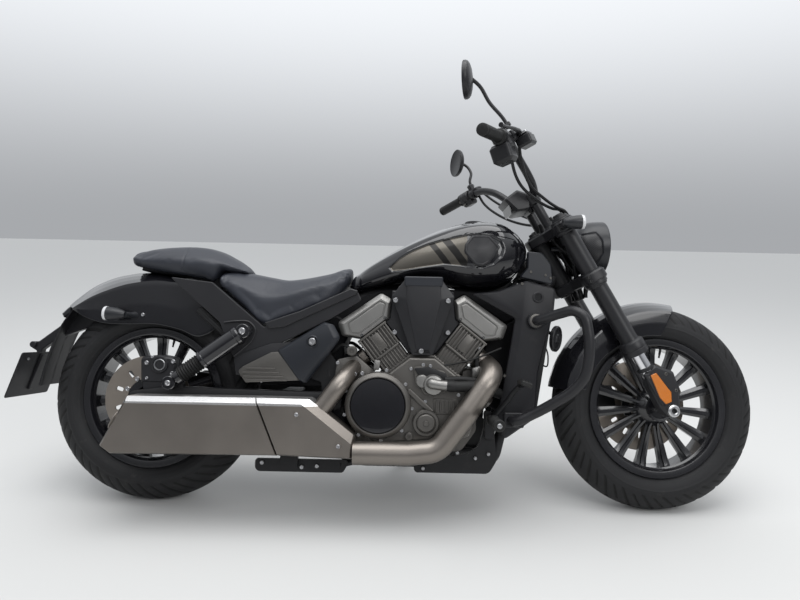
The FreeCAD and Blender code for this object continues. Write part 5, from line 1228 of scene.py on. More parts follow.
def out_from(x, z, profile, count=64, side=-1, start=FACE_Y, **more):
    """A turned piece that stands out from a cover's face."""
    return turned_at((x, side * start, z), (0, side, 0), profile, count, **more)


case_levels = [(116, 0), (132, 0), (134, 2), (135, 7), (163, 8.5), (168, 10.5), (170, 15)]
right_parts = [
    plate(CASE, case_levels, -1, 7),
    out_from(*CLUTCH, [(97, -4), (97, 22), (95, 29), (90, 34), (84, 37.5), (82, 37.5), (80.5, 35),
                        (80.5, 28)], 128),
    out_from(*FILTER, [(39, -4), (39, 17), (36.5, 20), (29.5, 20.5), (28, 18), (27, 18), (26, 23),
                        (23, 25), (3, 26)], 64),
    out_from(*FILTER, [(9, 20), (9, 29), (8, 30), (2, 30)], 6),
    out_from(802, 238, [(12, -4), (12, 14), (10, 16), (5, 16), (4.5, 13)], 32),
    out_from(628, 483, [(15, -20), (15, 6), (13, 8), (7, 8), (6, 4)], 32, start=160),
    slab([(870, 349, 6), (938, 347, 6), (956, 337, 6), (948, 303, 6), (876, 302, 6)], 166, 173, 2),
    slab([(797, 374), (804, 376), (873, 314), (868, 303), (861, 305), (793, 365)], 166, 179, 3),
    slab([(812, 440, 10), (836, 442, 10), (902, 430, 12), (918, 405, 12), (908, 366, 16), (846, 358, 16),
          (816, 406, 16)], 166, 181, 3)]
right_parts += [slab([(x - 2.6, 308, 2), (x - 2.6, 342, 2), (x + 2.6, 342, 2), (x + 2.6, 308, 2)],
                     170, 178, 1.5) for x in np.linspace(881, 945, 6)]
right_parts += [slab([(655, 392, 5), (668, 398, 5), (760, 398, 5), (772, 388, 5), (764, 382, 5),
                      (668, 382, 5)], 160, 174, 2)]
left_parts = [
    plate(CASE, case_levels, 1, 7),
    out_from(*GENERATOR, [(104, -4), (104, 12), (100, 18), (92, 21), (64, 22), (60, 19), (54, 19), (50, 22),
                        (2, 24)], 128, 1),
    out_from(*PULLEY_COVER, [(58, -60), (58, 6), (55, 11), (48, 13.5), (2, 14)], 96, 1),
    slab([(900, 262, 10), (960, 262, 10), (972, 330, 12), (940, 372, 12), (920, 300, 12)], 166, 180, 3, 1)]
case_covers = piece("side_cover_castings", right_parts + left_parts, "engine_grey", "chassis", sharp=22)
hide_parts("engine_side_covers")

# %% [markdown]
# ### Clutch window, pump caps and bolts
#
# The dark disc over the clutch is glossy, so it is a piece of its own in another finish. So are the two
# turned caps of the water pump. The bolts stand round the edge of both covers: on the left, two rings
# of them follow round housings, so their places are worked out from an angle.

# %% Window, caps and bolts
window = out_from(*CLUTCH, [(80, 29), (79.5, 33), (77, 35.5), (60, 36.6), (2, 37.2)], 96)
piece("clutch_window", [window], "gloss_black", "chassis")
pump = [out_from(871, 389, [(31, 6), (31, 26), (27, 33), (18, 37), (2, 38)], 48),
        out_from(838, 398, [(20, 6), (20, 22), (16, 27), (2, 28)], 40)]
piece("pump_caps", pump, "cover_grey", "chassis")
RIGHT_BOLTS = [(613, 365), (611, 295), (654, 239), (720, 224), (781, 253), (810, 318), (790, 388),
               (733, 428), (661, 417), (640, 415), (587, 447), (805, 434), (841, 446), (862, 443),
               (902, 417), (902, 372), (849, 339), (946, 360), (982, 350), (990, 296), (974, 246),
               (900, 222)]
LEFT_BOLTS = [(655, 240), (720, 224), (800, 222), (900, 224), (978, 246), (990, 300), (972, 366),
              (654, 372), (636, 300)]
cover_bolts = [(x, -169.5 if 630 < x < 960 else -162, z, 11) for x, z in RIGHT_BOLTS]
cover_bolts += [(x, 169, z, 11) for x, z in LEFT_BOLTS]
cover_bolts += [(GENERATOR[0] + 97 * math.cos(a), 186, GENERATOR[1] + 97 * math.sin(a), 10)
                for a in np.arange(0.3, 6.5, math.pi / 3)]
cover_bolts += [(PULLEY_COVER[0] + 50 * math.cos(a), 182, PULLEY_COVER[1] + 50 * math.sin(a), 9)
                for a in np.arange(0.8, 6.5, 2 * math.pi / 3)]
bolts("side_cover_bolts", cover_bolts, "bare_steel", "chassis")

# %% [markdown]
# ## Cylinders
#
# Each bank is a block with upright ribs in a frame on its visible sides, and a ribbed waist below it. The
# corners are written along the bank and across it, and one function turns them to the machine's frame.

# %% Cylinder blocks and their ribs


def in_bank(sign, rows):
    """Corners given along and across a bank, with their radii."""
    return [on_bank(sign, row[0], row[1]) + tuple(row[2:]) for row in rows]


def bar(low, high, left, right, radius=1.5):
    """The corners of a straight bar."""
    return [(low, left, radius), (high, left, radius), (high, right, radius), (low, right, radius)]


def bank(sign):
    """The block of one bank with its frames and ribs, as a list of parts."""
    parts = [slab(in_bank(sign, bar(96, 234, -60, 33, 6)), -134, 134, 4, 1)]
    for side in (-1, 1):
        frame_bars = [bar(226, 233.5, -66, 38), bar(151, 158, -60, 30), bar(156, 228, -64, -57),
                      bar(156, 228, 29, 35)]
        parts += [slab(in_bank(sign, rows), 132, 146, 2, side, 2) for rows in frame_bars]
        ribs = [bar(158, 226, at, at + 4.5, 1) for at in np.linspace(-52, 22, 8)]
        parts += [slab(in_bank(sign, rows), 130, 143.5, 1.2, side, 2) for rows in ribs]
        parts.append(slab(in_bank(sign, bar(166, 220, -27, -1, 2)), 136, 144.5, 1.5, side, 2))
        low_ribs = [bar(108, 150, at, at + 4, 1) for at in np.linspace(-54, 24, 9)]
        parts += [slab(in_bank(sign, rows), 130, 139, 1.2, side, 2) for rows in low_ribs]
    for at in np.linspace(116, 222, 9):
        parts.append(slab(in_bank(sign, bar(at, at + 4, -68, -56, 1)), -122, 122, 2, 1, 2))
    return parts


banks = piece("cylinder_blocks", bank(1) + bank(-1), "engine_grey", "chassis", sharp=25)
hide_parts("cylinder_banks")
bolts("cylinder_bolts", [(x, side * 142, z, 15) for side in (-1, 1) for x, z in ((754, 541), (914, 543))]
      + [(x, side * 138, z, 11) for side in (-1, 1) for x,
         z in ((639, 414), (660, 416), (1031, 453), (1012, 498))], "bare_steel", "chassis")

# %% [markdown]
# ## Hoses and pipes
#
# A tube follows a smooth line through a few points. At each step two directions square to the line carry a
# ring, and the ring's radius may change along the line, which makes clamps, boots and corrugations.

# %% Tubes


def tube(points, radius, around=16, steps=8, ref=(0, 1, 0)):
    """A tube along points; radius is a number or a function of the share of the way."""
    count = steps * (len(points) - 1) + 1
    line = smooth_line(points, count)
    ahead = np.gradient(line, axis=0)
    ahead /= np.linalg.norm(ahead, axis=1, keepdims=True)
    across = np.cross(ahead, np.asarray(ref, float))
    across /= np.linalg.norm(across, axis=1, keepdims=True)
    up = np.cross(across, ahead)
    size = radius(np.linspace(0, 1, count)) if callable(radius) else np.full(count, float(radius))
    angle = np.linspace(0, 2 * np.pi, around, endpoint=False)
    ring = np.cos(angle)[None, :, None] * across[:, None] + np.sin(angle)[None, :, None] * up[:, None]
    return skin(line[:, None] + ring * size[:, None, None])


def rod(first, last, radius, around=20):
    """A straight round bar with small bevels."""
    first, last = np.asarray(first, float), np.asarray(last, float)
    length = float(np.linalg.norm(last - first))
    way = (last - first) / length
    profile = [(radius - 1.2, 0), (radius, 1.2), (radius, length - 1.2), (radius - 1.2, length)]
    return turned_at(first, way, profile, around, (0, 0, 1) if abs(way[2]) < 0.9 else (1, 0, 0))


# %% [markdown]
# ## Water pump and hoses
#
# The pump's cover plate and elbow stand on the right cover, and its hoses run forward to the radiator.
# Thinner hoses and a wire run behind them. Each hose is a tube through the few places where the real
# one is held or bends, and a step in its radius is its clamp.

# %% Pump and hoses
pump_plate = slab([(812, 438, 8), (858, 441, 8), (906, 424, 8), (916, 403, 8), (897, 390, 6),
                   (850, 398, 8), (824, 420, 6)], 176, 190, 3)
elbow = tube([(866, -188, 395), (866, -204, 394), (884, -209, 391), (914, -209, 389)],
             lambda t: 15 + 3 * rise(0.5, 0, t), 24, 8, (0, 0, 1))
piece("pump_plate", [pump_plate], "frame_black", "chassis", sharp=25)
piece("pump_elbow", [elbow, out_from(866, 395, [(26, 10), (26, 17), (22, 24), (16, 27), (2, 28)], 40)],
      "cover_grey", "chassis")
hoses = [
    tube([(908, -209, 389), (930, -209, 388), (990, -196, 388), (1050, -150, 372), (1098, -110, 352)],
         lambda t: 15.5 + 1.6 * (np.abs(t - 0.06) < 0.03), 20, 14, (0, 0, 1)),
    tube([(905, -186, 404), (960, -186, 407), (1010, -172, 400), (1060, -120, 398), (1110, -92, 420)], 9.5,
         16, 12, (0, 0, 1)),
    tube([(772, -166, 438), (820, -158, 452), (900, -156, 446), (980, -152, 462), (1076, -140, 500)], 2.6,
         8, 10, (0, 0, 1)),
    tube([(1040, -96, 540), (1010, -128, 500), (1003, -136, 452), (1010, -132, 424)], 8, 12, 8, (0, 1, 0)),
    tube([(560, -96, 470), (598, -118, 500), (640, -126, 470), (660, -128, 440)], 5, 10, 8, (0, 0, 1)),
    tube([(556, 98, 470), (600, 120, 505), (650, 132, 470), (690, 140, 436)], 6, 10, 8, (0, 0, 1))]
piece("hoses", hoses, "black_rubber", "chassis")
fittings = [out_from(628, 483, [(9, -8), (9, 5), (7, 7), (3, 7), (2.6, 4)], 24, start=124),
            rod((628, -92, 483), (628, -128, 483), 7),
            slab([(694, 428, 3), (710, 428, 3), (714, 456, 3), (696, 458, 3)], 158, 166, 1.5),
            slab([(990, 408, 4), (1018, 414, 4), (1012, 446, 5), (988, 438, 5)], 132, 150, 3)]
piece("hose_fittings", fittings, "cover_grey", "chassis")

# %% [markdown]
# ## Inner mouldings
#
# Behind the engine and under the tank such a machine is filled with a tray for its wiring, a fan cowl, a
# box for the electrics, a tool box and the gearbox's rear end. Here they are near-black slabs that close
# the view through it: in part those mouldings, in part painted shade for the dark gaps between the pieces.
# One slab each is enough, because only their outlines show between the pieces in front.

# %% Tray, cowl and boxes
tray = slab([(560, 590, 6), (640, 652, 10), (700, 674, 10), (820, 688, 6), (940, 680, 20),
             (1050, 672, 10), (1100, 686, 10), (1136, 716, 6), (1144, 640, 20), (1128, 590, 6),
             (1100, 578, 6), (968, 664, 6), (924, 636, 6), (752, 636, 6), (710, 664, 6),
             (586, 574, 6)], -66, 66, 4, 1)
cowl = slab([(1144, 306, 8), (1187, 584, 8), (1128, 588, 30), (1046, 548, 30), (1030, 470, 10),
             (1040, 330, 20), (1090, 290, 20)], -64, 64, 5, 1)
gearbox = slab([(562, 322, 14), (574, 440, 14), (604, 472, 14), (650, 462, 10), (690, 418, 10),
                (650, 300, 10), (650, 196, 10), (600, 206, 30)], -102, 80, 5, 1)
case_top = [slab([(576, 402, 10), (582, 456, 10), (640, 470, 10), (700, 420, 10), (640, 380, 10)], 96, 138,
                 4, side)
            for side in (-1, 1)]
case_front = slab([(950, 372, 10), (962, 436, 10), (1040, 432, 14), (1052, 330, 14), (1004, 296, 10)],
                  -112, 112, 5, 1)
piece("crankcase_ends", case_top + [case_front], "engine_grey", "chassis", sharp=25)
electrics = slab([(468, 506, 8), (506, 566, 12), (572, 590, 10), (628, 560, 10), (596, 500, 30),
                  (600, 452, 10), (560, 424, 10), (516, 424, 10)], -84, 84, 5, 1)
tool_box = slab([(350, 372, 8), (350, 424, 8), (540, 424, 8), (540, 372, 8)], -108, 108, 4, 1)
seat_base = slab([(-56, 722, 4), (-50, 738, 6), (20, 728, 20), (110, 712, 20), (190, 702, 6),
                  (214, 690, 6), (200, 660, 6), (110, 700, 20), (22, 712, 20)], -62, 62, 4, 1)
# Painted shade: these slabs are near-black to darken the gaps seen through the machine.
piece("inner_mouldings_gap_shade", [tray, cowl, gearbox, electrics, tool_box, seat_base], "black_void", "chassis",
      sharp=25)

# %% [markdown]
# ## Radiator shroud and neck panels
#
# The shroud's sides are moulded plates whose rear edge falls away in a broad slope, which is a bevel
# with its own width along each edge. The neck panels close the gap between tank and fork and carry four
# bolts each. Boxes with slanted cuts would do for the solids, but only one outline drawn in step by
# step gives slopes that meet at clean corners.

# %% Shroud and neck panels
SHROUD = [(985, 662, 4), (1063, 672, 14), (1150, 705, 10), (1240, 684, 14), (1233, 610, 20),
          (1205, 503, 20), (1187, 430, 16), (1177, 292, 20), (1084, 226, 12), (1066, 300, 12),
          (1096, 455, 40), (1118, 590, 10)]
slope = np.array([5, 5, 6, 7, 7, 7, 7, 7, 12, 19, 20, 14.0])
shroud = plate(SHROUD, [(130, 3), (132, 0), (141, 0), (143, 0.1 * slope), (149, 0.85 * slope),
                        (150, slope + 2)])
piece("shroud_shells", both(shroud), "shroud_black", "chassis", sharp=22)
NECK = [(1168, 806, 5), (1166, 752, 8), (1140, 722, 8), (1240, 702, 6), (1248, 708, 6), (1243, 764, 14),
        (1214, 802, 10)]
neck = plate(NECK, [(58, 4), (60, 0), (72, 0), (74, 0.6), (77, 4)])
neck_shell = piece("neck_panels", both(neck), "panel_slate", "chassis", sharp=22)
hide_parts("radiator_shroud")
SHROUD_BOLTS = [(1226, 778, 72), (1240, 722, 76), (1224, 731, 76), (1178, 740, 76), (1136, 695, 149.5),
                (1087, 417, 140)]
bolts("shroud_bolts", [(x, side * out, z, 8.5) for side in (-1, 1) for x, z, out in SHROUD_BOLTS],
      "engine_grey", "chassis")
plugs = [out_from(x, z, [(17, -2), (17, 2), (15, 4), (12, 4), (11, 1), (2, 1)], 40, side, 149)
         for side in (-1, 1) for x, z in ((1184, 655), (1190, 586))]
piece("shroud_plugs", plugs, "satin_black", "chassis")

# %% [markdown]
# ### Radiator fins
#
# The core's face is a stack of thin fins between two side tanks. The fins are sixty slabs at even steps
# along the core's slanted front edge, so their place and tilt both come from that edge's two ends.

# %% Fins
fins_low, fins_top = np.array([1146, 300]), np.array([1192.3, 592.4])
way = (fins_top - fins_low) / np.linalg.norm(fins_top - fins_low)
off = np.array([way[1], -way[0]]) * 34
fins = []
for share in np.linspace(0.03, 0.97, 60):
    at = fins_low + (fins_top - fins_low) * share
    ends = [at + off * 0.92, at + off * 1.04, at + off * 1.04 + way * 1.6, at + off * 0.92 + way * 1.6]
    fins.append(slab([(*place, 0.5) for place in ends], -116, 116, 0.4, 1, 2))
for side in (-1, 1):
    ends = [fins_low + off * 0.9, fins_low + off * 1.1, fins_top + off * 1.1, fins_top + off * 0.9]
    fins.append(slab([(*place, 4) for place in ends], 114, 128, 2, side, 3))
piece("radiator_fins", fins, "frame_black", "chassis", sharp=30)

# %% [markdown]
# ## Seat panels
#
# A long panel runs from the fender under both seats to the tank, with a raised rail whose two edges
# catch the light and a lip round the top of each shock absorber. On the real panel the rail is moulded
# in. Here it is a second plate laid on the first, because its edges have a bevel of their own.

# %% Seat panels
SEAT_PANEL = [(66, 696, 4), (196, 682, 6), (358, 549, 6), (556, 634, 30), (640, 662, 8), (652, 636, 8),
              (556, 575, 40), (382, 486, 20), (282, 442, 12), (262, 470, 12), (224, 560, 30)]
RAIL = [(360, 562, 3), (467, 600, 30), (618, 671, 4), (642, 664, 4), (634, 652, 4), (468, 573, 30),
        (421, 550, 12), (374, 545, 5)]
rail_levels = [(134, 0), (142, 0), (144.6, 0.8), (146, 3.2)]
LIP = [(238, 560), (280, 565), (314, 562), (332, 540), (324, 511), (298, 484), (270, 460)]
lip = tube([(x, -139, z) for x, z in LIP], 3.6, 10, 8, (0, 1, 0))
panel_parts = both(slab(SEAT_PANEL, 121, 139, 2.5)) + both(plate(RAIL, rail_levels)) + both(lip)
panels = piece("seat_panel_shells", panel_parts, "satin_black", "chassis", sharp=22)
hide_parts("seat_panels")

# %% [markdown]
# ## Side covers and regulator
#
# Below each panel sits a bevelled side cover with a stud in a ring. On the right a ribbed regulator stands
# behind it on a dark carrier plate, which also closes the view to the far side.

# %% Side covers and regulator
SIDE_COVER = [(402, 478, 10), (543, 568, 14), (570, 560, 14), (592, 520, 20), (492, 382, 12),
              (468, 392, 10)]
cover_bevel = np.array([7, 5, 16, 14, 5, 6.0])
side_cover = plate(SIDE_COVER, [(139.5, 2), (141, 0), (149, 0), (152, 0.2 * cover_bevel),
                                (157, 0.9 * cover_bevel), (158, cover_bevel + 2)])
post = rod((512, -118.3, 440), (512, -146, 440), 9)
ring = out_from(509, 508, [(19, -3), (19, 1), (17, 3), (14.5, 3), (14, 0.5), (2, 0.5)], 40, start=157.5)
covers = piece("side_cover_shells", both(side_cover) + both(post) + both(ring), "panel_slate", "chassis",
               sharp=22)
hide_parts("side_covers")
bolts("side_cover_studs", [(509, side * 157, 508, 22) for side in (-1, 1)], "bare_steel", "chassis")
regulator = [slab([(288, 416, 8), (302, 430, 8), (386, 474, 6), (440, 478, 6), (480, 392, 6),
                   (312, 382, 6)], 144, 153, 2.5)]
for level, first, last in ((425, 312, 400), (413, 302, 412), (401, 304, 424), (391, 314, 436)):
    regulator.append(slab(bar(first, last, level - 2.6, level + 2.6, 2.4), 150, 156, 1.2))
piece("regulator_body", regulator, "engine_grey", "chassis", sharp=25)
backing = slab([(280, 404, 5), (272, 452, 6), (300, 470, 8), (384, 500, 8), (452, 506, 6), (470, 404, 6)],
               124, 145, 2)
piece("regulator_carrier", [backing], "satin_black", "chassis", sharp=25)
bolts("regulator_bolts", [(300, -152, 404, 8), (470, -152, 396, 8)], "engine_grey", "chassis")

# %% [markdown]
# ## Fork
#
# The fork is an upside-down one: two wide tubes are held by the clamps and slide on thin bright
# stanchions that stand in forged feet. Tubes, seals and caps are round, so each is turned from one
# profile. All of it is drawn in the fork's own frame, with its height measured along the legs from the
# axle: there both legs stand straight up, and one matrix adds rake, lean and steering.

# %% Fork tubes
LEG_AHEAD, LEG_SIDE = 56, 125
finish("reflector_amber", speckled((0.52, 0.15, 0.012), 0.12, 420, 0.00035, 0.20, 0.04, dusty=0.05),
       Coat_Weight=0.6)
finish("cable_black", speckled((0.010, 0.010, 0.011), 0.2, 1600, 0.00005, 0.45, 0.05, dusty=0.03),
       Specular_IOR_Level=0.3)


def on_legs(profile, count=64):
    """A turned piece on each leg, from rows of radius and height above the axle."""
    points, faces = turned(profile, count)
    return [(points + (LEG_AHEAD, side * LEG_SIDE, 0), faces) for side in (-1, 1)]


def lying(corners, levels, steps=5):
    """A plate that lies across the fork: levels are height and how far it is drawn in."""
    return skin([np.insert(outline(corners, by, steps), 2, height, axis=1) for height, by in levels])


def block(size, bevel, place=(0, 0, 0), up=(0, 0, 1), ahead=(1, 0, 0), radius=4):
    """A box with rounded corners and bevelled ends, turned so that its height runs along up."""
    a, b, c = (half / 2 for half in size)
    points, faces = lying([(-a, -b, radius), (a, -b, radius), (a, b, radius), (-a, b, radius)],
                          [(-c, bevel), (bevel - c, 0), (c - bevel, 0), (c, bevel)])
    return put(facing(place, up, ahead), points), faces


tubes = on_legs([(30, 194), (36, 194), (38, 196), (38, 209), (36.8, 210), (36.8, 213), (38, 214),
                 (38, 233), (36, 236), (29, 240), (27.5, 248), (27.2, 428), (31, 431), (32, 434),
                 (32, 446)])
caps = on_legs([(28, 640), (28, 668), (26.5, 671), (25.5, 671), (25, 674), (17, 675), (16, 681),
                (14, 683), (6, 683), (5, 680)])
upper = on_legs([(27.5, 470), (27.5, 640)])
fork_tubes = piece("fork_tube_pair", tubes + caps + upper, "satin_black", "steering", FORK)
stanchions = piece("fork_stanchion_pair", on_legs([(20.5, 118), (20.5, 198)]), "chrome", "steering", FORK)

# %% [markdown]
# ### Feet and reflectors
#
# Each foot is a bevelled casting that clamps the axle, with pinch bolts and an amber reflector on its
# outer face. A reflector is a thin moulding in a frame, and both are plates on the same outline.

# %% Feet and reflectors
FOOT = [(42, 141, 8), (80, 145, 8), (121, 98, 14), (108, 38, 16), (78, -16, 24), (36, -16, 16),
        (27, 26, 14), (31, 98, 10)]
feet = []
for side in (-1, 1):
    feet.append(plate(FOOT, [(103, 5), (108, 0), (136, 0), (140, 1.2), (142.5, 3), (147, 9)], side, 7))
    feet.append(plate([(34, 136, 5), (52, 130, 5), (44, 30, 5), (34, 30, 5)],
                      [(140, 0), (149, 0), (151, 2)], side))
feet += on_legs([(24, 138), (26, 141), (26, 147), (22, 149)], 48)
fork_feet = piece("fork_feet", feet, "satin_black", "steering", FORK, sharp=25)
REFLECTOR = [(45, 129, 8), (71, 127, 9), (82, 50, 12), (67, 22, 8), (42, 25, 8), (35, 54, 12)]
reflector_edge = [(140, 0), (150, 0), (152.5, 1), (152.5, 3.5), (150, 3.6)]
piece("reflector_frames", [plate(REFLECTOR, reflector_edge, side) for side in (-1, 1)], "satin_black",
      "steering", FORK)
piece("reflectors", [plate(REFLECTOR, [(149, 3.7), (151.5, 3.7), (153.5, 5.5)], side) for side in (-1, 1)],
      "reflector_amber", "steering", FORK, sharp=20)
bolts("foot_bolts", [(x, side * y, z, size) for side in (-1, 1) for x, y, z, size in
                     ((94, 144, 104, 10), (96, 144, 47, 10), (44, 149, 120, 7))], "engine_grey",
      "steering", FORK)

# %% [markdown]
# ### Axle and clamps
#
# The axle is a hollow bar with a wide bright ring at each end. The two clamps are flat castings that
# wrap the tubes and the steering stem, and the bar's risers stand on the upper one. Both clamps share
# one outline.

# %% Axle and clamps
axle = round_y([(-156, 8), (-157.5, 9.5), (-157.5, 14), (-154, 18), (-147, 18.5), (-147, 11), (147, 11),
                (147, 18.5), (154, 18), (157.5, 14), (157.5, 9.5), (156, 8)], 48)
axle = piece("front_axle_rod", [(axle[0] + (LEG_AHEAD, 0, 0), axle[1])], "bare_steel", "steering", FORK)
CLAMP = [(-34, -24, 14), (8, -60, 20), (22, -103, 20), (20, -163, 30), (96, -163, 34), (92, -85, 20),
         (66, 0, 8), (92, 85, 20), (96, 163, 34), (20, 163, 30), (22, 103, 20), (8, 60, 20),
         (-34, 24, 14)]
clamps = [lying(CLAMP, [(low, 4), (low + 4, 0), (low + 27, 0), (low + 32, 4)], 7) for low in (446, 626)]
clamps += on_legs([(34, 436), (35.5, 438), (35.5, 446), (34, 480), (30, 482)])
clamps += on_legs([(33, 618), (35, 621), (35, 662), (33, 664), (27, 664)])
clamps.append(turned([(16, 440), (22, 442), (22, 660), (20, 664), (14, 665), (13, 673), (4, 674)], 48))
points, faces = turned([(19, 655), (20, 660), (17, 664), (16, 668), (16, 748), (21, 752), (22, 756),
                        (22, 786), (19, 791), (4, 792)], 40)
clamps += [(points + (44, side * 46, 0), faces) for side in (-1, 1)]
fork_clamps = piece("fork_clamps", clamps, "satin_black", "steering", FORK, sharp=30)
PINCH = [(30, 455), (30, 469), (32, 636), (32, 650)]
bolts("clamp_bolts", [(x, side * 161, z, 10) for side in (-1, 1) for x, z in PINCH]
      + [(44, side * 46 + off, 792, 9, (0, 0, 1)) for side in (-1, 1) for off in (-12, 12)],
      "frame_black", "steering", FORK)
for new, node in ((fork_tubes, "fork_tubes"), (stanchions, "fork_stanchions"), (fork_feet, "fork_lowers"),
                  (axle, "front_axle"), (fork_clamps, "triple_clamps")):
    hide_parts(node)

# %% [markdown]
# ## Wiring and lamp carrier
#
# Between the clamps the space behind the headlamp is filled with a near-black moulding, part carrier and
# part painted shade for the gap, and bundles of sleeved wire. The turn signals stand on short stalks at the
# ends of the upper clamp, and the horn hangs in front of the frame's down tubes.

# %% Lamp carrier, looms, stalks and horn
# Painted shade: the near-black blocks also darken the gap behind the headlamp.
carrier = [block((26, 96, 150), 6, (76, 0, 556), radius=10), block((30, 60, 30), 5, (88, 0, 624), radius=8),
           block((44, 118, 16), 4, (78, 0, 492), radius=12),
           block((30, 132, 40), 6, (60, 0, 604), radius=10)]
piece("lamp_carrier_gap_shade", carrier, "black_void", "steering", FORK, sharp=30)
looms = []
# for each loom: how far across and ahead it runs, its radius and how far it bows
for across, fore, radius, bow in ((-52, 58, 7, 8), (-34, 50, 8, -8), (-14, 50, 6, 6), (22, 48, 9, -10),
                                  (52, 40, 7, 8)):
    looms.append(tube([(fore, across, 690), (fore + bow, across + 6, 620), (fore - bow, across - 8, 540),
                       (fore + bow, across + 4, 470), (fore - 20, across * 0.6, 410)],
                      lambda t, r=radius: r * (1 + 0.06 * np.sin(t * 90)), 14, 14))
piece("steering_looms", looms, "cable_black", "steering", FORK)
STALK = [(1262, 150, 876), (1258, 166, 876), (1252, 178, 874), (1244, 190, 872)]
stalks = [tube([(x, side * y, z) for x, y, z in STALK], lambda t: 12 - 3 * rise(0, 0.5, t), 20, 8)
          for side in (-1, 1)]
piece("signal_stalks", stalks, "satin_black", "steering", STEERED)
HORN = [(3, -14), (18, -14), (20, -10), (38, -8), (41, -5), (41, 3), (38, 6), (34, 6), (30, 3), (16, 4),
        (12, 8), (3, 9)]
horn = turned_at((1262, -60, 532), (0.8, -0.55, -0.1), HORN, 56, ripple=0.02, teeth=24, rows=(5, 6))
horn_arm = tube([(1180, -66, 560), (1206, -64, 560), (1232, -62, 556), (1254, -60, 540)], 5, 12, 6)
piece("horn", [horn, horn_arm], "satin_black", "chassis", sharp=30)
leads = [tube([(1226, -52, 520), (1214, -70, 470), (1206, -92, 440), (1196, -104, 470), (1190, -98, 520)],
              2.4, 8, 10),
         tube([(1226, -56, 516), (1230, -88, 474), (1222, -100, 446), (1206, -106, 452), (1188, -96, 540)],
              2.4, 8, 10)]
piece("horn_leads", leads, "cable_black", "chassis")

# %% [markdown]
# ## Handlebar and grips
#
# The bar is one bent tube, drawn for its left half and mirrored. Each grip is a ribbed rubber sleeve
# with a flange. Grip, switch housing and lever holder all sit round the bar's straight end, so their
# places are given as a distance inwards along it.

# %% Handlebar and grips
BAR_END, KNEE = np.array((-122.0, 430.0, 948.0)), np.array((-30.0, 290.0, 928.0))
INWARD = (KNEE - BAR_END) / np.linalg.norm(KNEE - BAR_END)
half_bar = [(44, 0, 775), (44, 72, 775), (38, 118, 800), (14, 190, 884), (-4, 238, 914), (-18, 270, 924),
            (-30, 290, 928), (-66, 344, 936), (-119, 426, 947)]
bar_line = [(x, -y, z) for x, y, z in half_bar[:0:-1]] + half_bar
handlebar = piece("handlebar_tube", [tube(bar_line, 12.7, 28, 7, (0, 0, 1))], "satin_black", "steering",
                  FORK)
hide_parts("handlebar")
ribs = [(17.2 - 1.0 * (i % 2), 6 + 3.2 * i) for i in range(32)]
GRIP = [(5, -10), (13, -10), (16.5, -8), (17, -2), (15, 0),
        (15.5, 2)] + ribs + [(17.5, 108), (22, 110), (22.5, 114), (21, 117), (13, 118)]
HOUSING = [(13, 119), (22, 120), (24, 123), (24, 138), (22.8, 139), (22.8, 141), (24, 142), (24, 158),
           (21, 162), (13, 163)]


def along_bar(profile, side, count=48):
    """A turned piece on one side of the bar; heights are measured inwards from the bar's end."""
    part = turned_at(BAR_END, INWARD, profile, count, (0, 0, 1))
    return part if side > 0 else mirrored(part)


def at_bar(run, fore, up):
    """A place beside the left half of the bar: inwards from its end, then forward and up."""
    return BAR_END + INWARD * run + (fore, 0, up)


piece("grips", [along_bar(GRIP, side) for side in (-1, 1)], "black_rubber", "steering", FORK)

# %% [markdown]
# ### Switches and levers
#
# Beside each grip sits a split switch housing with its buttons, and ahead of it a cast holder with the
# lever. The lever is a tube that swells to a ball at its end. The right side has the same pieces,
# mirrored, and also the throttle's housing and the brake fluid's reservoir with its bright lid.

# %% Switches, levers and reservoir
left_parts = [along_bar(HOUSING, 1),
              block((46, 40, 34), 5, at_bar(142, 2, -16), (0.1, 0, 1), INWARD, 9),
              block((14, 10, 10), 2, at_bar(134, -20, 8), (-0.8, 0, 0.6), INWARD, 3),
              block((12, 14, 8), 2, at_bar(150, -22, -6), (-1, 0, 0), INWARD, 3),
              block((40, 34, 30), 5, at_bar(178, 16, 2), (0, 0, 1), INWARD, 8),
              along_bar([(13, 168), (18, 168), (19, 170), (19, 188), (18, 190), (13, 190)], 1),
              block((20, 20, 34), 4, at_bar(178, 4, 22), (0, 0, 1), INWARD, 6)]
lever = tube([at_bar(180, 34, 0), at_bar(160, 46, -2), at_bar(110, 52, -4), at_bar(50, 48, -6),
              at_bar(6, 46, -8)],
             lambda t: 7.5 - 3.5 * rise(0, 0.8, t) + 3 * rise(0.96, 1, t), 14, 10, (0, 0, 1))
left_parts.append(lever)
right_only = [block((62, 46, 34), 6, at_bar(196, 44, -22), (0.1, 0, 1), INWARD, 9),
              block((60, 60, 56), 9, at_bar(146, -20, -40), (0.2, 0, 1), INWARD, 12)]
control_parts = left_parts + [mirrored(part) for part in left_parts + right_only]
controls = piece("bar_switches", control_parts, "satin_black", "steering", FORK, sharp=30)
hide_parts("bar_controls")
piece("reservoir_lid", [mirrored(block((58, 42, 8), 2, at_bar(196, 45, -1), (0.1, 0, 1), INWARD, 8))],
      "bare_steel", "steering", FORK, sharp=30)
buttons = [block((9, 9, 5), 1.5, at_bar(131, -25, -4), (-1, 0, 0), INWARD, 2),
           block((16, 7, 6), 1.5, at_bar(146, -25, -20), (-1, 0, -0.2), INWARD, 2)]
piece("bar_buttons", buttons + [mirrored(part) for part in buttons], "engine_grey", "steering", FORK)

# %% [markdown]
# ## Mirrors
#
# A mirror is a round shell with a rolled rim, a flat glass and a bent stalk that stands in a nut on the
# lever holder. The riders of such machines set each mirror by hand, so the two stalks differ in the
# photograph, and each has a line of its own here.

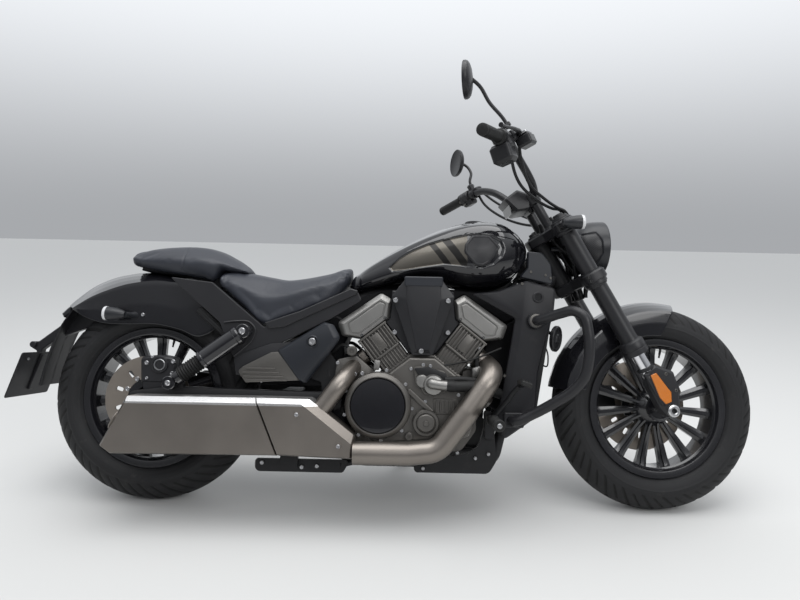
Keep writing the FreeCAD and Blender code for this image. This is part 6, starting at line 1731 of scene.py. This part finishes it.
# %% Mirrors
MIRROR_SHELL = [(47, -3.5), (50, -5), (52, -3.5), (52, 3), (49.5, 8), (43, 13), (30, 17), (12, 19.5),
                (2, 20)]
MIRROR_GLASS = [(2, -2.6), (30, -2.7), (47.6, -3.2), (47.6, -1)]
shells, glasses = [], []
for side, head, stalk in ((-1, (-60, -332, 1120), [(-10, 304, 950), (-11, 304, 980), (-24, 308, 1040),
                                                   (-29, 318, 1092), (-44, 330, 1118)]),
                          (1, (-8, 334, 1074), [(-10, 304, 950), (-8, 304, 976), (16, 312, 1008),
                                                (18, 326, 1044), (4, 333, 1070)])):
    ahead = (math.cos(RAKE) * 0.96, side * 0.28, -math.sin(RAKE) * 0.96)
    shells.append(turned_at(head, ahead, MIRROR_SHELL, 72, (0, 0, 1)))
    glasses.append(turned_at(head, ahead, MIRROR_GLASS, 72, (0, 0, 1)))
    arm = tube([(x, side * y, z) for x, y, z in stalk], lambda t: 5.2 + 2.4 * rise(0.12, 0, t), 16, 10)
    nut = turned([(8, 0), (11, 1), (11, 10), (8, 12)], 6)
    shells += [arm, (nut[0] + (-10, side * 304, 955), nut[1])]
mirrors = piece("mirror_shells", shells, "satin_black", "steering", FORK)
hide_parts("mirrors")
piece("mirror_glass", glasses, "chrome", "steering", FORK)

# %% [markdown]
# ## Meter and hoses
#
# The meter is a low box over the bar's middle with its screen towards the rider. Four hoses and cables
# leave the bar's controls, hang in a bow beside the clamps and go in behind the headlamp. They turn
# with the bars, so both their ends ride on the fork and they keep their shape.

# %% Meter and hoses
METER = [(-42, 812, 6), (12, 820, 8), (44, 786, 8), (20, 742, 10), (-24, 756, 12)]
meter_box = plate(METER, [(-56, 7), (-50, 1), (-46, 0), (46, 0), (50, 1), (56, 7)], 1, 6)
meter_foot = block((34, 70, 26), 4, (34, 0, 746), radius=8)
meter = piece("meter_case", [meter_box, meter_foot], "satin_black", "steering", FORK, sharp=30)
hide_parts("instrument")
screen = block((50, 92, 3), 1, (-34, 0, 785), (-0.98, 0, 0.18), (0.2, 0, 1), 8)
piece("meter_screen", [screen], "gloss_black", "steering", FORK)
hose_lines = [
    [(-10, -282, 925), (-26, -262, 890), (-30, -214, 812), (4, -176, 748), (52, -128, 706),
     (84, -96, 690), (92, -80, 640)],
    [(4, -276, 905), (-8, -258, 862), (-8, -222, 792), (26, -178, 740), (70, -124, 700), (96, -96, 680),
     (100, -84, 630)],
    [(-8, 284, 922), (-14, 262, 876), (2, 216, 800), (30, 172, 744), (62, 120, 702), (88, 92, 684),
     (92, 80, 640)],
    [(4, 276, 925), (18, 246, 866), (44, 196, 790), (66, 150, 738), (84, 104, 702), (92, 84, 650)]]
cables = piece("bar_hoses", [tube(line, 4.6, 12, 12, (0, 0, 1)) for line in hose_lines], "cable_black",
               "steering", FORK)
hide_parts("control_cables")

# %% [markdown]
# ## Shock absorbers
#
# Each shock is a turned body with a ribbed rubber boot and an eye at both ends. Body and boot share one
# axis, from the upper bolt to the lower one, and only their profiles and finishes differ.

# %% Shock absorbers
SHOCK_TOP, SHOCK_FOOT = (306, 168, 535), (94, 168, 379)


def eye(place, radius, near, far):
    """A round eye whose axis lies across the machine."""
    points, faces = round_y([(near, 6), (near, radius - 2), (near + 2, radius), (far - 2, radius),
                             (far, radius - 2), (far, 6)], 48)
    return points + (place[0], 0, place[2]), faces


shock_body = [(10, 12), (26, 13), (30, 17), (30, 27), (28.5, 29), (28.5, 138), (31, 140), (31, 149),
              (28, 151), (24, 153)]
boot = [(25 - 4.5 * (i % 2), 153 + 3.9 * i) for i in range(19)]
shock_end = [(22, 226), (22.5, 230), (22.5, 240), (15, 242), (13, 262)]
shock_down = np.array(SHOCK_FOOT) - SHOCK_TOP
shock_parts, boots = [], []
for rows, store in ((shock_body, shock_parts), (boot, boots), (shock_end, shock_parts)):
    store.append(turned_at(SHOCK_TOP, shock_down, rows, 56))
shock_parts += [eye(SHOCK_TOP, 21, 150, 186), eye(SHOCK_FOOT, 20, 148.5, 186)]
shocks = piece("shock_bodies", shock_parts + [mirrored(part) for part in shock_parts], "gloss_black",
               "chassis")
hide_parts("rear_shocks")
piece("shock_boots", boots + [mirrored(part) for part in boots], "black_rubber", "chassis")
bolts("shock_bolts", [(x, side * 186, z, size) for side in (-1, 1)
                      for x, y, z, size in ((*SHOCK_TOP, 20), (*SHOCK_FOOT, 16))], "bare_steel", "chassis")

# %% [markdown]
# ## Swingarm and rear axle
#
# The swingarm is a pair of bevelled plates joined by two bridges, with an ear for the shock and a
# raised rib on each. It could be bent from tube, but on such machines the rear part is a casting with
# flat sides.

# %% Swingarm and rear axle
ARM = [(602, 304, 22), (602, 356, 22), (90, 366, 24), (-30, 350, 20), (-48, 323, 12), (-36, 296, 20),
       (90, 296, 24)]
arm_parts = []
for side in (-1, 1):
    arm_parts.append(plate(ARM, [(118, 4), (122, 0), (144, 0), (146.5, 1.5), (148, 5)], side, 7))
    arm_parts.append(plate([(62, 340), (132, 340, 6), (116, 392, 14), (74, 396, 14)],
                           [(120, 2), (122, 0), (145, 0), (147, 2)], side))
    arm_parts.append(plate([(120, 320, 8), (520, 322, 8), (520, 340, 8), (120, 344, 8)],
                           [(146, 0), (149.5, 0), (151, 2)], side))
arm_parts += [block((60, 238, 44), 5, (422, 0, 329), radius=10),
              block((30, 240, 32), 4, (568, 0, 330), radius=10)]
swing = piece("swingarm_casting", arm_parts, "frame_black", "chassis", sharp=25)
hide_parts("swingarm")
rear_axle = round_y([(-156, 8), (-160, 9.5), (-160, 15), (-156, 18), (-148, 19), (-148, 11), (148, 11),
                     (148, 19), (156, 18), (160, 15), (160, 9.5), (156, 8)], 48)
rear_rod = piece("rear_axle_rod", [(rear_axle[0] + (0, 0, 323), rear_axle[1])], "bare_steel", "chassis")
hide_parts("rear_axle")

# %% [markdown]
# ## Calipers and disc bobbins
#
# A caliper is a casting in two halves with the disc's slot between them and a round piston cover. Each
# half is a bevelled plate, so the slot is simply left between two plates. The discs hang on a ring of
# ten bobbins, which ride on their wheel.

# %% Calipers and bobbins
CALIPER = [(-10, 372, 8), (-14, 452, 14), (40, 458, 18), (88, 452, 14), (96, 424, 10), (92, 372, 8)]
caliper_parts = [plate(CALIPER, [(82, 5), (86, 0), (91, 0)], -1, 6),
                 plate(CALIPER, [(101, 0), (126, 0), (130, 2), (134, 7)], -1, 6),
                 plate([(-12, 430), (-12, 453, 12), (38, 459, 16), (88, 453, 12), (92, 430)],
                       [(90, 1), (102, 1)], -1),
                 plate([(-2, 352), (56, 352), (60, 400), (-6, 400)], [(118, 0), (132, 2)], -1),
                 out_from(47, 429, [(26, -40), (26, -34), (24, -31), (20, -31), (19, -34), (4, -34)], 56)]
rear_brake = piece("rear_caliper_casting", caliper_parts, "satin_black", "chassis", sharp=25)
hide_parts("rear_caliper")
PISTON_RING = [(17.5, -36), (17.5, -32), (16.5, -31), (14.5, -31), (13.5, -33), (13.5, -36)]
piece("caliper_ring", [out_from(47, 429, PISTON_RING, 48)], "bare_steel", "chassis")
bolts("caliper_bolts", [(8, -135, 434, 13), (88, -135, 439, 13), (86, -135, 404, 12), (24, -135, 452, 9),
                        (10, -135, 388, 9)], "bare_steel", "chassis")
FRONT_CALIPER = [(-168, -22, 12), (-170, 50, 14), (-96, 66, 16), (-82, -14, 14)]
front_parts = [plate(FRONT_CALIPER, [(70, 5), (72, 0), (75, 0)], 1, 6),
               plate(FRONT_CALIPER, [(82, 0), (98, 0), (101, 2), (104, 6)], 1, 6),
               plate([(-169, -18, 10), (-170, 48, 10), (-150, 53, 8), (-148, -16, 8)], [(74, 1), (83, 1)],
                     1),
               plate([(-150, 0, 8), (-150, 34, 8), (-108, 40, 8), (-104, 0, 8)],
                     [(100, 0), (106, 0), (108, 3)], 1)]
front_brake = piece("front_caliper_casting", front_parts, "satin_black", "steering", FRONT_WHEEL, sharp=25)
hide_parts("front_caliper")
bolts("front_caliper_bolts", [(x, 104, z, 11) for x, z in ((-158, -10), (-160, 40), (-96, 54), (-94, -2))],
      "bare_steel", "steering", FRONT_WHEEL)
for name, matrix, far in (("front_wheel", FRONT_WHEEL, 81), ("rear_wheel", REAR_WHEEL, -98)):
    ring = [(68 * math.cos(a), far, 68 * math.sin(a), 15) for a in np.arange(0.2, 6.2, math.pi / 5)]
    bolts(name.replace("wheel", "disc_bobbins"), ring, "bare_steel", name, matrix)

# %% [markdown]
# ## Drive belt
#
# The belt runs round the small pulley at the gearbox and the large one at the wheel. Its path is one
# closed line of two arcs and two straight runs, cut into even steps. The teeth are made by moving the
# inner line in and out along that path, two steps each way, so they stay even round the pulleys.

# %% Belt
PULLEY_X, PULLEY_Z = 664, 330
BELT = {"rear": (0, 323, 96.5), "front": (PULLEY_X, PULLEY_Z, 42.5)}


def belt_path(step):
    """Points and outward directions along the belt: two arcs and the straight runs between them."""
    (x0, z0, r0), (x1, z1, r1) = BELT["rear"], BELT["front"]
    tilt, reach = math.atan2(z1 - z0, x1 - x0), math.hypot(x1 - x0, z1 - z0)
    lean = math.acos((r0 - r1) / reach)
    big = np.linspace(tilt + lean, tilt + 2 * math.pi - lean, 90)
    small = np.linspace(tilt - lean, tilt + lean, 40)
    loop = np.r_[np.c_[x0 + r0 * np.cos(big), z0 + r0 * np.sin(big)],
                 np.c_[x1 + r1 * np.cos(small), z1 + r1 * np.sin(small)]]
    loop = np.vstack([loop, loop[:1]])
    run = np.r_[0, np.cumsum(np.linalg.norm(np.diff(loop, axis=0), axis=1))]
    count = int(run[-1] / step) // 4 * 4
    at = np.linspace(0, run[-1], count, endpoint=False)
    line = np.stack([np.interp(at, run, loop[:, i]) for i in (0, 1)], -1)
    ahead = np.roll(line, -1, 0) - np.roll(line, 1, 0)
    ahead /= np.linalg.norm(ahead, axis=1, keepdims=True)
    return line, np.stack([ahead[:, 1], -ahead[:, 0]], -1)


line, outward = belt_path(3.5)
tooth = np.where(np.arange(len(line)) % 4 < 2, 0.0, 1.6)[:, None]
inner, outer = line + outward * tooth, line + outward * 4.4
band_edges = ((inner, 87), (outer, 87), (outer, 109), (inner, 109))
band = np.stack([np.insert(edge, 1, y, axis=1) for edge, y in band_edges], 1)
PULLEY = [(12, 0), (39.5, 0), (41, 1), (41, 22), (39.5, 23), (30, 23), (28, 18), (12, 18)]
pulley = turned_at((PULLEY_X, 86, PULLEY_Z), (0, 1, 0), PULLEY, 96, (0, 0, 1), ripple=0.02, teeth=24,
                   rows=(1, 2, 3, 4))
belt = piece("belt_band", [(band, grid_faces(len(line), 4, True, True)), pulley], "black_rubber",
             "chassis", sharp=30)
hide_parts("drive_belt")

# %% [markdown]
# ## Tail
#
# A bent arm under the fender's tail carries the number plate's blank holder and a rubber flap. The rear
# turn signals stand on short stalks, and a slim lamp sits below the tail's edge. The plate stays blank.

# %% Plate holder, flap and tail lamp
HOLDER = [(-228, 648, 4), (-262, 628, 4), (-268, 590, 16), (-398, 490, 8), (-420, 488, 8), (-422, 470, 8),
          (-404, 460, 4), (-404, 430, 3), (-390, 430, 3), (-386, 464, 6), (-338, 500, 12),
          (-262, 530, 20), (-208, 546, 8), (-208, 582, 10)]
holder = [plate(HOLDER, [(-13, 2.5), (-10.5, 0), (10.5, 0), (13, 2.5)], 1),
          rod((-412, -22, 480), (-412, 22, 480), 10)]
plate_up, plate_down = (-0.946, 0, 0.324), (-0.324, 0, -0.946)
holder += [block((148, 220, 3), 1, (-411, 0, 386), plate_up, plate_down, 9),
           block((120, 26, 8), 2, (-405, 0, 392), plate_up, plate_down, 6),
           block((14, 190, 7), 2, (-398, 0, 430), plate_up, plate_down, 5)]
flap_line = smooth_line([(-250, 612), (-272, 584), (-300, 540), (-324, 482), (-343, 418), (-358, 352)], 40)
for near, far, depth in ((-60, 60, 3.0), (-52, -46, 5.5), (46, 52, 5.5), (-3, 3, 5.5)):
    holder.append(skin([[(x, near, z), (x, far, z), (x - depth, far, z + depth * 0.3),
                         (x - depth, near, z + depth * 0.3)] for x, z in flap_line]))
tail = piece("plate_arm_and_flap", holder, "shroud_black", "chassis", sharp=30)
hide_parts("plate_holder")
bolts("plate_bolts", [(-393, y, 436, 9, (0.946, 0, -0.324)) for y in (-70, 70)]
      + [(-26, side * 100, 580, 11) for side in (-1, 1)], "bare_steel", "chassis")
TAIL_LAMP = [(-276, 612, 3), (-292, 600, 3), (-312, 580, 4), (-304, 566, 4), (-278, 582, 4)]
lamp_body = plate(TAIL_LAMP, [(-46, 5), (-42, 1), (-38, 0), (38, 0), (42, 1), (46, 5)], 1)
REAR_STALK = [(-52, 92, 577), (-56, 108, 577), (-62, 124, 578), (-66, 136, 578)]
stalks = [tube([(x, side * y, z) for x, y, z in REAR_STALK], lambda t: 13 - 4 * rise(0, 0.6, t), 20, 8)
          for side in (-1, 1)]
tail_lamp = piece("tail_lamp_body", [lamp_body] + stalks, "lamp_dark", "chassis")
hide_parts("rear_lamps")
finish("tail_red", speckled((0.20, 0.010, 0.010), 0.15, 500, 0.0003, 0.18, 0.03, dusty=0.04),
       Coat_Weight=0.7)
piece("tail_lens", [block((22, 74, 5), 1.5, (-304, 0, 586), (-0.72, 0, 0.7), (0.7, 0, 0.72), 3)],
      "tail_red", "chassis")

# %% [markdown]
# ## Engine guards
#
# The guards are bent tubes that start in a clamp on the frame in front of the radiator and end at the
# lower rail. The line's points lie where the real tube's bends start and end, and a bright collar shows
# at its clamp.

# %% Engine guards
guard_line = [(1176, -150.5, 584), (1180, -170, 585), (1196, -188, 590), (1232, -222, 604),
              (1262, -254, 610), (1284, -272, 594), (1294, -278, 552), (1296, -278, 480),
              (1284, -272, 422), (1256, -256, 384), (1214, -232, 350), (1160, -206, 314),
              (1112, -184, 288), (1102, -151, 286)]
socket = [(14, 0), (23, 0), (24, 2), (24, 9), (22, 12), (15, 12)]
guard_parts = [tube(guard_line, 15, 28, 8, (0.2, 1, 0.1)),
               turned_at((1174, -150.5, 584), (0.1, -1, 0), socket, 40),
               block((60, 12, 44), 3, (1112, -156, 288), radius=10)]
guards = piece("guard_tubes", guard_parts + [mirrored(part) for part in guard_parts], "satin_black",
               "chassis")
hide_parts("engine_guards")
collar = turned_at((1176, -160, 584), (0.1, -1, 0), [(16, 0), (20, 1), (20, 3), (16, 4)], 40)
piece("guard_collars", [collar, mirrored(collar)], "engine_grey", "chassis")

# %% [markdown]
# ## Pegs and pedals
#
# Each peg is ribbed rubber on a bar that an arm carries, and the pedal's pad stands ahead of it on a bent
# lever. The ribs are rows of the turned profile that go in and out.

# %% Pegs and pedals
peg_rows = [(6, 0), (13, 0), (15, 2)] + [(16 - 1.6 * (i % 2), 5 + 3 * i) for i in range(32)]
peg_rows += [(17, 102), (17, 108), (14, 111), (4, 111)]
peg = turned_at((1044, -203, 292), (0, -1, 0), peg_rows, 40)
arms = [plate([(1030, 226, 10), (1058, 226, 8), (1062, 300, 14), (1026, 318, 12)],
              [(120, 2), (122, 0), (132, 0), (134, 2)], -1),
        rod((1044, -132, 292), (1044, -206, 292), 11), block((34, 26, 30), 4, (1044, -192, 292),
                                                             (0, -1, 0), (1, 0, 0), 8),
        tube([(1044, -146, 292), (1058, -158, 308), (1084, -176, 340), (1108, -192, 378),
              (1120, -206, 394), (1120, -246, 398)], lambda t: 8.5 - 1.5 * t, 16, 8)]
pads = [block((34, 62, 14), 3, (1120, -272, 404), (0.35, 0, 1), (1, 0, -0.35), 8)]
pads += [block((4, 56, 4), 1, (1120 + 8 * i, -272, 412 - 2.8 * i), (0.35, 0, 1), (1, 0, -0.35), 1.5)
         for i in (-1, 0, 1)]
arms = piece("peg_arms", arms + [mirrored(part) for part in arms], "frame_black", "chassis", sharp=30)
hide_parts("foot_controls")
rubbers = [peg] + pads
piece("peg_rubbers", rubbers + [mirrored(part) for part in rubbers], "black_rubber", "chassis", sharp=30)
bolts("peg_bolts", [(1044, side * 314, 292, 14) for side in (-1, 1)], "bare_steel", "chassis")

# %% [markdown]
# ## Lower bolts and the silencer's end
#
# Bolts hold the brackets below the engine and the silencer's shield. The silencer's outlet is a rolled ring
# round a near-black disc at its rear end, painted shade that stands for the open hole.

# %% Lower bolts and outlet
bolts("lower_bolts", [(369, -147, 148, 12), (1081, -131, 282, 12), (1003, -131, 170, 10),
                      (949, -131, 185, 10), (847, -131, 137, 10), (1042, -131, 183, 10),
                      (487, -147, 137, 12), (532, -147, 141, 12)], "bare_steel", "chassis")
# Painted shade: the outlet's hole is a near-black disc, not an open pipe.
for name, rows, look in (("outlet_ring", [(31, -4), (34, 0), (33, 3), (30, 3), (28, -2)], "exhaust_bronze"),
                         ("outlet_hole", [(29, 0.8), (12, 0.6), (3, 0.5)], "black_void")):
    piece(name, [turned_at((-42, -203, 273), (-0.89, 0, 0.455), rows, 56, (0, 1, 0))], look, "chassis")
SHIELD_BOLTS = [(483, 302), (603, 216)]
bolts("silencer_bolts", [(x, -243, z, 12) for x, z in SHIELD_BOLTS], "bare_steel", "chassis")
piece("silencer_washers", [out_from(x, z, [(10.5, 0), (10, 1.2), (6, 1.4)], 40, start=243) for x,
                           z in SHIELD_BOLTS], "exhaust_bronze", "chassis")

# %% [markdown]
# ## Floor, backdrop and light
#
# The machine stands on a plain pale floor under an even sky, as on an overcast day. The world gives
# most of the light, and two large lamps overhead put the long soft highlights on the tank and fenders.

# %% Stage and lamps


def stage_material(name, colour):
    """A dull even finish."""
    material = bpy.data.materials.new(name)
    material.use_nodes = True
    shader = material.node_tree.nodes["Principled BSDF"]
    shader.inputs["Base Color"].default_value = (*colour, 1)
    shader.inputs["Roughness"].default_value = 0.9
    shader.inputs["Specular IOR Level"].default_value = 0.2
    return material


floor_mesh = bpy.data.meshes.new("floor")
floor_mesh.from_pydata([(-14, -9, 0), (14, -9, 0), (14, 16, 0), (-14, 16, 0)], [], [(0, 1, 2, 3)])
floor = bpy.data.objects.new("floor", floor_mesh)
bpy.context.collection.objects.link(floor)
floor_mesh.materials.append(stage_material("pale_floor", (0.60, 0.60, 0.59)))

world = bpy.data.worlds.new("sky")
world.use_nodes = True
bpy.context.scene.world = world
background = world.node_tree.nodes["Background"]
heading = Sock(world.node_tree, None).node("TexCoord", out=0).parts()
near_sky, far_sky = heading[2].step(0.0, 0.75), heading[2].step(-0.02, 0.38) * 0.68 + 0.32
share = (far_sky - near_sky) * heading[1].step(-0.1, 0.55) + near_sky
sky = share.mix((0.14, 0.145, 0.155), (1.05, 1.08, 1.12))
world.node_tree.links.new(sky.link, background.inputs["Color"])
background.inputs["Strength"].default_value = 0.9


def lamp(name, place, target, size, watts):
    """A flat lamp that faces a target."""
    data = bpy.data.lights.new(name, "AREA")
    data.shape = "RECTANGLE"
    data.size, data.size_y = size
    data.energy = watts
    thing = bpy.data.objects.new(name, data)
    bpy.context.collection.objects.link(thing)
    thing.location = place
    thing.rotation_mode = "QUATERNION"
    thing.rotation_quaternion = (Vector(target) - Vector(place)).to_track_quat("-Z", "Y")


lamp("overhead", (0.2, -0.6, 4.2), (0, 0, 0.5), (4.5, 3.0), 120)
lamp("front_fill", (2.5, -4.0, 3.2), (0.3, 0, 0.6), (2.5, 2.0), 60)

# %% Close the file
bpy.context.scene.view_settings.view_transform = "Standard"
